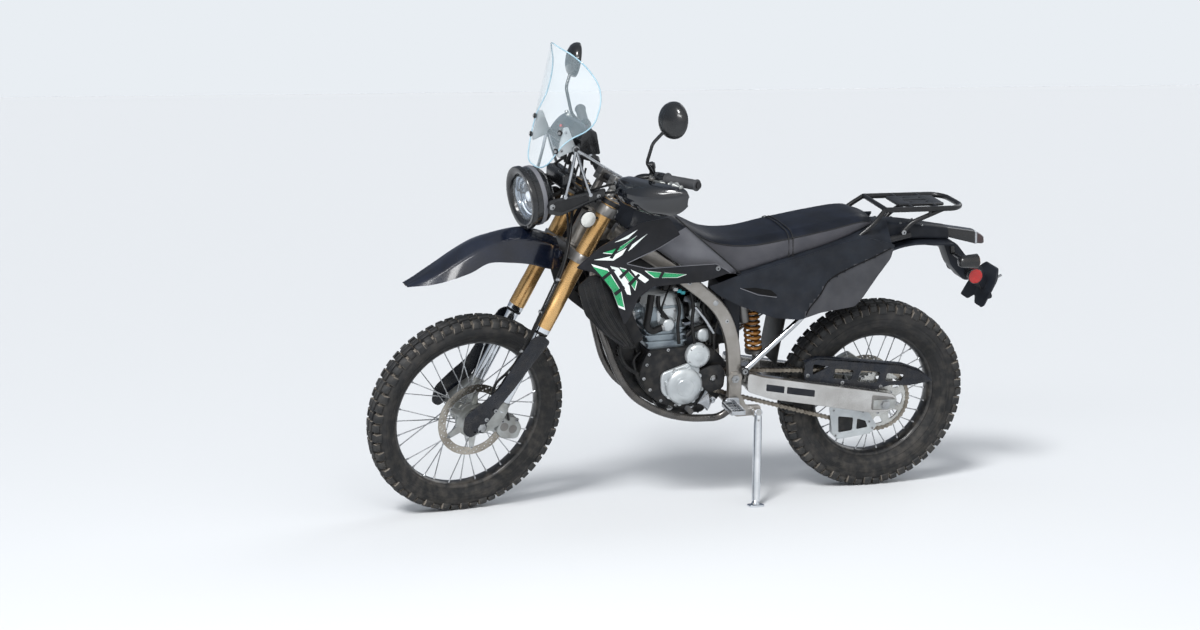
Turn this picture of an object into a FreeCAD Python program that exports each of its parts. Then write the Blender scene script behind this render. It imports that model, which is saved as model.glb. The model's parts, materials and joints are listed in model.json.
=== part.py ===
import FreeCAD, Part
import os
from math import sin, cos, tan, radians, degrees, pi, acos, atan2, sqrt, hypot

# Dual sport motorcycle, parked on its side stand. Millimetres.
# Pieces are drawn on an upright machine: x forward from the rear axle, y to the
# rider's left, z up from the ground. build() then leans and steers them.

V = FreeCAD.Vector
os.makedirs("parts", exist_ok=True)

# Driving dimensions
WHEELBASE = 1450.0
DRAWN_BASE = 1450.0    # the wheelbase that the tables below are drawn for
FORE = WHEELBASE - DRAWN_BASE     # how far all but the rear end moves for another one
RAKE = 26.7            # steering axis, degrees from upright
TRAIL = 107.0
LEAN = 10.0            # to the left, on the side stand
STEER = 12.0           # bars turned left at rest

FRONT_TIP_R = 345.0    # 80/100-21 tyre, over the lugs
FRONT_TREAD_R = 331.0
FRONT_BEAD_R = 266.0
REAR_TIP_R = 334.0     # 110/100-18 tyre, over the lugs
REAR_TREAD_R = 319.0
REAR_BEAD_R = 228.0
TYRE_SIDES = 30        # flats round the carcass, one to a pitch of lugs
RIM_SIDES = 30
TUBE_SIDES = 12
DISC_SIDES = 24
LUG_PITCHES = 30
SPOKES = 32
SPOKE_R = 2.6
AXLE_R = 8.5
RUNNING = 0.05         # radial clearance of a shaft in its bore
GAP = 0.3              # between pieces that meet

FORK_SPAN = 100.0      # half distance between the fork tubes
FORK_OFFSET = 18.0     # fork tubes ahead of the steering axis
FOOT_IN = FORK_SPAN - 22.0        # inner and outer faces of the fork's foot
FOOT_OUT = FORK_SPAN + 20.0
DISC_IN = FOOT_IN - 21.7          # faces of the front disc, on the hub's left end
DISC_OUT = DISC_IN + 4.0
HUB_LEFT = FOOT_IN - 16.0
HUB_RIGHT = FOOT_IN - 20.0
FORK_TUBE_R = 27.0
STANCHION_R = 21.5
LOWER_CLAMP_S = (975.0, 1008.0)   # along the steering axis from the ground
UPPER_CLAMP_S = (1150.0, 1185.0)
FORK_TOP_S = 1205.0
TUBE_LOW_S = 720.0
STEM_R = 15.0
FRONT_DISC_R = 125.0
REAR_DISC_R = 115.0
BAR_R = 11.1
RACK_BOLT_R = 42.0

CHAIN_PITCH = 15.875
FRONT_TEETH = 14
REAR_TEETH = 42
CHAIN_Y = 78.0
PIVOT = (554.0, 453.0)            # swingarm pivot
DRIVE = (612.0, 437.0)            # drive shaft

SIN_R = sin(radians(RAKE))
COS_R = cos(radians(RAKE))
STEER_FOOT = V(DRAWN_BASE + TRAIL, 0, 0)
STEER_AXIS = V(-SIN_R, 0, COS_R)
STEER_NORMAL = V(COS_R, 0, SIN_R)
FRONT_AXLE = V(DRAWN_BASE, 0, FRONT_TIP_R)
REAR_AXLE = V(0, 0, REAR_TIP_R)


# Shape helpers
def box(x0, x1, y0, y1, z0, z1):
    return Part.makeBox(x1 - x0, y1 - y0, z1 - z0, V(x0, y0, z0))


def pin(p, q, r):
    """A round pin between two points."""
    p, q = V(*p), V(*q)
    return Part.makeCylinder(r, (q - p).Length, p, q - p)


def pin_y(x, z, y0, y1, r):
    return Part.makeCylinder(r, y1 - y0, V(x, y0, z), V(0, 1, 0))


def face(points):
    pts = [V(*p) for p in points]
    return Part.Face(Part.makePolygon(pts + [pts[0]]))


def flat(a, b, c, d):
    n = (b - a).cross(c - a)
    return n.Length < 1e-9 or abs((d - a).dot(n)) / n.Length < 1e-5


def closed(faces):
    shell = Part.makeShell(faces)
    shell.sewShape()
    solid = Part.makeSolid(shell)
    return solid if solid.Volume > 0 else solid.reversed()


def skin(rings, ends=True):
    """A solid through rings of equal count, flat where four corners allow it."""
    rings = [[V(*p) for p in r] for r in rings]
    faces = []
    if ends:
        faces = [face(rings[0]), face(rings[-1])]
    for k in range(len(rings) if not ends else len(rings) - 1):
        a, b = rings[k], rings[(k + 1) % len(rings)]
        for i in range(len(a)):
            j = (i + 1) % len(a)
            q = [a[i], a[j], b[j], b[i]]
            q = [v for m, v in enumerate(q) if (v - q[m - 1]).Length > 1e-6]
            if len(q) < 3:
                continue
            if len(q) == 3 or flat(*q):
                faces.append(face(q))
            else:
                faces += [face([q[0], q[1], q[2]]), face([q[0], q[2], q[3]])]
    return closed(faces)


def basis(d):
    d = V(d).normalize()
    a = V(0, 1, 0) if abs(d.y) < 0.9 else V(0, 0, 1)
    u = d.cross(a).normalize()
    return u, d.cross(u)


def flats(c, d, r, n):
    """Corners of an n-sided ring of radius r about c, square to d."""
    u, w = basis(d)
    return [c + u * (r * cos(2 * pi * (i + .5) / n)) + w * (r * sin(2 * pi * (i + .5) / n)) for i in range(n)]


def rod(p, q, r, n=8):
    """A rod with n flats between two points."""
    p, q = V(*p), V(*q)
    return skin([flats(p, q - p, r, n), flats(q, q - p, r, n)])


def taper(p, q, r0, r1, n=12):
    p, q = V(*p), V(*q)
    return skin([flats(p, q - p, r0, n), flats(q, q - p, r1, n)])


def disc_y(x, z, y0, y1, r, n=16):
    return rod((x, y0, z), (x, y1, z), r, n)


def pipe(points, r, n=8):
    """A tube run through points, mitred at the corners, with n flats."""
    pts = [V(*p) for p in points]
    rings = [flats(pts[0], pts[1] - pts[0], r, n)]
    for k in range(1, len(pts)):
        d = (pts[k] - pts[k - 1]).normalize()
        e = (pts[k + 1] - pts[k]).normalize() if k < len(pts) - 1 else d
        m = (d + e).normalize()
        rings.append([v + d * ((pts[k] - v).dot(m) / d.dot(m)) for v in rings[-1]])
    return skin(rings)


def plate(outline, y0, y1):
    """A flat plate: an x-z outline between two values of y."""
    return face([(x, y0, z) for x, z in outline]).extrude(V(0, y1 - y0, 0))


def plan(outline, z0, z1):
    """An x-y outline between two heights."""
    return face([(x, y, z0) for x, y in outline]).extrude(V(0, 0, z1 - z0))


def inset(outline, d):
    """The outline moved inward by d, corners mitred."""
    n = len(outline)
    area = sum(outline[i][0] * outline[(i + 1) % n][1] - outline[(i + 1) % n][0] * outline[i][1]
               for i in range(n))
    side = 1.0 if area > 0 else -1.0
    out = []
    for i in range(n):
        (ax, az), (bx, bz), (cx, cz) = outline[i - 1], outline[i], outline[(i + 1) % n]
        l1, l2 = hypot(bx - ax, bz - az), hypot(cx - bx, cz - bz)
        n1 = (-(bz - az) / l1 * side, (bx - ax) / l1 * side)
        n2 = (-(cz - bz) / l2 * side, (cx - bx) / l2 * side)
        k = d / (1.0 + n1[0] * n2[0] + n1[1] * n2[1])
        out.append((bx + (n1[0] + n2[0]) * k, bz + (n1[1] + n2[1]) * k))
    return out


def cover(outline, y_in, y_out, bevel):
    """A moulded cover: an outline with its outer face drawn in by a bevel."""
    small = inset(outline, bevel)
    return skin([[(x, y_in, z) for x, z in outline], [(x, y_out, z) for x, z in small]])


def bar_section(points, wide, high):
    """A box-section beam in the x-z plane: points are (x, y, z, height)."""
    out = []
    n = len(points)
    for i, (x, y, z, h) in enumerate(points):
        x0, z0 = (points[i - 1][0], points[i - 1][2]) if i else (x, z)
        x1, z1 = (points[i + 1][0], points[i + 1][2]) if i < n - 1 else (x, z)
        l = hypot(x1 - x0, z1 - z0)
        nx, nz = -(z1 - z0) / l, (x1 - x0) / l
        a, w = h / 2.0 * high, wide / 2.0
        out.append([(x + nx * a, y - w, z + nz * a), (x + nx * a, y + w, z + nz * a),
                    (x - nx * a, y + w, z - nz * a), (x - nx * a, y - w, z - nz * a)])
    return skin(out)


def strut(p, q, w):
    """A square bar between two points."""
    return rod(p, q, w * sqrt(0.5), 4)


def mirror(shape):
    return shape.mirror(V(0, 0, 0), V(0, 1, 0))


def pair(shape):
    """Left and right copies that do not touch."""
    return Part.makeCompound([shape, mirror(shape)])


def join(shapes):
    return shapes[0].multiFuse(shapes[1:]).removeSplitter()


def moved(shape, v):
    s = shape.copy()
    s.translate(v)
    return s


def steer_point(n, y, s):
    """A point n ahead of the steering axis, y to the left and s up along it."""
    return STEER_FOOT + STEER_NORMAL * n + V(0, y, 0) + STEER_AXIS * s


def steer_rod(n, y, s0, s1, r):
    return Part.makeCylinder(r, s1 - s0, steer_point(n, y, s0), STEER_AXIS)


def steer_bar(n, y, s0, s1, r, sides):
    return rod(steer_point(n, y, s0), steer_point(n, y, s1), r, sides)


def steer_plate(outline, s0, s1):
    """An outline of (n, y) between two places on the steering axis."""
    return face([steer_point(n, y, s0) for n, y in outline]).extrude(STEER_AXIS * (s1 - s0))


def steer_side(outline, y0, y1):
    """An outline of (n, s) between two values of y."""
    return face([steer_point(n, y0, s) for n, s in outline]).extrude(V(0, y1 - y0, 0))


# Wheels are drawn about the origin with the axle along y
def turned(profile, sides):
    """A closed outline of (y, r) carried round the axle in flats."""
    rings = []
    for i in range(sides):
        a = 2 * pi * (i - 0.5) / sides
        rings.append([(r * cos(a), y, r * sin(a)) for y, r in profile])
    return skin(rings, ends=False)


def lug(outline, length, angle):
    """A tread block: an outline of (y, r) drawn out along the tread."""
    pts = [(r, y) for y, r in outline]
    f = face([(r, y, -length / 2) for r, y in pts])
    s = f.extrude(V(0, 0, length))
    s.rotate(V(0, 0, 0), V(0, 1, 0), -angle)
    return s


def tyre(profile, rows):
    """rows: outline of the block, its length, and the share of a pitch it starts at."""
    blocks = []
    for outline, length, share in rows:
        for i in range(LUG_PITCHES):
            blocks.append(lug(outline, length, 360.0 * (i + share) / LUG_PITCHES))
    return join([turned(profile, TYRE_SIDES)] + blocks)


def flipped(outline):
    return [(-y, r) for y, r in outline]


def front_tyre():
    b = FRONT_BEAD_R
    half = [(27, b), (41, 296), (36, 322), (22, FRONT_TREAD_R)]
    profile = half + [(-y, r) for y, r in reversed(half)]
    centre = [(-15, 327), (-14, FRONT_TIP_R), (14, FRONT_TIP_R), (15, 327)]
    side = [(21, 328), (22, 342), (39, 335), (43, 317), (34, 311)]
    return tyre(profile, [(centre, 34, 0.0), (side, 27, 0.5), (flipped(side), 27, 0.5)])


def rear_tyre():
    b = REAR_BEAD_R
    half = [(34, b), (53, 268), (50, 302), (34, REAR_TREAD_R)]
    profile = half + [(-y, r) for y, r in reversed(half)]
    centre = [(-22, 315), (-21, REAR_TIP_R), (21, REAR_TIP_R), (22, 315)]
    side = [(32, 316), (32, 331), (50, 323), (54, 300), (46, 296)]
    return tyre(profile, [(centre, 32, 0.0), (side, 27, 0.5), (flipped(side), 27, 0.5)])


def spoked(rim, hub, bore_y, hub_r, hub_y, rim_r, rim_y):
    """Rim, hub and laced spokes as one piece."""
    spokes = []
    for i in range(SPOKES):
        side = 1 if i % 2 else -1
        lay = 1 if (i // 2) % 2 else -1
        a = 2 * pi * i / SPOKES
        h = a + lay * radians(62)
        layer = side * (hub_y + lay * SPOKE_R * 1.6)
        spokes.append(rod((hub_r * cos(h), layer, hub_r * sin(h)),
                          (rim_r * cos(a), side * rim_y, rim_r * sin(a)), SPOKE_R, 3))
    s = join([rim, hub] + spokes)
    return s.cut(pin_y(0, 0, -bore_y, bore_y, AXLE_R + RUNNING))


def front_wheel_rim():
    r = FRONT_BEAD_R - 0.6
    rim = turned([(-26, r), (26, r), (20, 254), (-20, 254)], RIM_SIDES)
    a, b = HUB_RIGHT, HUB_LEFT
    hub = turned([(-a, 6), (-a, 18), (-39, 18), (-37, 42), (-25, 42), (-22, 20), (22, 20), (25, 52),
                  (b - 6, 52), (b - 6, 16), (b, 16), (b, 6)], 12)
    return spoked(rim, hub, 80, 36, 31, 256, 6)


def rear_wheel_rim():
    r = REAR_BEAD_R - 0.5
    rim = turned([(-32, r), (32, r), (25, 214), (-25, 214)], RIM_SIDES)
    hub = turned([(-72, 6), (-72, 18), (-60, 18), (-60, 46), (-30, 46), (-27, 26), (27, 26), (30, 60),
                  (74.2, 60), (74.2, 20), (84, 20), (84, 6)], 12)
    return spoked(rim, hub, 90, 42, 36, 216, 8)


def brake_disc(outer, inner, carrier_r, y0, y1, bore, arms):
    """A rotor on a spider."""
    rotor = turned([(y0, inner), (y1, inner), (y1, outer), (y0, outer)], DISC_SIDES)
    spider = turned([(y0, bore), (y1, bore), (y1, carrier_r), (y0, carrier_r)], 12)
    legs = []
    for i in range(arms):
        leg = box(carrier_r - 4, inner + 4, y0, y1, -9, 9)
        leg.rotate(V(0, 0, 0), V(0, 1, 0), 360.0 * (i + 0.5) / arms)
        legs.append(leg)
    return join([rotor, spider] + legs)


def sprocket(teeth, y0, y1, bore, windows):
    pitch_r = CHAIN_PITCH / 2 / sin(pi / teeth)
    tip, root = pitch_r - 4.8, pitch_r - 10.5
    pts = []
    for i in range(teeth):
        for share, r in ((0.0, root), (0.5, tip)):
            a = 2 * pi * (i + share) / teeth
            pts.append((r * cos(a), y0, r * sin(a)))
    s = face(pts).extrude(V(0, y1 - y0, 0))
    if bore:
        s = s.cut(disc_y(0, 0, y0 - 1, y1 + 1, bore))
    cuts = []
    for i in range(windows):
        w = box(root - 34, root - 9, y0 - 1, y1 + 1, -9, 9)
        w.rotate(V(0, 0, 0), V(0, 1, 0), 360.0 * i / windows)
        cuts.append(w)
    return s.cut(Part.makeCompound(cuts)) if cuts else s


def front_disc():
    return brake_disc(FRONT_DISC_R, 99, 66, DISC_IN, DISC_OUT, 38, 6)


def rear_disc():
    return mirror(brake_disc(REAR_DISC_R, 90, 60, 60.3, 64.8, 36, 5))


def rear_sprocket():
    return sprocket(REAR_TEETH, CHAIN_Y - 3.5, CHAIN_Y + 3.5, 22, 8)


# Chain: one closed belt round both sprockets
def chain():
    rr = CHAIN_PITCH / 2 / sin(pi / REAR_TEETH)
    rf = CHAIN_PITCH / 2 / sin(pi / FRONT_TEETH)
    cx, cz = DRIVE[0] + FORE, DRIVE[1]
    span = hypot(cx, cz - REAR_TIP_R)
    tilt = atan2(cz - REAR_TIP_R, cx)
    lap = acos((rr - rf) / span)

    def belt(d):
        pts = []
        steps_rear, steps_front = 20, 8
        for i in range(steps_rear + 1):
            a = tilt + lap + (2 * pi - 2 * lap) * i / steps_rear
            pts.append(((rr + d) * cos(a), CHAIN_Y - 8, REAR_TIP_R + (rr + d) * sin(a)))
        for i in range(steps_front + 1):
            a = tilt - lap + 2 * lap * i / steps_front
            pts.append((cx + (rf + d) * cos(a), CHAIN_Y - 8, cz + (rf + d) * sin(a)))
        return face(pts).extrude(V(0, 16, 0))
    return belt(6.5).cut(belt(-4.0))


# Frame
SPAR = [  # x, y, z, height of the section
    (985, 40, 955, 60), (860, 62, 876, 50), (735, 104, 792, 46), (640, 108, 715, 46),
    (597, 108, 655, 46), (568, 108, 574, 46), (555, 108, 486, 46), (549, 108, 425, 46), (548, 108, 345, 46)]
SPAR_WIDE = 30.0
CRADLE = [(1030, 20, 700), (1004, 45, 610), (958, 80, 480), (903, 92, 396), (800, 92, 334), (700, 92, 308),
          (590, 92, 306), (550, 100, 340)]


def frame():
    head = steer_bar(0, 0, LOWER_CLAMP_S[1] + GAP, UPPER_CLAMP_S[0] - GAP, 33, 12)
    spar = bar_section(SPAR, SPAR_WIDE, 1.0)
    cradle = pipe(CRADLE, 12.5, 6)
    down = pipe([(1044, 0, 925), (1024, 0, 840), (1028, 0, 700)], 17)
    fork_of_tube = rod((1028, -32, 699), (1028, 32, 699), 15)
    cross = rod((548, -108, 352), (548, 108, 352), 14, 6)
    mid = rod((640, -108, 722), (640, 108, 722), 13, 6)
    sump = rod((690, -92, 307), (690, 92, 307), 9, 6)
    lugs = [disc_y(PIVOT[0], PIVOT[1], -96, 96, 9 - GAP, 8),
            plate([(525, 392), (575, 392), (560, 330), (540, 315), (452, 318), (452, 350), (505, 352)], 104, 122),
            plate([(525, 392), (578, 392), (606, 350), (604, 326), (530, 326)], -122, -104)]
    gusset = plate([(1030, 880), (1044, 950), (1000, 960), (900, 915), (960, 860), (1024, 800)], -12, 12)
    s = join([head, spar, mirror(spar), cradle, mirror(cradle), down, fork_of_tube, cross, mid, sump, gusset] + lugs)
    bore = steer_rod(0, 0, LOWER_CLAMP_S[1] - 5, UPPER_CLAMP_S[0] + 5, STEM_R + RUNNING)
    return s.cut(bore)


def subframe():
    rail = pipe(RAIL, RAIL_R)
    s = join([rail, mirror(rail)] + rail_stays(STAY_R) + rail_ties(RAIL_TIE_R))
    return s.cut(spar_room(SPAR[1:]))


def spar_room(spar):
    """Room kept round the spars for what sits on them."""
    s = bar_section(spar, SPAR_WIDE + 2 * GAP, 1.0 + 2 * GAP / 46)
    return Part.makeCompound([s, mirror(s)])


# Engine
CASE = [(868, 505), (880, 450), (850, 402), (800, 362), (740, 344), (615, 343), (585, 365), (572, 420),
        (572, 500), (620, 548), (700, 556), (850, 548)]


def crankcase():
    """Crankcase with its drive sprocket; the left rear is set in behind the chain."""
    case = plate(CASE, -78, 78).cut(box(500, 662, 66, 90, 300, 600))
    sump = plate([(815, 366), (790, 330), (720, 318), (640, 318), (620, 350)], -64, 64)
    rear = plate([(580, 490), (545, 478), (532, 455), (545, 430), (580, 420)], -28, 28)
    shaft = disc_y(DRIVE[0], DRIVE[1], 60, CHAIN_Y + 6, 11, 8)
    s = join([case, sump, rear, shaft, drive_sprocket()])
    s = s.cut(rod((PIVOT[0], -40, PIVOT[1]), (PIVOT[0], 40, PIVOT[1]), 9, 8))
    return s.cut(rod((690, -100, 307), (690, 100, 307), 9 + 2 * GAP, 6))


def engine_covers():
    magneto = skin([flats(V(724, y, 426), V(0, 1, 0), r, 16) for y, r in ((78, 64), (104, 64), (114, 52))])
    base = plate([(806, 470), (800, 400), (750, 365), (664, 372), (664, 450), (672, 500), (700, 506)], 78, 92)
    guard = plate([(672, 478), (640, 490), (600, 496), (580, 470), (582, 412), (640, 396), (672, 400)], 87, 96)
    idle = disc_y(680, 530, 78, 106, 42, 12)
    clutch = join([disc_y(650, 440, -112, -78, 72, 16), disc_y(745, 430, -104, -78, 60, 12)])
    return Part.makeCompound([join([magneto, base, guard, idle]), clutch])


def cylinder():
    """Barrel, head and cam cover, with the inlet and outlet stubs."""
    barrel = skin([[(712, -60, 556.4), (846, -60, 548.4), (846, 60, 548.4), (712, 60, 556.4)],
                   [(734, -60, 684), (868, -60, 676), (868, 60, 676), (734, 60, 684)]])
    fins = [box(707 + i * 4, 857 + i * 4, -66, 66, 574 + i * 22, 580 + i * 22) for i in range(3)]
    head = skin([[(722, -67, 640), (866, -67, 632), (866, 67, 632), (722, 67, 640)],
                 [(732, -68, 702), (872, -68, 694), (872, 68, 694), (732, 68, 702)],
                 [(756, -50, 742), (852, -50, 736), (852, 50, 736), (756, 50, 742)]])
    inlet = rod((740, 0, 668), (704, 0, 664), 26)
    outlet = rod((850, 0, 660), (884, 0, 654), 22)
    return join([barrel, head, inlet, outlet] + fins)


def air_box():
    """Air box with the throttle body on its mouth."""
    body = skin([[(522, -72, 560), (620, -72, 600), (620, 72, 600), (522, 72, 560)],
                 [(530, -78, 700), (600, -78, 688), (600, 78, 688), (530, 78, 700)],
                 [(500, -80, 784), (600, -80, 764), (600, 80, 764), (500, 80, 784)]])
    mouth = rod((590, 0, 651.3), (703.7, 0, 663.93), 25)
    throttle = box(664, 694, -40, 46, 628, 700)
    return join([body, mouth, throttle])


def exhaust():
    """Header down the right side into a straight silencer."""
    header = pipe([(884.4, 0, 653.93), (908, 0, 649.8), (928, -42, 600), (912, -88, 558), (850, -132, 536),
                   (700, -146, 532), (560, -148, 566), (436, -152, 652)], 19)
    d = V(-490, -16, 156).normalize()
    a = V(430, -152, 656)
    can = skin([flats(a + d * x, d, r, 12) for x, r in ((-32, 24), (0, 52), (505, 52), (515, 44))])
    tip = rod(a + d * 510, a + d * 562, 20)
    stay = plate([(120, 770), (170, 770), (160, 862), (135, 862)], -122, -106)
    return join([can, header, tip, stay]).cut(subframe_room())


def drive_sprocket():
    s = sprocket(FRONT_TEETH, CHAIN_Y - 3.5, CHAIN_Y + 3.5, 0, 0)
    return moved(s, V(DRIVE[0], 0, DRIVE[1]))


def footpegs():
    peg = box(553, 605, 138, 240, 362, 380)
    root = plate([(540, 392), (585, 392), (600, 366), (560, 352), (535, 360)], 123 + GAP, 140)
    return join([peg, root])


def shift_lever():
    arm = strut((630, 117, 380), (716, 128, 356), 12)
    return join([disc_y(630, 380, 66.3, 122, 7, 8), arm, disc_y(716, 356, 120, 160, 9, 8)])


def brake_pedal():
    hub = disc_y(592, 338, -146, -122 - GAP, 11, 8)
    arm = pipe([(592, -140, 338), (660, -146, 322), (742, -152, 348)], 7, 6)
    pad = box(724, 758, -170, -134, 350, 362)
    return join([hub, arm, pad])


def foot_controls():
    """Both pegs, the gear lever and the brake pedal."""
    return Part.makeCompound([footpegs(), mirror(footpegs()), shift_lever(), brake_pedal()])


# Rear end
DRAWN_AXLE_Z = 334.0


def aft(points):
    """Points of the rear end, stretched and swung with the axle about the swingarm pivot."""
    out = []
    for x, z in points:
        share = max(0.0, 1 - x / PIVOT[0])
        out.append((x + FORE * (1 - share), z + (REAR_TIP_R - DRAWN_AXLE_Z) * share))
    return out


ARM = aft([(508, 470), (449, 452), (313, 428), (51, 382), (-30, 368), (-46, 352), (-46, 318), (-16, 304),
           (52, 304), (270, 345), (418, 372), (508, 404)])


def swingarm():
    arm = plate(ARM, 92, 128)
    arms = [arm, mirror(arm)]
    bridge = box(432, 500, -92, 92, 400, 446)
    lug = plate([(500, 402), (545, 434), (565, 440), (570, 453), (565, 466), (550, 474), (500, 448)], 32, 60)
    web = plate([(470, 400), (512, 404), (512, 446), (470, 446)], -60, 60)
    root = join([bridge, web, lug, mirror(lug)])
    root = root.cut(rod((PIVOT[0], -70, PIVOT[1]), (PIVOT[0], 70, PIVOT[1]), 9, 8))
    s = join(arms + [moved(root, V(FORE, 0, 0))])
    return s.cut(rod((0, -150, REAR_TIP_R), (0, 150, REAR_TIP_R), AXLE_R, 12))


def rear_axle():
    """Axle with its spacers and the adjuster block at each end."""
    parts = [disc_y(0, REAR_TIP_R, -142, 142, AXLE_R, 12)]
    for y0, y1 in ((128, 134), (-134, -128)):
        parts.append(box(-40, 44, y0, y1, REAR_TIP_R - 18, REAR_TIP_R + 18))
    parts.append(disc_y(0, REAR_TIP_R, 84.3, 92, 15, 8))
    parts.append(disc_y(0, REAR_TIP_R, -92, -72.3, 15, 8))
    return join(parts)


def shock_absorber():
    lo, hi = V(436, 0, 453), V(478, 0, 724)
    d = hi - lo
    at = lambda t: tuple(lo + d * t)
    body = rod(at(0.0), at(1.0), 16)
    parts = [body]
    for i in range(5):
        t = 0.24 + i * 0.115
        parts.append(rod(at(t), at(t + 0.065), 31))
    parts.append(rod(at(0.18), at(0.80), 22))
    parts.append(rod(at(0.84), at(1.0), 27))
    foot = box(424, 450, -16, 16, 446 + GAP, 474)
    eye = rod((480, -95, 728), (480, 95, 728), 12)
    return join(parts + [foot, eye])


def arm_top(x):
    """Height of the swingarm's upper edge."""
    (x0, z0), (x1, z1) = ARM[2], ARM[3]
    return z0 + (z1 - z0) * (x - x0) / (x1 - x0)


def chain_guard():
    outline = aft([(294, 484), (248, 501), (118, 486), (-71, 462), (-141, 436), (-191, 397), (-98, 385),
                   (-30, 390)])
    foot = [aft([(x, 0)])[0][0] for x in (20, 290)]
    s = plate(outline + [(x, arm_top(x) + GAP) for x in foot], 92, 97)
    holes = [[(262, 440), (262, 480), (200, 468)], [(180, 460), (186, 425), (120, 414), (110, 450)],
             [(85, 448), (95, 408), (20, 400), (10, 438)], [(-15, 434), (-10, 404), (-70, 402), (-80, 425)]]
    for h in holes:
        s = s.cut(plate(aft(h), 90, 99))
    return s


def chain_guide():
    outline = [(188, 322), (169, 219), (149, 199), (26, 214), (3, 242), (41, 296), (120, 322)]
    outer = plate(aft(outline), 87, 90.5)
    inner = plate(aft([(172, 280), (169, 219), (149, 199), (26, 214), (10, 240), (60, 262)]), 64, 67)
    for h in ([(80, 232), (80, 272), (48, 262), (38, 238)], [(95, 230), (95, 276), (152, 284), (146, 224)]):
        outer = outer.cut(plate(aft(h), 84, 90))
        inner = inner.cut(plate(aft(h), 60, 70))
    sill = plate(aft([(149, 199), (26, 214), (28, 220), (152, 205)]), 64, 90)
    return join([outer, inner, sill])


def rear_caliper():
    a = REAR_TIP_R
    body = plate([(40, a + 64), (20, a + 102), (60, a + 128), (104, a + 106), (110, a + 70), (78, a + 54)], -86, -48)
    slot = pin_y(0, a, -64.8 - GAP, -60.3 + GAP, REAR_DISC_R + 6)
    link = plate([(46, a + 62), (70, a + 86), (60, a + 6), (20, a + 18), (10, a + 30), (14, a + 46)], -86, -74)
    s = join([body, link])
    return s.cut(slot)


# Bodywork
SEAT = [  # x, top z, break z, low z, top half width, break half width, low half width
    (810, 1022, 1000, 812, 62, 92, 128), (720, 972, 956, 806, 68, 100, 134), (640, 938, 924, 806, 76, 108, 140),
    (530, 931, 918, 832, 88, 120, 142), (400, 953, 938, 868, 98, 126, 138), (250, 980, 963, 906, 96, 120, 124),
    (140, 996, 980, 946, 84, 102, 106), (84, 984, 972, 962, 62, 74, 76)]
SEAT_LINE = [(562, 816), (798, 1016)]    # joint of seat and tank, seen from the side


def seat():
    secs = []
    for x, zt, zb, zl, wt, wb, wl in SEAT:
        secs.append([(x, -wl, zl), (x, -wb, zb), (x, -wt, zt), (x, wt, zt), (x, wb, zb), (x, wl, zl)])
    s = skin(secs).cut(past_seat_line(0.0, -600.0))
    bumper = box(440, 462, 90, 108, 800, 870)
    return join([s, bumper, mirror(bumper)]).cut(subframe_room())


def past_seat_line(start, end):
    """A block on one side of the line where seat and tank meet; up and back is positive."""
    (ax, az), (bx, bz) = SEAT_LINE
    l = hypot(bx - ax, bz - az)
    ux, uz = (bx - ax) / l, (bz - az) / l
    pts = [(px + ux * k - uz * d, pz + uz * k + ux * d)
           for px, pz, k, d in ((ax, az, -300, start), (bx, bz, 300, start), (bx, bz, 300, end), (ax, az, -300, end))]
    return plate(pts, -300, 300)


TANK = [  # x, top z, shoulder z, side z, low z, top, shoulder, side and low half widths
    (540, 990, 980, 900, 812, 60, 100, 140, 130), (690, 1002, 985, 900, 822, 62, 110, 146, 132),
    (760, 1010, 985, 912, 846, 62, 112, 148, 128), (850, 1034, 1000, 945, 903, 58, 108, 142, 118),
    (915, 1044, 1012, 972, 950, 50, 96, 120, 100), (975, 1030, 1008, 990, 984, 34, 62, 74, 60)]


SHROUD_BOSS_R = 9.0
RADIATOR_OUT = 172.0   # outer end of the radiator's core
BOSS_SEAT = 131.0      # half width of the tank at the floor of the boss's pocket


def tank():
    secs = []
    for x, zt, zs, zm, zl, wt, ws, wm, wl in TANK:
        secs.append([(x, -wl, zl), (x, -wm, zm), (x, -ws, zs), (x, -wt, zt),
                     (x, wt, zt), (x, ws, zs), (x, wm, zm), (x, wl, zl)])
    s = skin(secs).cut(past_seat_line(-GAP, 600.0)).cut(spar_room(SPAR))
    front = steer_plate([(-103, -300), (-103, 300), (200, 300), (200, -300)], 800, 1400)
    pocket = rod((655, BOSS_SEAT, 850), (655, 200, 850), SHROUD_BOSS_R + GAP + 0.1, 6)
    s = s.cut(front).cut(pocket).cut(mirror(pocket))
    cap = rod((862, 0, 1026), (858.6, 0, 1050), 34, 16)
    return join([s, cap])


def band(points, t, z0, z1):
    """A standing sheet along points of (x, y), t thick towards y = 0."""
    outer = [(x, y) for x, y in points]
    inner = [(x, y - t) for x, y in reversed(points)]
    return plan(outer + inner, z0, z1)


SHROUD = [(1151, 879), (1078, 946), (1029, 975), (948, 1018), (841, 1032), (796, 971), (875, 930), (941, 905),
          (985, 888), (905, 866), (734, 865), (662, 866), (611, 834), (703, 806), (884, 803), (933, 771),
          (957, 715), (979, 682), (999, 727), (1011, 757), (1030, 802), (1073, 853), (1101, 866)]
SHROUD_PLAN = [(600, 160), (760, 166), (900, 186), (1030, 204), (1165, 200)]


def shroud():
    s = plate(SHROUD, 0, 300).common(band(SHROUD_PLAN, 7, 600, 1100))
    r = SHROUD_BOSS_R
    rear = rod((655, BOSS_SEAT + GAP, 850), (655, 158, 850), r, 6)
    front = rod((1012, RADIATOR_OUT + GAP, 840), (1012, 200, 840), r, 6)
    return join([s, rear, front])


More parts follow.
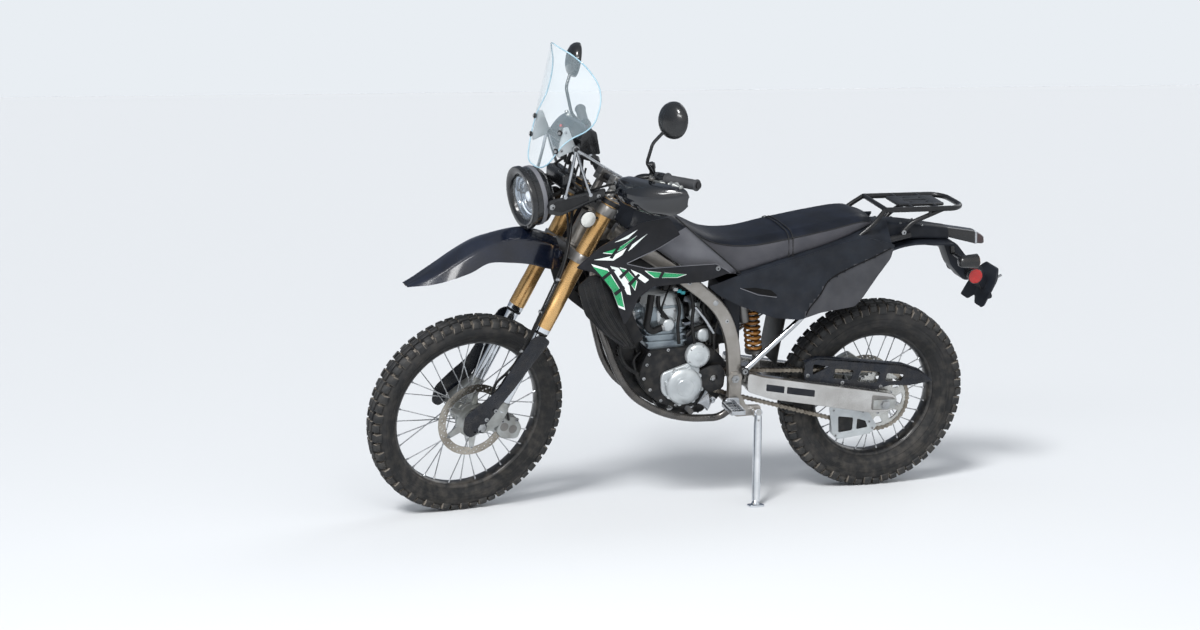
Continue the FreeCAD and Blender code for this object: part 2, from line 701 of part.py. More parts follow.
SIDE = [(590, 818), (543, 830), (395, 870), (206, 921), (124, 932), (12, 899), (25, 851), (74, 790), (123, 722),
        (150, 695), (275, 682), (353, 661), (443, 672), (497, 691), (570, 718), (643, 755), (680, 786)]
SIDE_RIGHT = [(590, 818), (543, 830), (395, 870), (206, 921), (124, 932), (12, 899), (40, 885), (200, 838),
              (330, 792), (430, 762), (540, 745), (643, 755), (680, 786)]
SIDE_PLAN = [(0, 122), (150, 146), (380, 164), (560, 160), (700, 148)]


def side_panel(outline):
    """A cover on two bosses from the subframe rail."""
    s = plate(outline, 0, 300).common(band(SIDE_PLAN, 6, 600, 1000))
    boss = [rod((420, 108, 812), (420, 162, 812), 8, 6), rod((170, 98, 876), (170, 144, 876), 8, 6)]
    return join([s] + boss).cut(subframe_room())


def side_panels():
    return Part.makeCompound([side_panel(SIDE), mirror(side_panel(SIDE_RIGHT))])


RAIL = [(616, 108, 740), (470, 104, 800), (200, 96, 872), (-60, 80, 920)]
RAIL_R = 11.0
RAIL_TIE_R = 9.0
STAY_R = 10.0


def rail_stays(r):
    """Stays from the swingarm pivot up to the rails; the right one runs inside the silencer."""
    return [pipe([(540, 134, 470), (330, 122, 655), (120, 93, 884)], r),
            pipe([(552, -100, 500), (330, -84, 655), (120, -90, 884)], r)]


def rail_ties(r):
    """Tubes across between the rails."""
    return [rod((x, -y, z), (x, y, z), r) for x, y, z in ((420, 100, 813.5), (170, 92, 877.5), (-40, 78, 916))]


def subframe_room():
    """Room kept round the rails for what is clamped to them."""
    rail = pipe(RAIL, RAIL_R + GAP)
    return Part.makeCompound([rail, mirror(rail)] + rail_ties(RAIL_TIE_R + GAP) + rail_stays(STAY_R + GAP))


def rear_fender():
    """Mudguard under the seat, with the tail and the arm for the number plate."""
    line = [(392, 690), (330, 760), (200, 806), (60, 852), (-60, 893), (-225, 884)]
    floor = plate(line + [(x, z + 6) for x, z in reversed(line)], -84, 84)
    tail = skin([[(60, -62, 850), (60, 62, 850), (60, 50, 958), (60, -50, 958)],
                 [(-60, -60, 895), (-60, 60, 895), (-60, 46, 950), (-60, -46, 950)],
                 [(-225, -44, 886), (-225, 44, 886), (-225, 32, 926), (-225, -32, 926)]])
    arm = plate([(-205, 889), (-262, 870), (-322, 802), (-372, 780), (-422, 668), (-400, 662), (-352, 740),
                 (-303, 735), (-250, 790), (-222, 850)], -34, 34)
    back = face([(-360, -88, 776), (-360, 88, 776), (-420, 88, 652), (-420, -88, 652)]).extrude(V(9, 0, -4.4))
    return join([floor, tail, arm, back]).cut(subframe_room())


def tail_lamp():
    return skin([[(-225.3, -40, 893), (-225.3, 40, 893), (-225.3, 30, 925), (-225.3, -30, 925)],
                 [(-330, -34, 866), (-330, 34, 866), (-330, 26, 908), (-330, -26, 908)],
                 [(-368, -28, 862), (-368, 28, 862), (-368, 22, 888), (-368, -22, 888)]])


def indicator():
    stalk = rod((-248, 34.3, 836), (-248, 128, 836), 7, 6)
    lamp = skin([flats(V(x, 142, 836), V(-1, 0, 0), r, 12) for x, r in ((-220, 18), (-284, 25), (-292, 25))])
    return join([stalk, lamp])


def rear_lamps():
    return Part.makeCompound([tail_lamp(), indicator(), mirror(indicator())])


def rear_rack():
    """Luggage rack: a tube loop with a drilled deck plate."""
    loop = pipe([(46, 95, 1012), (-236, 95, 1012), (-250, 0, 1012), (-236, -95, 1012), (46, -95, 1012)], 9, 6)
    cross = [rod((x, -95, 1012), (x, 95, 1012), 8, 6) for x in (40, -60, -150)]
    deck = box(-190, -20, -60, 60, 1012, 1020)
    arm = pipe([(46, 95, 1012), (92, 117, 972), (150, 117, 925), (196, 106, 880)], 8, 6)
    stay = pipe([(-170, 92, 1010), (-60, 82, 962), (-30, 81, 926)], 8, 6)
    s = join([loop, deck] + cross + [arm, mirror(arm), stay, mirror(stay)])
    holes = [pin_z(-105 + RACK_BOLT_R * cos(a), RACK_BOLT_R * sin(a), 1000, 1030, 4.3) for a in
             (pi / 4, 3 * pi / 4, 5 * pi / 4, 7 * pi / 4)]
    return s.cut(Part.makeCompound(holes)).cut(subframe_room())


def pin_z(x, y, z0, z1, r):
    return Part.makeCylinder(r, z1 - z0, V(x, y, z0), V(0, 0, 1))


def radiator():
    core = plate([(1038, 825), (1006, 840), (905, 622), (937, 608)], 64, RADIATOR_OUT)
    side = plate([(1140, 812), (1108, 712), (1050, 655), (968, 592), (922, 592), (938, 612), (1052, 846),
                  (1100, 848)], 171, 180)
    parts = [core, side, plate([(963, 607), (1088, 832), (1096, 828), (971, 603)], 130, 136)]
    for i in range(5):
        x, z = 975 + i * 24, 638 + i * 44
        parts.append(plate([(x, z), (x + 26, z - 12), (x + 29, z - 7), (x + 3, z + 5)], 132, 175))
    return join(parts)


# Steered parts, drawn straight ahead
def clamp(s0, s1):
    n0 = FORK_OFFSET
    hull = [(-30, -30), (n0 - 34, -FORK_SPAN), (n0 - 10, -FORK_SPAN - 36), (n0 + 20, -FORK_SPAN - 34),
            (n0 + 34, -FORK_SPAN), (n0 + 18, -40), (n0 + 18, 40), (n0 + 34, FORK_SPAN),
            (n0 + 20, FORK_SPAN + 34), (n0 - 10, FORK_SPAN + 36), (n0 - 34, FORK_SPAN), (-30, 30)]
    s = steer_plate(hull, s0, s1)
    for y in (FORK_SPAN, -FORK_SPAN):
        s = s.cut(steer_bar(n0, y, s0 - 5, s1 + 5, FORK_TUBE_R, TUBE_SIDES))
    return s


def fork_clamps():
    low = clamp(LOWER_CLAMP_S[0], LOWER_CLAMP_S[1])
    up = clamp(UPPER_CLAMP_S[0], UPPER_CLAMP_S[1])
    stem = steer_bar(0, 0, LOWER_CLAMP_S[0], UPPER_CLAMP_S[1] + 8, STEM_R, 12)
    parts = [low, up, stem]
    for y in (45, -45):
        parts.append(steer_bar(-3, y, UPPER_CLAMP_S[1] - 1, 1236, 15, 8))
        parts.append(steer_plate([(-26, y - 18), (20, y - 18), (20, y + 18), (-26, y + 18)], 1234, 1274))
    s = join(parts)
    return s.cut(pipe(bar_line(), BAR_R))


def fork_tubes():
    t = steer_bar(FORK_OFFSET, FORK_SPAN, TUBE_LOW_S, FORK_TOP_S, FORK_TUBE_R, TUBE_SIDES)
    cap = steer_bar(FORK_OFFSET, FORK_SPAN, FORK_TOP_S, FORK_TOP_S + 8, 17, 6)
    return pair(join([t, cap]))


AXLE_S = (FRONT_AXLE - STEER_FOOT).dot(STEER_AXIS)
AXLE_N = (FRONT_AXLE - STEER_FOOT).dot(STEER_NORMAL)


def fork_legs():
    s = steer_bar(FORK_OFFSET, FORK_SPAN, AXLE_S + 8, TUBE_LOW_S, STANCHION_R, TUBE_SIDES)
    hull = [(FORK_OFFSET - 24, AXLE_S + 92), (FORK_OFFSET + 24, AXLE_S + 92), (AXLE_N + 24, AXLE_S + 14),
            (AXLE_N + 20, AXLE_S - 22), (AXLE_N - 22, AXLE_S - 20), (FORK_OFFSET - 22, AXLE_S + 30)]
    foot = steer_side(hull, FOOT_IN, FOOT_OUT)
    leg = join([s, foot])
    leg = leg.cut(disc_y(FRONT_AXLE.x, FRONT_AXLE.z, FOOT_IN - 18, FOOT_OUT + 20, AXLE_R, 12))
    return pair(leg)


def front_axle():
    x, z = FRONT_AXLE.x, FRONT_AXLE.z
    bolt = disc_y(x, z, -FOOT_OUT - 8, FOOT_OUT + 6, AXLE_R, 12)
    nut = disc_y(x, z, FOOT_OUT, FOOT_OUT + 10, 15, 6)
    head = disc_y(x, z, -FOOT_OUT - 10, -FOOT_OUT, 13, 6)
    left = disc_y(x, z, HUB_LEFT + GAP, FOOT_IN, 14, 8)
    right = disc_y(x, z, -FOOT_IN, -HUB_RIGHT - GAP, 14, 8)
    return join([bolt, nut, head, left, right])


def fork_guards():
    """Guard blades ahead of each stanchion, wide at the axle."""
    outline = [(-30, 704), (12, 716), (40, 698), (54, 600), (62, 500), (92, 440), (124, 370), (104, 318),
               (70, 312), (48, 352), (28, 420), (8, 520), (-10, 620)]
    blade = steer_side([(n + 12, a) for n, a in outline], FOOT_OUT + 2.5, FOOT_OUT + 7.5)
    blade = blade.cut(disc_y(FRONT_AXLE.x, FRONT_AXLE.z, FOOT_OUT - 2, FOOT_OUT + 12, 17))
    tabs = [steer_point(n, FOOT_OUT + GAP, AXLE_S + a) for n, a in ((47, 70), (62, 32))]
    return pair(join([blade] + [rod(p, p + V(0, 3, 0), 6) for p in tabs]))


FENDER = [  # x, ridge z, side z, half width
    (1176, 940, 852, 58), (1210, 955, 850, 64), (1290, 979, 876, 68), (1366, 975, 890, 70), (1440, 958, 896, 72),
    (1505, 930, 868, 72), (1610, 864, 838, 58), (1695, 820, 822, 22)]


def front_fender():
    secs = []
    t = 4.0
    for x, zt, zs, w in FENDER:
        zk = zs + (zt - zs) * 0.72
        tt = min(t, 0.45 * max(zt - zs, 8))
        wk = w * 0.62
        secs.append([(x, -w, zs), (x, -wk, zk + t), (x, 0, zt), (x, wk, zk + t), (x, w, zs),
                     (x, w - t, zs - 1), (x, wk - t * .6, zk), (x, 0, zt - t), (x, -wk + t * .6, zk), (x, -w + t, zs - 1)])
    shell = skin(secs)
    tongue = steer_plate([(-24, -40), (92, -46), (92, 46), (-24, 40)], LOWER_CLAMP_S[0] - 5 - GAP,
                         LOWER_CLAMP_S[0] - GAP)
    rib = box(1176, 1184, -60, 60, 880, 906)
    return join([shell, tongue, rib])


LAMP_C = (1279.0, 1084.0)
LAMP_TILT = 8.0
LAMP_R = FORK_SPAN - 4.0          # the shell fills the room between the bracket's arms
LAMP_D = V(cos(radians(LAMP_TILT)), 0, -sin(radians(LAMP_TILT)))


def lamp_at(a):
    """A point on the headlamp's axis, a ahead of its centre."""
    return V(LAMP_C[0], 0, LAMP_C[1]) + LAMP_D * a


def lamp_turned(steps, n=20):
    """Rings of (a, radius) along the headlamp's axis."""
    return skin([flats(lamp_at(a), LAMP_D, r, n) for a, r in steps])


def headlamp():
    r = LAMP_R
    s = lamp_turned([(-62, r - 34), (-34, r), (13.9, r), (14, r + 7), (34, r + 7)])
    return s.cut(lamp_turned([(-30, r - 66), (2, r - 22), (40, r - 22)]))


def headlamp_lens():
    return lamp_turned([(20, LAMP_R - 22 - GAP), (26, LAMP_R - 22 - GAP)])


def headlamps():
    """Lamp shell, and its glass as a solid of its own."""
    return Part.makeCompound([headlamp(), headlamp_lens()])


def lamp_bracket():
    """Arms from the fork tubes to the lamp, with the struts and plates for the screen."""
    y0, y1, mid = LAMP_R + 7.3, LAMP_R + 13.0, LAMP_R + 10.0
    arm = plate([(1262, 1104), (1262, 1060), (1220, 1048), (1100, 1088), (1062, 1096), (1062, 1130), (1110, 1124)],
                y0, y1)
    collar = steer_bar(FORK_OFFSET, FORK_SPAN, 1190, 1203, 36, 8)
    link = plate([(1075, 1093), (1100, 1088), (1104, 1122), (1054, 1122)], LAMP_R, y1)
    boss = rod((1250, LAMP_R + 0.5, 1082), (1250, LAMP_R + 8, 1082), 12, 8)
    front = rod((1206, mid, 1112), (1180, mid, 1266), 6, 6)
    back = rod((1116, mid, 1112), (1178, mid, 1266), 6, 6)
    side = plate([(1170, 1258), (1192, 1256), (1236, 1240), (1238.0, 1252), (1224.6, 1338), (1208, 1340)], 88, 93)
    stay = rod((1176, mid, 1264), (1000, 132, 1158), 4.5, 6)
    one = join([arm, collar, link, boss, front, back, side, stay])
    one = one.cut(steer_bar(FORK_OFFSET, FORK_SPAN, 1000, 1260, FORK_TUBE_R + GAP, TUBE_SIDES))
    bar = rod((1178, -y1, 1266), (1178, y1, 1266), 8, 8)
    s = join([one, mirror(one), bar])
    return s.cut(lamp_turned([(-40, LAMP_R + GAP), (16, LAMP_R + GAP)]))


def instrument():
    s = plate([(1074, 1234), (1096, 1312), (1128, 1318), (1150, 1296), (1150, 1240)], -78, 78)
    tabs = box(1148, 1169.7, -40, 40, 1256, 1276)
    return join([s, tabs])


def windscreen():
    """A clear sheet bent round an upright axis, leaning back."""
    r, t, lean = 205.0, 4.0, 0.155
    outline = [(-62, 1190), (-112, 1300), (-168, 1352), (-172, 1440), (-160, 1500), (-120, 1548), (-60, 1572),
               (60, 1572), (120, 1548), (160, 1500), (172, 1440), (168, 1352), (112, 1300), (62, 1190)]
    arcs = []
    for z in (1100, 1620):
        cx = 1290 - r - (z - 1100) * lean
        bend = [radians(a) for a in range(-80, 81, 16)]
        arcs.append([(cx + r * cos(a), r * sin(a), z) for a in bend] +
                    [(cx + (r - t) * cos(a), (r - t) * sin(a), z) for a in reversed(bend)])
    return skin(arcs).common(face([(1090, y, z) for y, z in outline]).extrude(V(400, 0, 0)))


BAR = [(990, 0, 1120), (990, 96, 1120), (978, 176, 1186), (960, 240, 1202), (900, 408, 1228)]


def bar_line():
    left = BAR[1:]
    right = [(x, -y, z) for x, y, z in reversed(left)]
    return right + left


def handlebar():
    """Bar with its switch housings, perches and levers."""
    return join([pipe(bar_line(), BAR_R)] + control() + [mirror(s) for s in control()])


def bar_at(y):
    """Point of the bar's centre line at a distance y out."""
    (x0, y0, z0), (x1, y1, z1) = BAR[3], BAR[4]
    t = (y - y0) / (y1 - y0)
    return (x0 + (x1 - x0) * t, y, z0 + (z1 - z0) * t)


def on_bar(y0, y1, r):
    return rod(bar_at(y0), bar_at(y1), r)


def grips():
    return pair(on_bar(284.3, 410, 16.5).cut(on_bar(240, 408.1, BAR_R)))


def control():
    perch = rod(bar_at(254), (985, 262, 1204), 9, 6)
    lever = pipe([(985, 262, 1204), (975, 300, 1208), (955, 390, 1222)], 6, 6)
    return [on_bar(240, 284, 20), perch, lever]


GUARD = [  # y, front x, depth, middle z, half height
    (176, 1078, 46, 1176, 46), (240, 1080, 60, 1184, 60), (330, 1052, 64, 1198, 62), (400, 1004, 56, 1208, 54),
    (428, 958, 34, 1214, 36)]


def hand_guards():
    secs = []
    t = 4.0
    for y, xf, d, zc, h in GUARD:
        secs.append([(xf - d, y, zc + h), (xf - d * .3, y, zc + h * .8), (xf, y, zc), (xf - d * .3, y, zc - h * .8),
                     (xf - d, y, zc - h), (xf - d, y, zc - h + t), (xf - d * .3 - t, y, zc - h * .8 + t * .8),
                     (xf - t, y, zc), (xf - d * .3 - t, y, zc + h * .8 - t * .8), (xf - d, y, zc + h - t)])
    shell = skin(secs)
    stay = rod((986, 122, 1141), (1076, 190, 1177), 6)
    end = rod(bar_at(410), (962, 424, 1213), 8)
    s = join([shell, stay, end])
    s = s.cut(pipe(bar_line(), BAR_R + GAP))
    return pair(s.cut(on_bar(284, 410 + GAP, 16.5 + GAP)))


def mirrors():
    stalk = pipe([(961, 228, 1208), (1010, 262, 1262), (1018, 300, 1340), (990, 326, 1392)], 6)
    d = V(1, 0, 0.12).normalize()
    head = skin([flats(V(968, 334, 1422) + d * a, d, r, 16) for a, r in ((0, 58), (22, 58), (34, 34))])
    s = join([stalk, head])
    return pair(s.cut(on_bar(180, 239, BAR_R + GAP)))


def front_caliper():
    c = (FRONT_AXLE.x, FRONT_AXLE.z)
    body = plate([(1292, 262), (1278, 300), (1300, 342), (1352, 350), (1372, 300), (1352, 270)],
                 FOOT_IN - 36, FOOT_IN)
    link = plate([(1340, 290), (1372, 330), (1418, 366), (1410, 400), (1370, 390), (1330, 340)],
                 FOOT_IN - 12, FOOT_IN - GAP)
    slot = pin_y(c[0], c[1], DISC_IN - GAP, DISC_OUT + GAP, FRONT_DISC_R + 5)
    return join([body, link]).cut(slot)


# Parked attitude
def rot(axis, angle, point=V(0, 0, 0)):
    return FreeCAD.Placement(V(0, 0, 0), FreeCAD.Rotation(axis, angle), point).toMatrix()


STEER_M = rot(STEER_AXIS, STEER, STEER_FOOT + V(FORE, 0, 0))
LEAN_M = rot(V(1, 0, 0), -LEAN)


def shaped(shape, m):
    return shape.transformShape(m, True)


def lowest(shape, m):
    return min((m.multVec(v.Point) for v in shape.Vertexes), key=lambda p: p.z)


def stand_points(m):
    """Pivot, foot and stowed end of the stand, in the parked place."""
    at = V(470 + FORE, 143, 333)
    pivot = m.multVec(at)
    foot = V(pivot.x + 30, pivot.y + 62, 0)
    length = (foot - pivot).Length
    up = m.multVec(at + V(-0.975, 0.09, 0.20).normalize() * length)
    return pivot, foot, up


def side_stand(m):
    pivot, foot, up = stand_points(m)
    axis = (foot - pivot).cross(up - pivot).normalize()
    d = (foot - pivot).normalize()
    boss = rod(pivot - axis * 10, pivot + axis * 10, 14, 12)
    leg = rod(pivot + d * 4, foot - d * 8, 9.5)
    pad = Part.makeBox(54, 40, 7, V(foot.x - 27, foot.y - 20, 0))
    neck = taper((foot.x, foot.y, 5), (foot.x - d.x * 24, foot.y - d.y * 24, 27), 16, 10, 8)
    s = join([boss, leg, pad, neck])
    return s.cut(Part.makeCylinder(6 + RUNNING, 60, pivot - axis * 30, axis))


def stand_bracket(m):
    """Bolt and cheek that carry the stand, part of the frame."""
    pivot, foot, up = stand_points(m)
    axis = (foot - pivot).cross(up - pivot).normalize()
    if axis.y > 0:
        axis = -axis
    bolt = rod(pivot - axis * 16, pivot + axis * 30, 6, 8)
    head = rod(pivot - axis * (10 + GAP + 5), pivot - axis * (10 + GAP), 11, 6)
    cheek = rod(pivot + axis * (10 + GAP), pivot + axis * 26, 15, 8)
    return join([bolt, head, cheek])


REAR_END = ("swingarm", "rear_axle", "chain", "chain_guard", "rear_caliper")   # drawn from the rear axle


def all_parts():
    """Name, shape and the moving group of each piece."""
    f, r = FRONT_AXLE, REAR_AXLE
    chassis = [
        ("frame", frame()), ("subframe", subframe()), ("crankcase", crankcase()),
        ("engine_covers", engine_covers()), ("cylinder", cylinder()), ("air_box", air_box()),
        ("exhaust", exhaust()), ("foot_controls", foot_controls()), ("swingarm", swingarm()),
        ("rear_axle", rear_axle()), ("shock_absorber", shock_absorber()), ("chain", chain()),
        ("chain_guard", Part.makeCompound([chain_guard(), chain_guide()])), ("rear_caliper", rear_caliper()),
        ("seat", seat()), ("fuel_tank", tank()), ("shrouds", pair(shroud())), ("side_panels", side_panels()),
        ("rear_fender", rear_fender()), ("rear_lamps", rear_lamps()), ("rear_rack", rear_rack()),
        ("radiators", pair(radiator()))]
    steering = [
        ("fork_clamps", fork_clamps()), ("fork_tubes", fork_tubes()), ("fork_legs", fork_legs()),
        ("front_axle", front_axle()), ("fork_guards", fork_guards()), ("front_fender", front_fender()),
        ("headlamp", headlamps()), ("lamp_bracket", lamp_bracket()), ("instrument", instrument()),
        ("windscreen", windscreen()), ("handlebar", handlebar()), ("grips", grips()),
        ("hand_guards", hand_guards()), ("mirrors", mirrors()), ("front_caliper", front_caliper())]
    front = [("front_tyre", front_tyre()), ("front_rim", front_wheel_rim()), ("front_disc", front_disc())]
    rear = [("rear_tyre", rear_tyre()), ("rear_rim", rear_wheel_rim()), ("rear_disc", rear_disc()),
            ("rear_sprocket", rear_sprocket())]
    out = [(n, s, "chassis") for n, s in chassis] + [(n, s, "steering") for n, s in steering]
    out += [(n, moved(s, f), "front_wheel") for n, s in front]
    if FORE:
        out = [(n, s if n in REAR_END else moved(s, V(FORE, 0, 0)), g) for n, s, g in out]
    return out + [(n, moved(s, r), "rear_wheel") for n, s in rear]


def parked_matrices(front, rear):
    """Lean the machine, then pitch and drop it until both tyres touch z = 0."""
    lean = LEAN_M
    pitch = FreeCAD.Matrix()
    for _ in range(4):
        m = pitch.multiply(lean)
        a = lowest(front, m.multiply(STEER_M))
        b = lowest(rear, m)
        angle = degrees(atan2(a.z - b.z, a.x - b.x))
        pitch = rot(V(0, 1, 0), angle).multiply(pitch)
    m = pitch.multiply(lean)
    drop = FreeCAD.Matrix()
    drop.move(V(0, 0, -lowest(rear, m).z))
    m = drop.multiply(m)
    return m, m.multiply(STEER_M)


def build():
    items = all_parts()
    shapes = {name: shape for name, shape, _ in items}
    m, ms = parked_matrices(shapes["front_tyre"], shapes["rear_tyre"])
    out = {}
    for name, shape, group in items:
        out[name] = shaped(shape, ms if group in ("steering", "front_wheel") else m)
    out["frame"] = out["frame"].fuse(stand_bracket(m)).removeSplitter()
    out["side_stand"] = side_stand(m)
    box_all = FreeCAD.BoundBox()
    for s in out.values():
        box_all.add(s.BoundBox)
    shift = V(-(box_all.XMin + box_all.XMax) / 2, -(box_all.YMin + box_all.YMax) / 2, -box_all.ZMin)
    return out, m, ms, shift


def main():
    shapes, m, ms, shift = build()
    for name, shape in shapes.items():
        shape.translate(shift)
        shape.exportStep("parts/%s.step" % name)


if __name__ == "__main__":
    main()
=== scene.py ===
"""Dual sport motorcycle: the looks round its solids.

Pieces are drawn in millimetres on an upright machine, x forward from the rear axle, y to the rider's left and
z up, and are then put in the parked place: BIKE for what rides on the chassis, FORKS for what steers.
"""
import json
import math
from math import cos, sin, pi, radians

import bmesh
import bpy
from bpy.props import FloatProperty, FloatVectorProperty, IntProperty, PointerProperty
from mathutils import Matrix, Vector
from mathutils.geometry import tessellate_polygon


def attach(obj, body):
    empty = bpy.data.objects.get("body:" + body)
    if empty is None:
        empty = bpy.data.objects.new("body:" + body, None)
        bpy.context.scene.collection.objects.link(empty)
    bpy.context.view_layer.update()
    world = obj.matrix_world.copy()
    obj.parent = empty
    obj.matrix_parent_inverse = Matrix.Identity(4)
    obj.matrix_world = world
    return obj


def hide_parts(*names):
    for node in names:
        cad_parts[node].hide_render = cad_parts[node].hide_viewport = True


bl_info = {
    "name": "Dual Sport Motorcycle",
    "version": (1, 0, 0),
    "blender": (4, 5, 0),
    "location": "View3D > Sidebar > Motorcycle",
    "description": "Builds a parked dual sport motorcycle, piece by piece",
    "category": "Add Mesh",
}

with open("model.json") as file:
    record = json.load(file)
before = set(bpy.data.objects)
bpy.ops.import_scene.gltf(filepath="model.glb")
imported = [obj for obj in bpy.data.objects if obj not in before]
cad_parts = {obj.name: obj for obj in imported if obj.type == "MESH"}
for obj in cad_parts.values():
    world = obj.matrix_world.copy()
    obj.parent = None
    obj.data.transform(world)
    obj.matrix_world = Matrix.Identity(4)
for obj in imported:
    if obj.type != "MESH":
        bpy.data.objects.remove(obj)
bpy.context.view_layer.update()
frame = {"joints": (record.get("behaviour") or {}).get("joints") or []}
JOINTS = {j["name"]: j for j in frame["joints"]}

# The machine's driving dimensions, as in its solids
RAKE = radians(26.7)
FRONT_AXLE = Vector((1450, 0, 345))
REAR_AXLE = Vector((0, 0, 334))
STEER_FOOT = Vector((1557, 0, 0))
AXLE_N, AXLE_S = 59.4, 356.3
FORK_SPAN, FORK_OFFSET = 100.0, 18.0
CLAMPS = (975, 1008), (1150, 1185)  # from and to along the steering axis
SPOKES, LUG_PITCHES = 32, 30
CHAIN_Y, CHAIN_PITCH, FRONT_TEETH, REAR_TEETH = 78.0, 15.875, 14, 42
DRIVE = Vector((612, 0, 437))
PIVOT = Vector((554, 0, 453))
Y, Z = Vector((0, 1, 0)), Vector((0, 0, 1))

# Where the photographer stood, in metres and degrees of the row frame
CAMERA_AT, CAMERA_YAW, CAMERA_PITCH = (2.5915, 7.14445, 1.637), -107.43, 7.42
SUNS = {"key": ((3.4, 4.2, 5.4), 14), "fill": ((-5, -3, 3.5), 40)}  # place, width of the disc in degrees
SOFTBOX_AT, SOFTBOX_SIZE, SOFTBOX_AIM = Vector((1.9, 3.2, 2.7)), (2.6, 0.5), Vector((0, 0, 0.6))
SKY = ((0.0, (0.13, 0.15, 0.19)), (0.45, (0.38, 0.41, 0.45)), (1.0, (1.0, 1.0, 1.0)))  # far side to near side
SKY_STRENGTH, FLOOR_HALF = 1.1, 40


def parked(axle, wheel):
    """The upright machine's place in the row frame, from a wheel's axle there and on the drawing."""
    up = Vector(JOINTS["steering"]["axis"]).normalized()
    y = Vector(JOINTS[axle]["axis"]).normalized()
    n = y.cross(up).normalized()
    x, z = n * cos(RAKE) - up * sin(RAKE), n * sin(RAKE) + up * cos(RAKE)
    m = Matrix((x, y, z)).transposed()
    at = Vector(JOINTS[axle]["pos_m"]) - m @ (wheel / 1000)
    return Matrix.Translation(at) @ m.to_4x4() @ Matrix.Scale(0.001, 4)


BIKE = parked("rear_wheel_spin", REAR_AXLE)
FORKS = parked("front_wheel_spin", FRONT_AXLE)


def tone(code):
    """A colour written as on a paint card, in Blender's linear values."""
    parts = [int(code[i:i + 2], 16) / 255 for i in (1, 3, 5)]
    return tuple(c / 12.92 if c <= 0.04045 else ((c + 0.055) / 1.055) ** 2.4 for c in parts)


# Lines and outlines
def rounded(points, radius, steps=4, closed=True):
    """The line with each corner turned into a short curve."""
    pts = [Vector(p) for p in points]
    out = []
    for i, p in enumerate(pts):
        if not closed and i in (0, len(pts) - 1):
            out.append(p)
            continue
        a, b = pts[i - 1] - p, pts[(i + 1) % len(pts)] - p
        d = min(radius, a.length * 0.48, b.length * 0.48)
        s, e = p + a.normalized() * d, p + b.normalized() * d
        for k in range(steps + 1):
            t = k / steps
            out.append(s * (1 - t) ** 2 + p * (2 * t * (1 - t)) + e * t * t)
    return out


def smooth_rows(rows, per_span=6):
    """Rows between those of a table, on a smooth curve through them."""
    def gap(a, b):
        return max(math.dist(a, b), 1e-6)
    out = []
    n = len(rows)
    for i in range(n - 1):
        p, a, b, q = rows[max(i - 1, 0)], rows[i], rows[i + 1], rows[min(i + 2, n - 1)]
        h = gap(a, b)
        ha, hb = (gap(p, a) if i else 0.0), (gap(b, q) if i < n - 2 else 0.0)
        for k in range(per_span):
            t = k / per_span
            row = []
            for pc, ac, bc, qc in zip(p, a, b, q):
                m0 = (bc - pc) / (ha + h) * h
                m1 = (qc - ac) / (h + hb) * h
                row.append(ac * (2 * t ** 3 - 3 * t * t + 1) + m0 * (t ** 3 - 2 * t * t + t)
                           + bc * (3 * t * t - 2 * t ** 3) + m1 * (t ** 3 - t * t))
            out.append(tuple(row))
    return out + [tuple(rows[-1])]


def between(rows, x):
    """The second value of a table of (x, value, ...) at x."""
    for a, b in zip(rows, rows[1:]):
        if min(a[0], b[0]) <= x <= max(a[0], b[0]):
            return a[1] + (b[1] - a[1]) * (x - a[0]) / (b[0] - a[0])
    return rows[0][1] if abs(x - rows[0][0]) < abs(x - rows[-1][0]) else rows[-1][1]


def square_to(d):
    """A direction at right angles to d."""
    return d.cross(Y if abs(d.y) < 0.9 else Z).normalized()


def circle(c, d, r, n):
    """Points round c, square to d."""
    c, d = Vector(c), Vector(d).normalized()
    u = square_to(d)
    w = d.cross(u)
    return [c + u * (r * cos(2 * pi * i / n)) + w * (r * sin(2 * pi * i / n)) for i in range(n)]


def steer(n, y, s):
    """A point n ahead of the steering axis, y to the left and s up along it."""
    return STEER_FOOT + Vector((n * cos(RAKE) - s * sin(RAKE), y, n * sin(RAKE) + s * cos(RAKE)))


STEER_UP = steer(0, 0, 1) - STEER_FOOT


def ring_faces(rings, ends=True, loop=False, wrap=True):
    """Faces through rings of equal count. loop joins the last ring to the first, wrap closes each ring."""
    n, faces = len(rings[0]), []
    for k in range(len(rings) if loop else len(rings) - 1):
        a, b = k * n, ((k + 1) % len(rings)) * n
        faces += [(a + i, a + (i + 1) % n, b + (i + 1) % n, b + i) for i in range(n if wrap else n - 1)]
    if ends and not loop:
        faces += [tuple(range(n)), tuple(range(n * (len(rings) - 1), n * len(rings)))]
    return [p for r in rings for p in r], faces


def shape(points, faces):
    """A mesh to work on."""
    bm = bmesh.new()
    vs = [bm.verts.new(p) for p in points]
    for f in faces:
        bm.faces.new([vs[i] for i in f])
    return bm


def score(bm, co, no, clear=False):
    """The mesh scored by a plane, and with clear cut off beyond it."""
    bmesh.ops.bisect_plane(bm, geom=bm.verts[:] + bm.edges[:] + bm.faces[:], plane_co=co, plane_no=no,
        clear_outer=clear)
    if clear:
        bmesh.ops.holes_fill(bm, edges=[e for e in bm.edges if e.is_boundary])


def corners(element):
    return [v.index for v in element.verts]


def round_axle(centre, r, y, a):
    """A point at radius r and angle a about an axle, y to the left."""
    return centre + Vector((r * cos(a), y, r * sin(a)))


def outward(y):
    """The sideways direction that leads away from the middle."""
    return Y if y > 0 else -Y


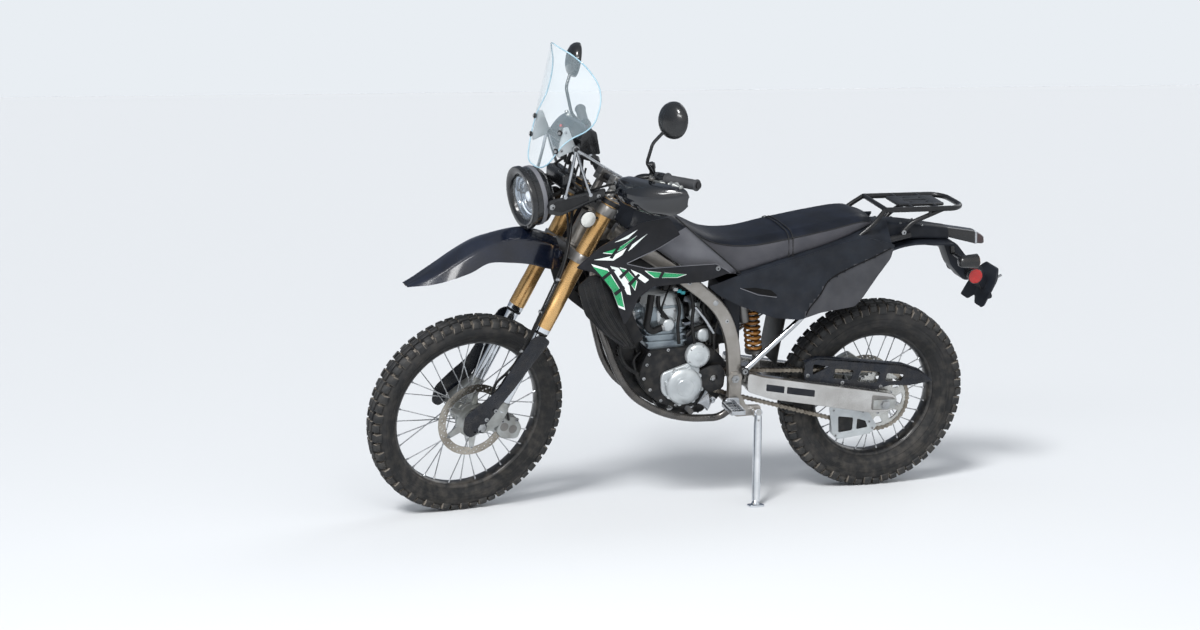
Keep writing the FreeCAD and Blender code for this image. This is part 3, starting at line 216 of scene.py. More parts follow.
class Form:
    """Faces gathered for one piece. side is 1 for the left and -1 for the mirrored right."""

    def __init__(self, place=BIKE):
        self.place, self.side = place, 1
        self.points, self.faces, self.marks, self.finishes = [], [], [], []

    def add(self, points, faces, name):
        if name not in self.finishes:
            self.finishes.append(name)
        base, mark = len(self.points), self.finishes.index(name)
        self.points += [Vector((p[0], p[1] * self.side, p[2])) for p in points]
        self.faces += [[base + i for i in f] for f in faces]
        self.marks += [mark] * len(faces)

    def skin(self, rings, name, ends=True, loop=False, wrap=True):
        self.add(*ring_faces(rings, ends, loop, wrap), name)

    def lathe(self, p, d, profile, name, n=32, loop=False, ends=True):
        """(distance along d, radius) pairs turned about the line from p."""
        p, d = Vector(p), Vector(d).normalized()
        self.skin([circle(p + d * a, d, max(r, 0.01), n) for a, r in profile], name, ends, loop)

    def rod(self, p, q, r, name, n=20, ease=0.8):
        """A round bar with eased ends."""
        p, q = Vector(p), Vector(q)
        e = min(ease, (q - p).length * 0.3, r * 0.5)
        self.lathe(p, q - p, [(0, r - e), (e, r), ((q - p).length - e, r), ((q - p).length, r - e)], name, n)

    def tube(self, path, r, name, n=12, bend=0.0, steps=5, ends=True, squash=1.0):
        """A tube along a path; r is one radius or one at each point of the path."""
        line = [Vector((*p, q)) for p, q in zip(path, r if isinstance(r, (list, tuple)) else [r] * len(path))]
        line = rounded(line, bend, steps, closed=False) if bend else line
        pts, radii = [p.xyz for p in line], [p.w for p in line]
        dirs = [(pts[min(i + 1, len(pts) - 1)] - pts[max(i - 1, 0)]).normalized() for i in range(len(pts))]
        u = square_to(dirs[0])
        rings = []
        for i, (p, d) in enumerate(zip(pts, dirs)):
            if i:
                u = dirs[i - 1].rotation_difference(d) @ u
            w = d.cross(u)
            rings.append([p + u * (radii[i] * cos(2 * pi * k / n)) + w * (radii[i] * squash * sin(2 * pi * k / n))
                          for k in range(n)])
        self.skin(rings, name, ends=ends)

    def eased(self, points, faces, name, ease, steps=2, angle=30):
        """A closed shape with its sharp edges eased."""
        bm = shape(points, faces)
        bmesh.ops.recalc_face_normals(bm, faces=bm.faces)
        bm.normal_update()
        if ease:
            sharp = [e for e in bm.edges if len(e.link_faces) == 2 and e.calc_face_angle(0) > radians(angle)]
            bmesh.ops.bevel(bm, geom=sharp, offset=ease, segments=steps, profile=0.5, affect="EDGES",
                            clamp_overlap=True)
        bm.verts.index_update()
        self.add([v.co.copy() for v in bm.verts], [corners(f) for f in bm.faces], name)
        bm.free()

    def carved(self, points, faces, choose, clear=(), lines=()):
        """A closed shape cut off by planes and scored by others; choose(centre) names each face's finish."""
        bm = shape(points, faces)
        for co, no in clear:
            score(bm, co, no, True)
        for co, no in lines:
            score(bm, co, no)
        bm.verts.index_update()
        self.sorted_add([v.co.copy() for v in bm.verts], [(corners(f), choose(f.calc_center_median()))
            for f in bm.faces])
        bm.free()

    def sorted_add(self, points, marked):
        """Faces with their finish, added one finish at a time."""
        groups = {}
        for face, key in marked:
            groups.setdefault(key, []).append(face)
        for key, faces in groups.items():
            self.add(points, faces, key)

    def prism(self, loops, lift, name, ease=1.0, steps=2):
        """A plate: an outline, then its holes, lifted to its two faces by lift(a, b, 0 or 1)."""
        loops = [[Vector((p[0], p[1], 0)) for p in lp] for lp in loops]
        flat = [p for lp in loops for p in lp]
        n = len(flat)
        points = [lift(p.x, p.y, k) for k in (0, 1) for p in flat]
        if len(loops) == 1:
            caps = [tuple(range(n))]
        else:
            caps = [tuple(t) for t in tessellate_polygon(loops)]
        faces = caps + [tuple(i + n for i in c) for c in caps]
        base = 0
        for lp in loops:
            m = len(lp)
            faces += [(base + i, base + (i + 1) % m, base + (i + 1) % m + n, base + i + n) for i in range(m)]
            base += m
        self.eased(points, faces, name, ease, steps)

    def slab(self, outline, lift, name, ease=1.5, radius=0.0, holes=(), steps=2):
        """An outline with its corners rounded, lifted as prism does it."""
        outline = rounded(outline, radius, 3) if radius else outline
        self.prism([outline] + list(holes), lift, name, ease, steps)

    def plate(self, outline, y0, y1, name, ease=1.5, **more):
        """An x-z outline between two values of y."""
        self.slab(outline, lambda a, b, k: (a, (y0, y1)[k], b), name, ease, **more)

    def steer_plate(self, outline, s0, s1, name, **more):
        """An (n, y) outline between two places on the steering axis."""
        self.slab(outline, lambda a, b, k: steer(a, b, (s0, s1)[k]), name, **more)

    def steer_side(self, outline, y0, y1, name, **more):
        """An (n, s) outline between two values of y."""
        self.slab(outline, lambda a, b, k: steer(a, (y0, y1)[k], b), name, **more)

    def box(self, x0, x1, y0, y1, z0, z1, name, ease=1.5, steps=2):
        self.plate([(x0, z0), (x1, z0), (x1, z1), (x0, z1)], y0, y1, name, ease, steps=steps)

    def sheet(self, outline, place, name, radius=8.0, step=26.0, ease=1.4, holes=(), paint=None):
        """A moulded sheet: a flat outline laid by place(a, b, k), k being 0 in front and 1 behind."""
        line = rounded(outline, radius, 3) if radius else outline
        loops = [[Vector((p[0], p[1], 0)) for p in lp] for lp in [line] + list(holes)]
        flat = [p for lp in loops for p in lp]
        bm = shape(flat, tessellate_polygon(loops) if holes else [range(len(flat))])
        for k in (0, 1):
            at, no = [v.co[k] for v in bm.verts], Vector((1 - k, k, 0))
            cut = min(at) + step
            while cut < max(at) - 2:
                score(bm, no * cut, no)
                cut += step
        bm.verts.index_update()
        flat = [v.co.copy() for v in bm.verts]
        n = len(flat)
        points = [Vector(place(p.x, p.y, k)) for k in (0, 1) for p in flat]
        faces = [corners(f) for f in bm.faces]
        edge = [(a, b, b + n, a + n) for a, b in [corners(e) for e in bm.edges if e.is_boundary]]
        bm.free()
        back = [[i + n for i in f] for f in faces]
        if not paint:
            self.eased(points, faces + back + edge, name, ease, angle=50)
            return
        centres = [sum((flat[i] for i in f), Vector()) / len(f) for f in faces]
        self.sorted_add(points, [(f, paint(c.x, c.y)) for f, c in zip(faces, centres)])
        self.add(points, back + edge, name)

    def panel(self, outline, y_of, thick, name, **more):
        """An x-z outline laid on the surface y_of(x, z)."""
        self.sheet(outline, lambda a, b, k: (a, y_of(a, b) - thick * k, b), name, **more)

    def bolt(self, p, d, r, high=None):
        """A hexagon head on a washer."""
        p, d = Vector(p), Vector(d).normalized()
        h = high or r * 0.7
        self.lathe(p, d, [(-0.5, r * 1.35), (h * 0.22, r * 1.35), (h * 0.3, r * 1.25)], "bolt_steel", 20)
        self.lathe(p, d, [(h * 0.2, r), (h * 0.9, r), (h, r * 0.86)], "bolt_steel", 6)
        # A near-black disc in the head: painted shade in the socket's recess
        self.lathe(p, d, [(h * 0.98, r * 0.5), (h * 1.01, r * 0.48)], "dark_gap", 12)

    def bolt_ring(self, centre, r, y, count, size, turn=0.0):
        """Bolts round an axle, facing away from the middle of the machine."""
        for x, z in ring_outline(centre, r, count, turn):
            self.bolt((x, y, z), outward(y), size)

    def done(self, name, body, slot, *nodes, bend=38):
        """The finished piece, riding on a body and standing for CAD nodes."""
        me = bpy.data.meshes.new(name)
        me.from_pydata([self.place @ p for p in self.points], [], self.faces)
        for f in self.finishes:
            me.materials.append(finish(f))
        me.polygons.foreach_set("material_index", self.marks)
        bm = bmesh.new()
        bm.from_mesh(me)
        bmesh.ops.remove_doubles(bm, verts=bm.verts, dist=1e-6)
        bmesh.ops.dissolve_degenerate(bm, edges=bm.edges, dist=1e-6)
        bmesh.ops.recalc_face_normals(bm, faces=bm.faces)
        bm.to_mesh(me)
        bm.free()
        me.shade_smooth()
        me.set_sharp_from_angle(angle=radians(bend))
        ob = bpy.data.objects.new(name, me)
        bpy.context.scene.collection.objects.link(ob)
        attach(ob, body)
        if nodes:
            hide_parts(*nodes)
        return ob


# Finishes: colour, tint, roughness, metal, then what differs from the plain one
FINISHES = {
    "knob_rubber": ("#1a1b1d", "#2a2b2c", 0.62, 0.0, dict(grain=900, bump=0.25, dust=0.12, shine=0.35)),
    "groove_dust": ("#77716a", "#4b4742", 0.95, 0.0, dict(grain=700, bump=0.35, dust=0.1, shine=0.1)),
    "side_rubber": ("#1a1b1c", "#242425", 0.66, 0.0, dict(grain=500, bump=0.15, dust=0.14, shine=0.3)),
    "rim_black": ("#121315", "#1e1f21", 0.34, 0.2, dict(dust=0.25, coat=0.3)),
    "spoke_steel": ("#c3c6c9", "#9b9da0", 0.28, 1.0, dict(dust=0.2)),
    "hub_alloy": ("#b4b7b6", "#8b8d8b", 0.38, 0.85, dict(grain=300, bump=0.12, dust=0.35)),
    "disc_steel": ("#b9b3a9", "#8d877d", 0.3, 1.0, dict(dust=0.3, grain=500, bump=0.05)),
    "bolt_steel": ("#b4b6b8", "#86888a", 0.32, 1.0, dict(dust=0.15)),
    # Near black: painted shade for gaps, seams, vent openings and bolt sockets
    "dark_gap": ("#060607", "#0e0e0f", 0.8, 0.0, dict(dust=0.0, shine=0.2)),
    "frame_silver": ("#9b9792", "#85817b", 0.34, 0.75, dict(grain=700, bump=0.06, dust=0.1, coat=0.3)),
    "cradle_grey": ("#5c5a58", "#454342", 0.3, 0.8, dict(dust=0.2, coat=0.3)),
    "tube_black": ("#0d0e10", "#17181b", 0.34, 0.0, dict(dust=0.1, coat=0.15, shine=0.3)),
    "strut_steel": ("#c3c6ca", "#9fa2a6", 0.22, 1.0, dict(dust=0.1)),
    "case_black": ("#141517", "#212224", 0.42, 0.2, dict(grain=420, bump=0.2, dust=0.15, shine=0.3)),
    "cover_silver": ("#c3c8ca", "#a9aeb1", 0.36, 0.6, dict(grain=600, bump=0.1, dust=0.12)),
    "head_alloy": ("#8f999f", "#69727a", 0.34, 0.8, dict(grain=380, bump=0.2, dust=0.15)),
    "hose_black": ("#08090a", "#131416", 0.42, 0.0, dict(dust=0.1, shine=0.3)),
    "arm_alloy": ("#c9c8c6", "#b1afac", 0.22, 0.95, dict(grain=700, dust=0.05)),
    "exhaust_steel": ("#aaa49c", "#82766a", 0.28, 1.0, dict(dust=0.15)),
    "can_black": ("#17181a", "#252628", 0.4, 0.3, dict(dust=0.12)),
    "fork_gold": ("#d3ac76", "#bd9560", 0.28, 0.85, dict(dust=0.06, grain=500)),
    "fork_chrome": ("#dfe3e8", "#c9ced4", 0.12, 1.0, dict(dust=0.05)),
    "clamp_grey": ("#8b8a88", "#6a6866", 0.4, 0.8, dict(grain=400, bump=0.12, dust=0.2)),
    "spring_orange": ("#b8803a", "#97601f", 0.34, 0.3, dict(dust=0.25, coat=0.3)),
    "chain_steel": ("#9a9388", "#665f56", 0.3, 1.0, dict(dust=0.15)),
    "sprocket_steel": ("#cfd0cd", "#a5a5a1", 0.3, 0.9, dict(dust=0.25)),
    "panel_dark": ("#171a20", "#20242b", 0.4, 0.0, dict(grain=900, bump=0.1, dust=0.05, shine=0.2)),
    "panel_grey": ("#37383c", "#414246", 0.45, 0.0, dict(grain=900, bump=0.12, dust=0.06, shine=0.25)),
    # Grey of the tank's sides and the headlamp band, also used for thin pale lines that are painted highlights on
    # edges
    "tank_grey": ("#5f6066", "#6a6b70", 0.42, 0.0, dict(grain=700, bump=0.05, dust=0.04, shine=0.3)),
    "shroud_black": ("#121317", "#1b1c21", 0.36, 0.0, dict(grain=900, bump=0.06, dust=0.05, shine=0.25)),
    "mark_green": ("#12935a", "#0e7d4b", 0.3, 0.0, dict(dust=0.04, coat=0.3)),
    "mark_white": ("#e3e9e7", "#cdd5d3", 0.3, 0.0, dict(dust=0.04, coat=0.3)),
    "fender_navy": ("#070c18", "#0d1423", 0.2, 0.0, dict(dust=0.04, coat=0.6, shine=0.3)),
    "fender_inner": ("#4b4744", "#383533", 0.7, 0.0, dict(dust=0.4, grain=500, bump=0.2)),
    "guard_gloss": ("#05070b", "#0a0e15", 0.12, 0.0, dict(dust=0.02, coat=1.0, shine=0.4)),
    "blade_black": ("#0a0d14", "#131821", 0.28, 0.0, dict(dust=0.08, coat=0.2, shine=0.3)),
    "seat_top": ("#0a0e16", "#121722", 0.42, 0.0, dict(grain=1400, bump=0.3, dust=0.02, shine=0.2)),
    "seat_side": ("#424247", "#393a3f", 0.55, 0.0, dict(grain=1400, bump=0.25, dust=0.05, shine=0.25)),
    "seam_thread": ("#060709", "#121316", 0.6, 0.0, dict(grain=1800, bump=0.5, dust=0.05)),
    "lamp_black": ("#0c0d0f", "#15171a", 0.24, 0.0, dict(dust=0.06, coat=0.4, shine=0.4)),
    "reflector": ("#a3adb7", "#8691a0", 0.1, 1.0, dict(dust=0.0)),
    "led_white": ("#eef3f8", "#cfdceb", 0.2, 0.0, dict(dust=0.0, coat=0.5)),
    "red_lens": ("#b8130d", "#8f0f0b", 0.2, 0.0, dict(dust=0.05, coat=0.5)),
    "dark_lens": ("#2a0b0c", "#1b0809", 0.14, 0.0, dict(dust=0.06, coat=0.8)),
    "amber_lens": ("#8c3f0a", "#5f2b07", 0.18, 0.0, dict(dust=0.06, coat=0.8)),
    "pale_lens": ("#d9dad6", "#b4b3ae", 0.16, 0.2, dict(dust=0.1, coat=0.8)),
    "display": ("#0c1013", "#12171b", 0.08, 0.0, dict(dust=0.03, coat=0.8)),
    "mirror_glass": ("#dfe4e8", "#dfe4e8", 0.02, 1.0, dict(dust=0.02)),
    "grip_rubber": ("#2b2d30", "#3a3b3e", 0.7, 0.0, dict(grain=800, bump=0.3, dust=0.15)),
    "plug_teal": ("#2d9aa3", "#1f7f88", 0.45, 0.0, dict(dust=0.1)),
    "plug_white": ("#c9cdce", "#a9adae", 0.5, 0.0, dict(dust=0.2)),
    "radiator_black": ("#0b0c0e", "#151618", 0.42, 0.1, dict(dust=0.1, shine=0.25)),
    "screen_clear": ("#dcecf3", "#c9dfe9", 0.03, 0.0, dict(clear=0.09, dust=0.0)),
    # Paler and nearly opaque: a painted highlight on the screen's edge
    "screen_edge": ("#a9c6d3", "#86aabb", 0.12, 0.0, dict(clear=0.95, dust=0.0)),
    "lens_clear": ("#eef4f8", "#e2edf4", 0.02, 0.0, dict(clear=0.07, dust=0.0)),
    "line_green": ("#1f7a3e", "#186332", 0.4, 0.0, dict(dust=0.03)),
}
made = {}


def finish(name):
    """The finish with that name: colour drifting between two tones, road dust low down, and a fine grain."""
    if name in made:
        return made[name]
    colour, tint, rough, metal, more = FINISHES[name]
    m = made[name] = bpy.data.materials.new(name)
    m.use_nodes = True
    nodes, links = m.node_tree.nodes, m.node_tree.links
    shader = nodes["Principled BSDF"]
    shader.inputs["Metallic"].default_value = metal
    shader.inputs["Coat Weight"].default_value = more.get("coat", 0.0)
    shader.inputs["Coat Roughness"].default_value = 0.08
    shader.inputs["Specular IOR Level"].default_value = more.get("shine", 0.5)
    place = nodes.new("ShaderNodeTexCoord").outputs["Object"]

    def noise(scale, detail):
        n = nodes.new("ShaderNodeTexNoise")
        n.inputs["Scale"].default_value, n.inputs["Detail"].default_value = scale, detail
        links.new(place, n.inputs["Vector"])
        return n.outputs["Fac"]

    def span(value, a, b, c, d):
        n = nodes.new("ShaderNodeMapRange")
        for k, x in enumerate((a, b, c, d), 1):
            n.inputs[k].default_value = x
        links.new(value, n.inputs[0])
        return n.outputs[0]

    def times(a, b):
        n = nodes.new("ShaderNodeMath")
        n.operation = "MULTIPLY"
        links.new(a, n.inputs[0])
        links.new(b, n.inputs[1])
        return n.outputs[0]

    def mix(factor, a, b):
        n = nodes.new("ShaderNodeMix")
        n.data_type = "RGBA"
        links.new(factor, n.inputs["Factor"])
        for socket, value in ((n.inputs["A"], a), (n.inputs["B"], b)):
            if isinstance(value, tuple):
                socket.default_value = (*value, 1)
            else:
                links.new(value, socket)
        return n.outputs["Result"]

    broad = noise(14.0, 4.0)
    fine = noise(more.get("grain", 260.0), 3.0)
    body = mix(span(broad, 0.35, 0.65, 0, 1), tone(colour), tone(tint))
    dust = more.get("dust", 0.2) * look().dust
    if dust:
        apart = nodes.new("ShaderNodeSeparateXYZ")
        links.new(place, apart.inputs[0])
        low = span(apart.outputs["Z"], 0.1, 1.0, 1.0, 0.15)
        patch = span(noise(38.0, 6.0), 0.42, 0.72, 0.0, dust)
        body = mix(times(low, patch), body, tuple(look().dust_colour))
    links.new(body, shader.inputs["Base Color"])
    links.new(span(fine, 0.3, 0.7, max(rough - 0.07, 0.01), min(rough + 0.08, 1.0)), shader.inputs["Roughness"])
    if more.get("bump"):
        b = nodes.new("ShaderNodeBump")
        b.inputs["Strength"].default_value = more["bump"]
        b.inputs["Distance"].default_value = 0.0006
        links.new(fine, b.inputs["Height"])
        links.new(b.outputs["Normal"], shader.inputs["Normal"])
    if more.get("clear"):
        shader.inputs["Alpha"].default_value = more["clear"]
        shader.inputs["IOR"].default_value = 1.45
    return m


class BikeLook(bpy.types.PropertyGroup):
    """Sizes and colours that a user would change."""
    dust: FloatProperty(name="Dust", description="How dusty the machine is", default=1.0, min=0, max=2)
    dust_colour: FloatVectorProperty(name="Dust colour", description="Colour of the road dust", subtype="COLOR",
                                     size=3, min=0, max=1, default=tone("#857d72"))
    floor_colour: FloatVectorProperty(name="Floor", description="Colour of the floor",
                                      subtype="COLOR", size=3, min=0, max=1, default=tone("#d3d5d7"))
    back_colour: FloatVectorProperty(name="Backdrop", description="Colour behind the floor's far edge",
                                     subtype="COLOR", size=3, min=0, max=1, default=tone("#e9eef3"))
    key_light: FloatProperty(name="Key light", description="Strength of the main lamp", default=2.7, min=0)
    fill_light: FloatProperty(name="Fill light", description="Strength of the far lamp", default=0.6, min=0)
    strip_light: FloatProperty(name="Softbox", description="Power of the long softbox", default=60.0, min=0)
    spoke: FloatProperty(name="Spoke radius", description="Radius of a spoke, in millimetres", default=1.9, min=1)
    sipe: FloatProperty(name="Groove", description="Groove between the centre knobs, in millimetres",
                        default=3.0, min=0)
    spring_turns: IntProperty(name="Spring turns", description="Coils of the rear spring", default=8, min=3)
    lens_mm: FloatProperty(name="Lens", description="Focal length of the camera", default=69.48,
        subtype="DISTANCE_CAMERA")


def look():
    return bpy.context.scene.bike_look


class Piece:
    """What the operators share: each builds its pieces in make()."""
    bl_options = {"REGISTER", "UNDO"}

    def execute(self, context):
        self.make()
        return {"FINISHED"}


# Stage
class BIKE_OT_stage(Piece, bpy.types.Operator):
    """Floor, lamps and the camera where the photographer stood"""
    bl_idname = "bike.stage"
    bl_label = "Stage"

    def make(self):
        scene = bpy.context.scene
        scene.view_settings.view_transform = "Standard"
        self.floor(scene)
        self.sky(scene)
        for name, power in (("key", look().key_light), ("fill", look().fill_light)):
            at, wide = SUNS[name]
            light = bpy.data.lights.new(name, "SUN")
            light.angle, light.energy = radians(wide), power
            self.aimed(scene, name, light, at, -Vector(at))
        light = bpy.data.lights.new("softbox", "AREA")
        light.shape, light.energy = "RECTANGLE", look().strip_light
        light.size, light.size_y = SOFTBOX_SIZE
        self.aimed(scene, "softbox", light, SOFTBOX_AT, SOFTBOX_AIM - SOFTBOX_AT)
        camera = bpy.data.cameras.new("camera")
        camera.lens, camera.sensor_width = look().lens_mm, 36.0
        yaw, pitch = radians(CAMERA_YAW), radians(CAMERA_PITCH)
        towards = Vector((cos(yaw) * cos(pitch), sin(yaw) * cos(pitch), -sin(pitch)))
        scene.camera = self.aimed(scene, "camera", camera, CAMERA_AT, towards)

    def aimed(self, scene, name, data, at, towards):
        """A lamp or camera that looks in one direction."""
        ob = bpy.data.objects.new(name, data)
        ob.location = at
        ob.rotation_mode = "QUATERNION"
        ob.rotation_quaternion = towards.to_track_quat("-Z", "Y")
        scene.collection.objects.link(ob)
        return ob

    def floor(self, scene):
        """A matt floor, out to where the backdrop takes over."""
        me = bpy.data.meshes.new("floor")
        me.from_pydata([(FLOOR_HALF * x, FLOOR_HALF * y, 0) for x, y in ((-1, -1), (1, -1), (1, 1), (-1, 1))], [],
                       [(0, 1, 2, 3)])
        m = bpy.data.materials.new("floor")
        m.use_nodes = True
        shader = m.node_tree.nodes["Principled BSDF"]
        shader.inputs["Roughness"].default_value = 1.0
        shader.inputs["Specular IOR Level"].default_value = 0.0
        shader.inputs["Base Color"].default_value = (*look().floor_colour, 1)
        me.materials.append(m)
        floor = bpy.data.objects.new("floor", me)
        scene.collection.objects.link(floor)

    def sky(self, scene):
        """Light that is brighter on the near side, and a plain backdrop for the camera alone."""
        world = scene.world = bpy.data.worlds.new("studio")
        world.use_nodes = True
        nodes, links = world.node_tree.nodes, world.node_tree.links
        soft, plain = nodes["Background"], nodes.new("ShaderNodeBackground")
        plain.inputs["Color"].default_value = (*look().back_colour, 1)
        ramp = nodes.new("ShaderNodeValToRGB")
        stops = ramp.color_ramp.elements
        for i, (at, colour) in enumerate((SKY[0], SKY[-1], *SKY[1:-1])):
            stop = stops[i] if i < 2 else stops.new(at)
            stop.color = (*colour, 1)
        apart = nodes.new("ShaderNodeSeparateXYZ")
        links.new(nodes.new("ShaderNodeTexCoord").outputs["Generated"], apart.inputs[0])
        half = nodes.new("ShaderNodeMapRange")
        half.inputs[1].default_value = -1.0
        links.new(apart.outputs["Y"], half.inputs[0])
        links.new(half.outputs[0], ramp.inputs[0])
        links.new(ramp.outputs[0], soft.inputs["Color"])
        soft.inputs["Strength"].default_value = SKY_STRENGTH
        mix = nodes.new("ShaderNodeMixShader")
        links.new(nodes.new("ShaderNodeLightPath").outputs["Is Camera Ray"], mix.inputs[0])
        links.new(soft.outputs[0], mix.inputs[1])
        links.new(plain.outputs[0], mix.inputs[2])
        links.new(mix.outputs[0], nodes["World Output"].inputs[0])


# Wheels
def knob(form, centre, outline, length, share, ease=1.8):
    """One tread block at every pitch: an outline of (y, r) drawn along the tread, narrower at its top."""
    low, high = min(r for _, r in outline), max(r for _, r in outline)
    ends = []
    for k in (-1, 1):
        ends.append([Vector((r, y, k * length / 2 * (1 - 0.14 * (r - low) / (high - low)))) for y, r in outline])
    n = len(outline)
    bm = shape(ends[0] + ends[1], [range(n), range(n, 2 * n)] + [(i, (i + 1) % n, (i + 1) % n + n, i + n)
        for i in range(n)])
    bmesh.ops.recalc_face_normals(bm, faces=bm.faces)
    bmesh.ops.bevel(bm, geom=bm.edges[:], offset=ease, segments=1, profile=0.5, affect="EDGES", clamp_overlap=True)
    bm.verts.index_update()
    bm.normal_update()
    pts = [v.co.copy() for v in bm.verts]
    groups = {"knob_rubber": [], "groove_dust": []}
    for f in bm.faces:
        groups["groove_dust" if abs(f.normal.z) > 0.7 else "knob_rubber"].append(corners(f))
    bm.free()
    for i in range(LUG_PITCHES):
        turn = Matrix.Rotation(-2 * pi * (i + share) / LUG_PITCHES, 3, "Y")
        placed = [centre + turn @ p for p in pts]
        for key, faces in groups.items():
            form.add(placed, faces, key)


def tyre(form, centre, half, crown, blocks, ribs):
    """Carcass, a split row of centre blocks, long and short blocks on each shoulder, and ribs on the sidewalls."""
    outer = smooth_rows(half, 4)
    tread = outer[-1][1] - 6
    profile = outer + [(-y, r) for y, r in reversed(outer[:-1])]
    rings = [circle(centre + Y * y, Y, r, 120) for y, r in profile]
    n = len(rings)
    for k in range(n - 1):
        crowned = min(profile[k][1], profile[k + 1][1]) > tread
        form.skin([rings[k], rings[k + 1]], "groove_dust" if crowned else "side_rubber", ends=False)
    form.skin([rings[-1], rings[0]], "side_rubber", ends=False)
    y1, r1, g, low = crown[0], crown[1], look().sipe / 2, outer[-1][1] - 4
    for s in (1, -1):
        for reach, top, length, share in ((1.0, 0, crown[2], 0.0), (0.8, 1.5, crown[2] * 0.72, 0.5)):
            w = y1 * reach
            knob(form, centre, [(s * g, low), (s * (g + 0.3), r1 - top), (s * (w - 0.5), r1 - top - 1.5),
                                (s * (w + 0.6), low)], length, share)
        for outline, length, share in blocks:
            knob(form, centre, [(s * y, r) for y, r in outline], length, share)
        for y, r in ribs:
            form.lathe(centre + Y * (s * y), Y, [(-1.5, r - 1.2), (1.2 * s, r - 0.5), (1.2 * s, r + 0.5),
                (-1.5, r + 1.2)], "side_rubber", 120, loop=True)


class BIKE_OT_tyres(Piece, bpy.types.Operator):
    """Knobby tyres with dust in their grooves"""
    bl_idname = "bike.tyres"
    bl_label = "Tyres"

    def make(self):
        front = Form(FORKS)
        tyre(front, FRONT_AXLE, [(26, 263), (29, 270), (36, 280), (41, 292), (41.5, 303), (38, 315), (31, 324),
                                 (18, 329.5), (0, 331)], (16, 345, 42),
             [([(21, 327), (22, 342), (39, 335), (43, 317), (36, 309)], 30, 0.5),
              ([(20, 326), (21, 342), (36, 337), (40, 324), (33, 318)], 27, 0.0)],
             [(41.3, 299), (40.2, 290), (36.5, 281.5)])
        front.done("front_tyre_tread", "front_wheel", "tyre_rubber", "front_tyre")
        rear = Form()
        tyre(rear, REAR_AXLE, [(33, 225), (37, 232), (46, 246), (52, 263), (52.5, 282), (49.5, 299), (42, 311),
                               (24, 317.5), (0, 319)], (23, 334, 40),
             [([(32, 316), (32, 331), (50, 323), (54, 300), (46, 295)], 30, 0.5),
              ([(29, 316), (30, 332), (46, 327), (51, 311), (44, 305)], 26, 0.0)],
             [(52.7, 279), (52.3, 268), (47.5, 249.5)])
        rear.done("rear_tyre_tread", "rear_wheel", "tyre_rubber", "rear_tyre")


def laced_wheel(form, centre, rim, hub, hub_r, hub_y, rim_r, rim_y, flanges):
    """Rim, hub and crossed spokes with their nipples."""
    form.lathe(centre, Y, rim, "rim_black", 120, loop=True)
    form.lathe(centre, Y, hub, "hub_alloy", 48, loop=True)
    r = look().spoke
    for i in range(SPOKES):
        side = 1 if i % 2 else -1
        lay = 1 if (i // 2) % 2 else -1
        a = 2 * pi * i / SPOKES
        p = round_axle(centre, hub_r, side * (hub_y + lay * 4.16), a + lay * radians(62))
        q = round_axle(centre, rim_r, side * rim_y, a)
        form.tube([p, q], r, "spoke_steel", 8)
        d = (p - q).normalized()
        form.lathe(q - d * 6, d, [(0, 4.2), (5, 4.2), (6, 3.4), (20, 3.0), (21, 2.2)], "spoke_steel", 8)
        form.lathe(p - d * 3, d, [(0, 3.2), (5, 3.0)], "spoke_steel", 6)
    for y, r0, count, size in flanges:
        form.bolt_ring(centre, r0, y, count, size, pi / count)


class BIKE_OT_wheels(Piece, bpy.types.Operator):
    """Black rims with laced spokes on cast hubs"""
    bl_idname = "bike.wheels"
    bl_label = "Wheels"

    def make(self):
        f = Form(FORKS)
        laced_wheel(f, FRONT_AXLE, [(-25, 262), (-24, 267.5), (-21.5, 267.5), (-20, 262), (-16, 257), (0, 253.5),
            (16, 257), (20, 262), (21.5, 267.5), (24, 267.5), (25, 262), (21, 255.5), (14, 251), (0, 249.5),
            (-14, 251), (-21, 255.5)], [(-58, 9), (-58, 17), (-41, 18), (-40, 26), (-39, 41), (-36, 43), (-27, 43),
            (-25, 38), (-21, 22), (0, 19), (21, 22), (24, 46), (27, 51), (36, 53), (40, 44), (52, 44), (55, 50),
            (56, 38), (57, 16), (62, 15), (62, 9)], 36, 31, 256, 6, [(56.2, 45, 6, 3.5)])
        f.done("front_wheel_laced", "front_wheel", "rim_black", "front_rim")
        f = Form()
        laced_wheel(f, REAR_AXLE,
                    [(-31, 224), (-30, 229.5), (-27, 229.5), (-25, 223), (-19, 217), (0, 212.5), (19, 217),
                     (25, 223), (27, 229.5), (30, 229.5), (31, 224), (26, 216), (17, 210.5), (0, 208.5),
                     (-17, 210.5), (-26, 216)],
                    [(-72, 9), (-72, 18), (-61, 19), (-60, 44), (-57, 46), (-46, 46), (-44, 40), (-32, 44), (-29, 30),
                     (0, 25), (27, 30), (30, 52), (33, 59), (42, 61), (47, 50), (60, 50), (72, 58), (74.2, 56),
                     (74.2, 22), (84, 20), (84, 9)],
                    42, 36, 216, 8, [(81.5, 48, 6, 4.5), (-60, 38, 6, 3.5)])
        f.done("rear_wheel_laced", "rear_wheel", "rim_black", "rear_rim")


def flat(p):
    """A point of the drawing as (x, z)."""
    return p.x, p.z


def ring_outline(centre, r, n, turn=0.0):
    """Points (x, z) on a circle."""
    x, z = flat(centre)
    return [(x + r * cos(2 * pi * i / n + turn), z + r * sin(2 * pi * i / n + turn)) for i in range(n)]


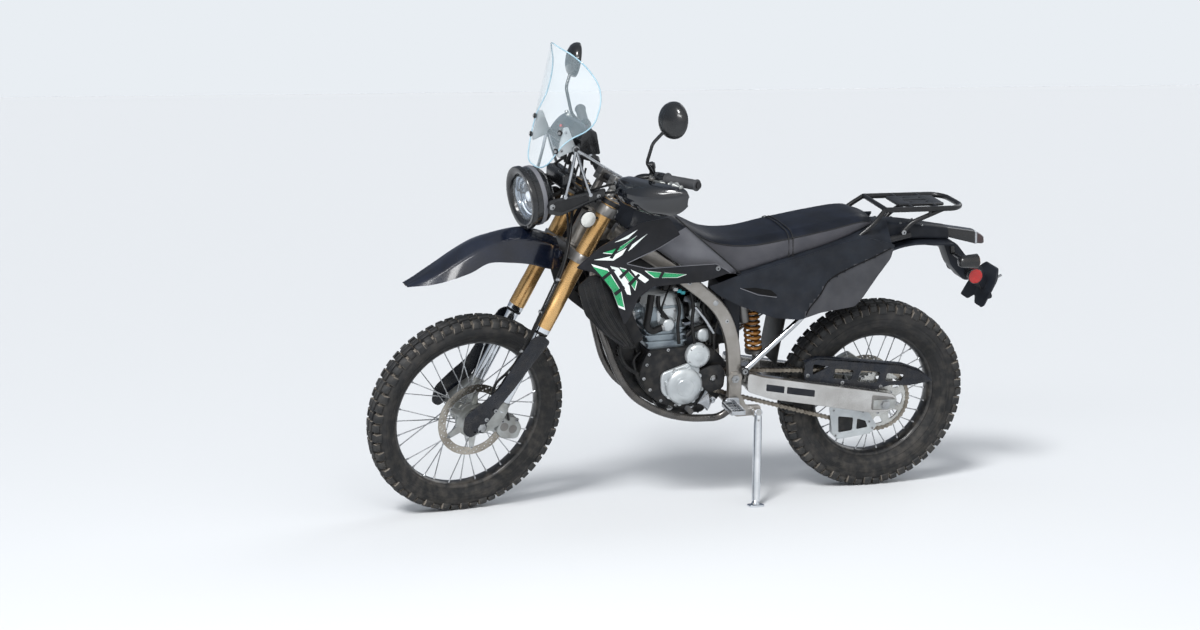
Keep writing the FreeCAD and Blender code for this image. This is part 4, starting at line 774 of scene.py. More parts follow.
def drilled_disc(form, centre, outer, inner, carrier, y0, y1, arms):
    """A drilled rotor on an alloy spider."""
    holes = [ring_outline(centre, inner + 1.5, 60)[::-1]]
    for row, r in enumerate((inner + 8, inner + 15, inner + 21)):
        for i in range(24):
            holes.append(ring_outline(round_axle(centre, r, 0, 2 * pi * (i + row * 0.33) / 24), 2.6, 8))
    form.plate(ring_outline(centre, outer, 96), y0, y1, "disc_steel", 0, holes=holes)
    form.plate(ring_outline(centre, carrier, 48), y0 - 0.5, y1 + 0.5, "hub_alloy", 1.0,
               holes=[ring_outline(centre, carrier * 0.62, 32)])
    for i in range(arms):
        a = 2 * pi * (i + 0.5) / arms
        tip = [(carrier - 5, 0.24), (inner - 6, 0.10), (inner + 4, 0.07)]
        outline = [flat(round_axle(centre, r, 0, a + w)) for r, w in tip + [(r, -w) for r, w in reversed(tip)]]
        form.plate(outline, y0 - 0.8, y1 + 0.8, "hub_alloy", 0.8, radius=3)
        form.bolt(round_axle(centre, inner + 1, y1 + 0.8 if y1 > 0 else y0 - 0.8, a), outward(y1), 4)


class BIKE_OT_brake_discs(Piece, bpy.types.Operator):
    """Drilled brake discs"""
    bl_idname = "bike.brake_discs"
    bl_label = "Brake discs"

    def make(self):
        f = Form(FORKS)
        drilled_disc(f, FRONT_AXLE, 125, 97, 60, 56.8, 59.8, 6)
        f.done("front_brake_disc", "front_wheel", "steel", "front_disc")
        f = Form()
        drilled_disc(f, REAR_AXLE, 115, 88, 56, -64.4, -60.8, 5)
        f.done("rear_brake_disc", "rear_wheel", "steel", "rear_disc")


def pitch_radius(teeth):
    return CHAIN_PITCH / 2 / sin(pi / teeth)


def sprocket(form, centre, teeth, y0, y1, windows, bore):
    """A toothed wheel with rounded gullets and lightening windows."""
    root = pitch_radius(teeth)
    tooth = ((0.0, -5.2), (0.16, -4.4), (0.30, -0.5), (0.43, 3.6), (0.57, 3.6), (0.70, -0.5), (0.84, -4.4))
    pts = [flat(round_axle(centre, root + dr - 1.2, 0, 2 * pi * (i + share) / teeth)) for i in range(teeth)
           for share, dr in tooth]
    holes = [ring_outline(centre, bore, 24)]
    window = ((-44, -0.5), (-44, 0.5), (-19, 1.0), (-17, 0), (-19, -1.0))
    for i in range(windows):
        a, half = 2 * pi * i / windows, pi / windows * 0.66
        holes.append(rounded([flat(round_axle(centre, root + dr, 0, a + half * t)) for dr, t in window], 5, 2))
    form.plate(pts, y0, y1, "sprocket_steel", 0, holes=holes)


def chain_path():
    """Centres of the chain's pins round both sprockets."""
    rr, rf = pitch_radius(REAR_TEETH) - 1.2, pitch_radius(FRONT_TEETH) - 1.2
    d = Vector((DRIVE.x - REAR_AXLE.x, 0, DRIVE.z - REAR_AXLE.z))
    span, tilt = d.length, math.atan2(d.z, d.x)
    lap = math.acos((rr - rf) / span)
    straight = math.sqrt(span ** 2 - (rr - rf) ** 2)
    arc_r, arc_f = rr * (2 * pi - 2 * lap), rf * 2 * lap
    total = arc_r + arc_f + 2 * straight
    count = int(round(total / CHAIN_PITCH / 2)) * 2
    start = round_axle(REAR_AXLE, rr, 0, tilt - lap)
    other = round_axle(DRIVE, rf, 0, tilt - lap)
    out = []
    for i in range(count):
        s = total * i / count
        if s < arc_r:
            out.append(round_axle(REAR_AXLE, rr, 0, tilt + lap + s / rr))
        elif s < arc_r + straight:
            out.append(start + (other - start) * ((s - arc_r) / straight))
        elif s < arc_r + straight + arc_f:
            out.append(round_axle(DRIVE, rf, 0, tilt - lap + (s - arc_r - straight) / rf))
        else:
            a, b = round_axle(DRIVE, rf, 0, tilt + lap), round_axle(REAR_AXLE, rr, 0, tilt + lap)
            out.append(a + (b - a) * ((s - arc_r - straight - arc_f) / straight))
    return out


class BIKE_OT_chain(Piece, bpy.types.Operator):
    """Chain of plates and rollers, and the rear sprocket"""
    bl_idname = "bike.chain"
    bl_label = "Chain and sprocket"

    def make(self):
        f = Form()
        pins = chain_path()
        for i, p in enumerate(pins):
            q = pins[(i + 1) % len(pins)]
            d = (q - p).normalized()
            n = Vector((-d.z, 0, d.x))
            half = [(-6.2, 3.2), (-3.6, 6.2), (0, 7.1), (4.2, 5.6), (7.9, 4.6), (11.7, 5.6), (15.9, 7.1), (19.5, 6.2),
                (22, 3.2)]
            link = half + [(a, -b) for a, b in reversed(half)]
            y = 6.9 if i % 2 else 5.0
            for s in (1, -1):
                rings = [[p + d * a + n * b + Y * (CHAIN_Y + s * yy) for a, b in link] for yy in (y - 1.7, y)]
                f.skin(rings, "chain_steel")
            f.lathe(p + Y * (CHAIN_Y - 8), Y, [(0, 2.6), (5, 2.6), (5.01, 4.4), (11, 4.4), (11.01, 2.6), (16, 2.6)],
                    "chain_steel", 8)
        f.done("chain_links", "chassis", "chain_steel", "chain")
        f = Form()
        sprocket(f, REAR_AXLE, REAR_TEETH, CHAIN_Y - 3.2, CHAIN_Y + 3.2, 8, 30)
        f.done("rear_sprocket_toothed", "rear_wheel", "steel", "rear_sprocket")


# Body
SEAT = [  # x, top z, break z, low z, top half width, break half width, low half width
    (810, 1022, 1000, 812, 62, 92, 128), (720, 972, 956, 806, 68, 100, 134), (640, 938, 924, 806, 76, 108, 140),
    (530, 931, 918, 832, 88, 120, 142), (400, 953, 938, 868, 98, 126, 138), (250, 980, 963, 906, 96, 120, 124),
    (140, 996, 980, 946, 84, 102, 106), (84, 984, 972, 962, 62, 74, 76)]
TANK = [  # x, top z, shoulder z, side z, low z, top, shoulder, side and low half widths
    (540, 990, 980, 900, 812, 60, 100, 140, 130), (690, 1002, 985, 900, 822, 62, 110, 146, 132),
    (760, 1010, 985, 912, 846, 62, 112, 148, 128), (850, 1034, 1000, 945, 903, 58, 108, 142, 118),
    (915, 1044, 1012, 972, 950, 50, 96, 120, 100), (975, 1030, 1008, 990, 984, 34, 62, 74, 60)]
SEAT_LINE = [Vector((562, 0, 816)), Vector((798, 0, 1016))]
SHROUD = [(1151, 879), (1078, 946), (1029, 975), (948, 1018), (841, 1032), (796, 971), (875, 930), (941, 905),
          (985, 888), (905, 866), (734, 865), (662, 866), (611, 834), (703, 806), (884, 803), (933, 771),
          (957, 715), (979, 682), (999, 727), (1011, 757), (1030, 802), (1073, 853), (1101, 866)]
SHROUD_PLAN = [(600, 160), (760, 166), (900, 186), (1030, 204), (1165, 200)]
SIDE = [(590, 818), (543, 830), (395, 870), (206, 921), (124, 932), (12, 899), (25, 851), (74, 790), (123, 722),
        (150, 695), (275, 682), (353, 661), (443, 672), (497, 691), (570, 718), (643, 755), (680, 786)]
SIDE_TOP = SIDE[:6]
SIDE_RIGHT = SIDE_TOP + [(40, 885), (200, 838), (330, 792), (430, 762), (540, 745), (643, 755), (680, 786)]
SIDE_PLAN = [(0, 122), (150, 146), (380, 164), (560, 160), (700, 148)]


def moulded(rows, corner, crown=0.0, per_span=8, steps=5):
    """Rings of a body whose table gives x and then (half width, height) pairs from the bottom up."""
    rings = []
    for row in smooth_rows(rows, per_span):
        x, pairs = row[0], [(row[i], row[i + 1]) for i in range(1, len(row), 2)]
        ring = [(-w, z) for w, z in pairs] + [(w, z) for w, z in reversed(pairs)]
        ring.insert(len(pairs), (0, pairs[-1][1] + crown))
        rings.append([Vector((x, p.x, p.y)) for p in rounded(ring, corner, steps)])
    return rings


def seat_cut(offset):
    """The plane where seat and tank meet, moved by offset; up and back is positive."""
    along = (SEAT_LINE[1] - SEAT_LINE[0]).normalized()
    up_back = Vector((-along.z, 0, along.x))
    return SEAT_LINE[0] + up_back * offset, up_back


def column(x, at):
    """One column of the seat's table at x."""
    return between([(r[0], r[at]) for r in SEAT], x)


def wave(x, centre, width):
    """A bump that is 1 at the centre and 0 a width away."""
    t = min(abs(x - centre) / width, 1.0)
    return (1 - t * t) ** 2


class BIKE_OT_seat(Piece, bpy.types.Operator):
    """Two-part seat cover: dark top, grey sides, sewn seams"""
    bl_idname = "bike.seat"
    bl_label = "Seat"

    def make(self):
        rows = [(x, wl, zl, wl * 0.45 + wb * 0.55 + 3, zl * 0.4 + zb * 0.6, wb, zb - 3, wt, zt - 2)
                for x, zt, zb, zl, wt, wb, wl in SEAT]
        f = Form()
        points, faces = ring_faces(moulded(rows, 26, crown=5, per_span=12, steps=6))
        shaped = []
        for p in points:
            pinch = wave(p.x, 392, 9)
            q = p.copy()
            if p.z > between([(r[0], r[3] * 0.5 + r[2] * 0.5) for r in SEAT], p.x):
                q.z -= 4.0 * pinch
                q.y *= 1 - 0.015 * pinch
            shaped.append(q)
        line = smooth_rows([(s[0], s[2] - 6) for s in SEAT], 12)
        co, no = seat_cut(0.0)
        f.carved(shaped, faces, lambda c: "seat_top" if c.z > between(line, c.x) else "seat_side", [(co, -no)])
        base = f.done("seat_cover", "chassis", "seat_cover", "seat", bend=60)
        f = Form()
        rows = smooth_rows([(s[0], s[5] + 1.2, s[2] - 5) for s in SEAT[1:]], 8)
        for f.side in (1, -1):
            f.tube([(x, y, z) for x, y, z in rows if x < 740], 1.6, "seam_thread", 6)
            f.tube([(562, 146, 818), (620, 149, 868), (680, 146, 918), (740, 130, 968), (790, 96, 1012)], 2.6,
                "seam_thread", 8, bend=30)
            for x in (385, 400):
                f.tube([(x, 139, 872), (x, 133, 905), (x, 127.5, 938), (x, 100, 952.6), (x, 50, 956.6),
                    (x, 0, 957.6)], 1.8, "seam_thread", 6, bend=14)
        f.done("seat_seam", "chassis", "seat_cover")


class BIKE_OT_tank(Piece, bpy.types.Operator):
    """Fuel tank with its cap"""
    bl_idname = "bike.tank"
    bl_label = "Fuel tank"

    def make(self):
        rows = [(x, wl, zl, wm, zm, ws, zs, wt, zt - 3) for x, zt, zs, zm, zl, wt, ws, wm, wl in TANK]
        f = Form()
        points, faces = ring_faces(moulded(rows, 26, crown=3, per_span=8, steps=6))
        co, no = seat_cut(-0.6)
        front = steer(-103, 0, 1000)
        normal = steer(1, 0, 0) - STEER_FOOT
        mark, slope = seat_cut(15.0)[0], Vector((0.36, 0, 0.93))
        arm = Vector((875, 0, 934))
        f.carved(points, faces, lambda c: "tank_grey" if (c - mark).dot(no) < 0 and (c - arm).dot(slope) < 0
            and c.x < 900 and abs(c.y) > 60 else "panel_dark", [(co, no), (front, normal)],
            [(mark, no), (arm, slope)])
        p, d = Vector((862, 0, 1026)), Vector((-3.4, 0, 24)).normalized()
        f.lathe(p, d, [(0, 38), (12, 38), (14, 36), (14, 34), (22, 34), (24.5, 32), (25.5, 26), (25, 0.1)],
                "lamp_black", 40)
        for x, y in ring_outline(Vector(), 34.2, 12):
            c = p + Vector((x, y, 17))
            f.rod(c, c + d * 5, 1.6, "lamp_black", 8)
        f.done("fuel_tank_shell", "chassis", "panel_grey", "fuel_tank", bend=50)


# Generic bands for the shroud: (x, z) outlines with their finish
BANDS = [
    ("mark_green", [(1098, 884), (1046, 868), (1000, 800), (984, 742), (1006, 752), (1030, 806), (1066, 850)]),
    ("mark_white", [(1040, 884), (1010, 876), (972, 826), (962, 782), (976, 786), (996, 824), (1026, 866)]),
    ("mark_green", [(1004, 874), (980, 866), (944, 828), (950, 800), (966, 822), (990, 856)]),
    ("mark_white", [(968, 868), (930, 850), (900, 828), (914, 818), (944, 840)]),
    ("mark_green", [(912, 858), (840, 846), (770, 836), (800, 828), (880, 834)]),
    ("mark_white", [(1096, 906), (1034, 918), (970, 950), (914, 984), (968, 938), (1030, 902)]),
    ("mark_green", [(1064, 930), (1014, 944), (956, 976), (1000, 940), (1036, 926)]),
    ("mark_white", [(1030, 962), (990, 980), (950, 1000), (984, 972)]),
    ("shroud_black", [(1066, 848), (1030, 874), (1020, 869), (1058, 839)]),
    ("shroud_black", [(1024, 794), (990, 816), (984, 806), (1016, 783)]),
    ("shroud_black", [(1008, 848), (968, 880), (958, 876), (1000, 838)]),
    ("shroud_black", [(976, 822), (940, 852), (932, 846), (966, 812)]),
    ("shroud_black", [(868, 828), (850, 864), (838, 864), (856, 828)]),
    ("shroud_black", [(1004, 914), (976, 958), (964, 958), (992, 914)]),
    ("shroud_black", [(1044, 912), (1020, 948), (1010, 946), (1034, 908)]),
]


def shroud_y(x, z):
    """The shroud's outer surface, dished a little along its middle."""
    return between(smooth_rows(SHROUD_PLAN, 4), x) - 3.0 * wave(z, 868, 60) * wave(x, 1040, 160)


class BIKE_OT_shrouds(Piece, bpy.types.Operator):
    """Radiator shrouds with plain green and white bands"""
    bl_idname = "bike.shrouds"
    bl_label = "Shrouds"

    def make(self):
        f = Form()
        for f.side in (1, -1):
            f.panel(SHROUD, shroud_y, 6.5, "shroud_black", radius=7, step=22)
            for key, outline in BANDS:
                lift = 1.1 if key == "shroud_black" else 0.7
                f.panel(outline, lambda x, z: shroud_y(x, z) + lift, 0.9, key, radius=2, step=22, ease=0)
                if key == "mark_green":
                    x0, z0 = [sum(p[i] for p in outline) / len(outline) for i in (0, 1)]
                    rim = [(x0 + (x - x0) * 1.09, z0 + (z - z0) * 1.13) for x, z in outline]
                    f.panel(rim, lambda x, z: shroud_y(x, z) + 0.35, 0.9, "mark_white", radius=2.5, step=22, ease=0)
            f.tube([(655, 120, 850), (655, 158, 850)], 9, "shroud_black", 12)
            f.tube([(1012, 172.3, 840), (1012, 200, 840)], 9, "shroud_black", 12)
            f.bolt((655, shroud_y(655, 850) + 0.4, 850), Y, 6)
            # A pale grey line along the lower arm's top edge: a painted highlight
            edge = [Vector((x, shroud_y(x, z) + 0.6, z)) for x, z in rounded(SHROUD[5:13], 7, 3, closed=False)]
            f.tube(edge, 1.5, "tank_grey", 6)
            # A dark sheet inside the shroud, behind its gaps: painted shade where the inside falls dark
            f.plate([(1044, 846), (1036, 925), (960, 930), (860, 905), (800, 870), (790, 800), (860, 770),
                (1000, 800)], 40, 44, "hose_black", ease=1, radius=12)
            f.tube([(900, 96, 905), (960, 92, 892), (1010, 96, 862), (1024, 110, 820)], 8, "hose_black", 12, bend=24)
        f.done("shroud_panels", "chassis", "panel_black", "shrouds", bend=45)


def side_y(x, z):
    """The side panel's outer surface, with a shallow dish round the vent."""
    y = between(smooth_rows(SIDE_PLAN, 4), x)
    return y - 7.0 * wave(x, 430, 130) * wave(z, 735, 70) + 2.5 * wave(z, between([(0, 905), (590, 800)], x), 22)


class BIKE_OT_side_panels(Piece, bpy.types.Operator):
    """Side panels with a vent and a lower skirt"""
    bl_idname = "bike.side_panels"
    bl_label = "Side panels"

    def make(self):
        f = Form()
        seam = [(335, 667), (320, 701), (287, 742), (256, 793), (187, 828), (82, 866), (11, 895)]

        def skirt(x, z):
            return "panel_grey" if x < 340 and z < between([(a + 4, b) for a, b in seam], x) else "panel_dark"
        for f.side, outline in ((1, SIDE), (-1, SIDE_RIGHT)):
            f.panel(outline, side_y, 5.5, "panel_dark", radius=9, step=14, paint=skirt if f.side == 1 else None)
            if f.side == 1:
                # A near-black line along the seam: painted shade in the gap between upper panel and skirt
                f.tube([(x, side_y(x, z) + 0.6, z) for x, z in smooth_rows(seam, 8)[2:-2]], 2.2, "dark_gap", 8)
                vent = [(566, 778), (520, 779), (462, 768), (438, 748), (462, 744), (505, 758)]
                # A pale line along the vent's edge: a painted highlight
                f.tube([(x, side_y(x, z) + 1, z) for x, z in ((572, 779), (508, 754), (440, 742))], 1.4, "tank_grey",
                    6)
                # The vent's opening is a near-black sheet: painted shade inside it
                f.panel(vent, lambda x, z: side_y(x, z) + 0.7, 0.8, "dark_gap", radius=3, step=20, ease=0)
            lip = []
            for x in range(24, 600, 24):
                z = between(SIDE_TOP, x)
                y, under, low = side_y(x, z), column(x, 6) - 14, column(x, 3)
                lip.append([(x, y - 4, z - 9), (x, y - 0.6, z - 5), (x, y - 5, z - 1), (x, under, low + 5),
                    (x, under, low - 3)])
            f.skin(lip, "panel_dark")
            for x, z, y0, y1 in ((420, 812, 108, 160), (170, 876, 98, 142)):
                f.tube([(x, y0, z), (x, y1, z)], 8, "panel_dark", 10)
        f.done("side_covers", "chassis", "panel_grey", "side_panels", bend=45)


FENDER = [  # x, ridge z, side z, half width
    (1176, 940, 852, 58), (1210, 955, 850, 64), (1290, 979, 876, 68), (1366, 975, 890, 70), (1440, 958, 896, 72),
    (1505, 930, 868, 72), (1610, 864, 838, 58), (1695, 820, 822, 22)]
LAMP_C, LAMP_D, LAMP_R = Vector((1279, 0, 1084)), Vector((cos(radians(8)), 0, -sin(radians(8)))), 96.0
LAMP_UP = LAMP_D.cross(Y).normalized()
BAR = [(990, 96, 1120), (978, 176, 1186), (960, 240, 1202), (900, 408, 1228)]
GUARD = [  # y, front x, depth, middle z, half height
    (172, 1066, 36, 1156, 32), (200, 1078, 50, 1158, 41), (260, 1078, 64, 1160, 48), (330, 1056, 66, 1165, 51),
    (378, 1016, 58, 1172, 48), (402, 984, 38, 1177, 40), (414, 960, 16, 1180, 29), (418, 944, 4, 1181, 18)]


def bar_at(y):
    """The handlebar's centre line, y out."""
    a, b = Vector(BAR[2]), Vector(BAR[3])
    return a + (b - a) * ((y - a.y) / (b.y - a.y))


BAR_D = (Vector(BAR[3]) - Vector(BAR[2])).normalized()


def round_lamp(a, s=1):
    """A direction square to the lamp, at angle a from the top, or from the bottom for s = -1."""
    return LAMP_UP * cos(a) * s + Y * sin(a)


class BIKE_OT_fork(Piece, bpy.types.Operator):
    """Gold tubes, polished stanchions, feet, clamps and axle"""
    bl_idname = "bike.fork"
    bl_label = "Fork"

    def make(self):
        tubes, legs, clamps, axle = Form(FORKS), Form(FORKS), Form(FORKS), Form(FORKS)
        a = AXLE_S
        hull = [(-6, a + 92), (42, a + 92), (83.4, a + 14), (79.4, a - 22), (37.4, a - 20), (-4, a + 30)]
        for side in (1, -1):
            tubes.side = legs.side = clamps.side = side
            foot, y = steer(FORK_OFFSET, FORK_SPAN, 720), FORK_SPAN
            tubes.lathe(foot, STEER_UP, [(0, 22.5), (0, 25.5), (2, 26.6), (15, 26.6), (16, 27)], "fork_chrome", 40)
            tubes.lathe(foot, STEER_UP, [(16, 27), (110, 27), (112, 26.4), (252, 26.4), (254, 27), (484, 27),
                                         (485.5, 25.5)], "fork_gold", 40)
            tubes.lathe(foot, STEER_UP, [(484, 25), (488, 25), (489, 18), (493, 17), (493.5, 0.1)], "clamp_grey", 32)
            tubes.lathe(foot, STEER_UP, [(489, 10), (494, 9.5), (494.5, 0.1)], "fork_gold", 6)
            legs.lathe(steer(FORK_OFFSET, y, 0), STEER_UP, [(a + 70, 21.5), (726, 21.5)], "fork_chrome", 40)
            legs.lathe(foot, STEER_UP, [(-9, 22), (-9, 24.5), (-6, 25.6), (-1, 25.6), (0.5, 24)], "hose_black", 40)
            legs.lathe(steer(FORK_OFFSET, y, 0), STEER_UP, [(a + 74, 26), (a + 102, 26), (a + 105, 23)], "hub_alloy",
                32)
            legs.steer_side(hull, 79, 119, "hub_alloy", ease=7, radius=12)
            legs.steer_side([(8, a + 84), (36, a + 78), (64, a + 20), (44, a + 14), (14, a + 40)], 118, 121,
                "hub_alloy", ease=1.5, radius=8)
            legs.lathe(FRONT_AXLE + Y * 77, Y, [(0, 20), (2, 22), (42, 22), (44, 20), (44, 12)], "hub_alloy", 32)
            for n, s in ((30, a - 17), (52, a - 18)):
                legs.bolt(steer(n + 12, 88, s + 2), -STEER_UP, 4.5)
            for s0, s1 in CLAMPS:
                c = (s0 + s1) / 2
                for s in (c - 9, c + 9):
                    clamps.bolt(steer(FORK_OFFSET - 31, 112, s), (-cos(RAKE), 0, -sin(RAKE)), 4)
                clamps.lathe(steer(FORK_OFFSET, y, s0), STEER_UP, [(0, 30), (1, 33.5), (s1 - s0 - 1, 33.5),
                    (s1 - s0, 30)], "clamp_grey", 32)
            clamps.lathe(steer(-3, 45, 1184), STEER_UP, [(0, 17), (3, 15), (50, 14), (52, 16)], "clamp_grey", 24)
            for s0, s1, e in ((1234, 1253.6, 2.5), (1254.4, 1274, 4)):
                clamps.steer_plate([(-26, 27), (20, 27), (20, 63), (-26, 63)], s0, s1, "clamp_grey", ease=e, radius=5)
            for n in (-19, 13):
                for y1 in (35, 55):
                    clamps.bolt(steer(n, y1, 1273.6), STEER_UP, 4)
        clamps.side = 1
        hull = [(-30, -30), (-16, -100), (8, -136), (38, -134), (52, -100), (36, -40), (36, 40), (52, 100), (38, 134),
                (8, 136), (-16, 100), (-30, 30)]
        for s0, s1 in CLAMPS:
            clamps.steer_plate(hull, s0 + 1, s1 - 1, "clamp_grey", ease=3, radius=16)
        clamps.lathe(steer(0, 0, 1184), STEER_UP, [(0, 26), (2, 27), (3, 22), (10, 22), (11, 15)], "bolt_steel", 6)
        axle.rod(FRONT_AXLE - Y * 128, FRONT_AXLE + Y * 126, 8.5, "bolt_steel", 24)
        axle.lathe(FRONT_AXLE + Y * 120, Y, [(0, 18), (2, 18), (2.5, 15.5), (9, 15.5), (10, 13.5)], "bolt_steel", 6)
        axle.lathe(FRONT_AXLE + Y * 126, Y, [(0, 8), (4, 8), (5, 6)], "bolt_steel", 24)
        axle.lathe(FRONT_AXLE - Y * 130, Y, [(0, 11), (1, 13), (10, 13)], "bolt_steel", 6)
        axle.lathe(FRONT_AXLE + Y * 62.3, Y, [(0, 17), (2, 17), (3, 14), (15.7, 14)], "hub_alloy", 32)
        axle.lathe(FRONT_AXLE - Y * 78, Y, [(0, 14), (17, 14), (18, 17), (19.7, 17)], "hub_alloy", 32)
        tubes.done("fork_upper_tubes", "steering", "fork_gold", "fork_tubes")
        legs.done("fork_lower_legs", "steering", "fork_chrome", "fork_legs")
        clamps.done("triple_clamps", "steering", "engine_alloy", "fork_clamps")
        axle.done("front_axle_bolt", "steering", "steel", "front_axle")


class BIKE_OT_fork_guards(Piece, bpy.types.Operator):
    """Guard blades, brake hose with its clips, and the pale side reflectors"""
    bl_idname = "bike.fork_guards"
    bl_label = "Fork guards"

    def make(self):
        f = Form(FORKS)
        blade = [(-30, 704), (12, 716), (40, 698), (54, 600), (62, 500), (92, 440), (124, 370), (104, 318), (70, 312),
                 (48, 352), (28, 420), (8, 520), (-10, 620)]
        hole = [(AXLE_N + n, AXLE_S + s) for n, s in ring_outline(Vector(), 17, 24)]

        def bowed(n, s, k):
            mid = between([(312, 66), (440, 76), (520, 45), (620, 32), (716, 8)], s)
            bow = 9.0 * (1 - min(abs(n - mid - 12) / 55.0, 1.0) ** 2)
            return steer(n, 122.5 + bow - 2.1 * k, s)
        for f.side in (1, -1):
            f.sheet([(n + 12, s) for n, s in blade], bowed, "blade_black", radius=14, step=16, ease=1.2, holes=[hole])
            for n, s in ((47, AXLE_S + 70), (62, AXLE_S + 32)):
                p = steer(n, 120.3, s)
                f.rod(p, p + Y * 9, 6, "blade_black", 16)
                f.bolt(p + Y * 11, Y, 5)
            f.tube([(1088, 118, 1035), (1125, 121, 1035)], 4, "tube_black", 10)
            f.lathe((1125, 118, 1035), Y, [(0, 20), (1, 27), (5, 28), (7, 28), (8, 26)], "lamp_black", 32)
            f.lathe((1125, 118, 1035), Y, [(8, 26), (9.5, 22), (10.5, 12), (11, 0.1)], "pale_lens", 32)
        f.side = 1
        hose = [(1334, 86, 340), (1352, 90, 396), steer(46, 71.5, 446), steer(62, 74, 500), steer(62, 112, 560),
            steer(52, 118, 640), steer(54, 112, 800), steer(52, 96, 940), steer(66, 60, 1040), steer(60, -30, 1130),
            steer(20, -120, 1216), (972, -236, 1222)]
        f.tube(hose, 4.4, "hose_black", 10, bend=60)
        wire = [(1446, 70, 340), steer(52, 74, 420), steer(62, 112, 520), steer(60, 122, 660), steer(60, 104, 820),
                steer(58, 88, 960), steer(72, 40, 1060), (1180, 20, 1150), (1148, 10, 1230)]
        f.tube(wire, 3.4, "hose_black", 8, bend=60)
        for s in (560, 640, 780, 900):
            p = steer(56, 116 if s < 700 else 104, s)
            f.lathe(p - STEER_UP * 4, STEER_UP, [(0, 8), (1, 9), (7, 9), (8, 8)], "bolt_steel", 20)
            f.bolt(p + Vector((8, 4, 0)), (0.6, 0.8, 0), 3)
        f.done("fork_guard_blades", "steering", "panel_black", "fork_guards")


class BIKE_OT_front_fender(Piece, bpy.types.Operator):
    """High front fender with a crisp shoulder"""
    bl_idname = "bike.front_fender"
    bl_label = "Front fender"

    def make(self):
        f = Form(FORKS)
        rings, inner_rings = [], []
        for x, zt, zs, w in smooth_rows(FENDER, 7):
            k = zs + (zt - zs) * 0.72
            line = rounded([(-w, zs), (-w * 0.66, k + 3), (-w * 0.2, zt - 1), (0, zt + 1), (w * 0.2, zt - 1),
                            (w * 0.66, k + 3), (w, zs)], 9, 3, closed=False)
            t = 3.4
            rings.append([Vector((x, p.x, p.y)) for p in line])
            inner_rings.append([Vector((x, p.x * (1 - t / w), p.y - t * (0.2 + 0.8 * (p.y - zs) / max(zt - zs, 6))))
                                for p in line])
        f.skin(rings, "fender_navy", ends=False, wrap=False)
        f.skin(inner_rings, "fender_inner", ends=False, wrap=False)
        edges = [[[r[k] for r in rings], [r[k] for r in inner_rings]] for k in (0, -1)]
        for edge in edges + [[rings[k], inner_rings[k]] for k in (0, -1)]:
            f.skin(edge, "fender_navy", ends=False, wrap=False)
        f.steer_plate([(-24, -40), (92, -46), (92, 46), (-24, 40)], 970, 974.7, "fender_navy", ease=1.5, radius=8)
        f.box(1170, 1186, -58, 58, 880, 908, "fender_navy", ease=4)
        for n1, y in ((10, 30), (10, -30), (66, 34), (66, -34)):
            f.bolt(steer(n1, y, 970), -STEER_UP, 5)
        f.done("front_fender_shell", "steering", "fender_navy", "front_fender", bend=26)


class BIKE_OT_headlamp(Piece, bpy.types.Operator):
    """Round headlamp: shell, ring, polished bowl, lamp unit and glass"""
    bl_idname = "bike.headlamp"
    bl_label = "Headlamp"

    def make(self):
        f = Form(FORKS)
        f.lathe(LAMP_C, LAMP_D, [(-64, 0.1), (-64, 40), (-60, 60), (-48, 80), (-34, 92), (-20, 95.5), (12, 96)],
                "lamp_black", 64, ends=False)
        f.lathe(LAMP_C, LAMP_D, [(-22, 95), (-20, 97), (-8, 97.4), (-6, 95)], "tank_grey", 64)
        f.lathe(LAMP_C, LAMP_D, [(12, 96), (14, 100), (17, 103), (30, 103), (33, 101.5), (34, 98), (33, 88), (29, 78),
                                 (24, 75), (20, 74), (16, 72)], "lamp_black", 64, ends=False)
        bowl = [(16, 72), (12, 66), (7, 64.5), (5, 58), (-2, 56), (-4, 49), (-11, 46), (-13, 38), (-20, 34),
            (-25, 24), (-28, 0.1)]
        f.lathe(LAMP_C, LAMP_D, bowl, "reflector", 64, ends=False)
        for i in range(18):
            d = round_lamp(2 * pi * i / 18)
            f.tube([LAMP_C + LAMP_D * -18 + d * 40, LAMP_C + LAMP_D * -2 + d * 58, LAMP_C + LAMP_D * 15 + d * 72],
                1.3, "lamp_black", 6)
        f.lathe(LAMP_C, LAMP_D, [(-27, 24), (-4, 24), (0, 22), (2, 14), (2.5, 0.1)], "lamp_black", 40)
        f.lathe(LAMP_C, LAMP_D, [(1, 17), (6, 15), (9, 9), (10, 0.1)], "led_white", 40)
        for s in (1, -1):
            f.tube([LAMP_C + Y * (s * 22), LAMP_C + LAMP_D * 10 + Y * (s * 71)], 3.2, "lamp_black", 8)
            for r, k, key in ((44, 5.5, "fork_chrome"), (58, 3.0, "led_white")):
                arc = [LAMP_C + LAMP_D * (r * 0.35 - 16) + round_lamp(0.1 * i, s) * r for i in range(-9, 10)]
                f.tube(arc, k, key, 10)
        for i in range(3):
            f.bolt(LAMP_C + LAMP_D * 33 + round_lamp(2 * pi * i / 3 + 0.5) * 96, LAMP_D, 3)
        f.tube([(1218, 20, 1092), (1190, 26, 1090), (1160, 20, 1110)], 7, "hose_black", 12, bend=14)
        f.done("headlamp_body", "steering", "lamp_black", "headlamp")
        g = Form(FORKS)
        g.lathe(LAMP_C, LAMP_D, [(22, 73.6), (25, 60), (28, 36), (29.5, 0.1), (27.5, 0.1), (26, 36), (23, 60),
            (20, 73.6)], "lens_clear", 64, loop=True)
        g.done("headlamp_glass", "steering", "lamp_black")


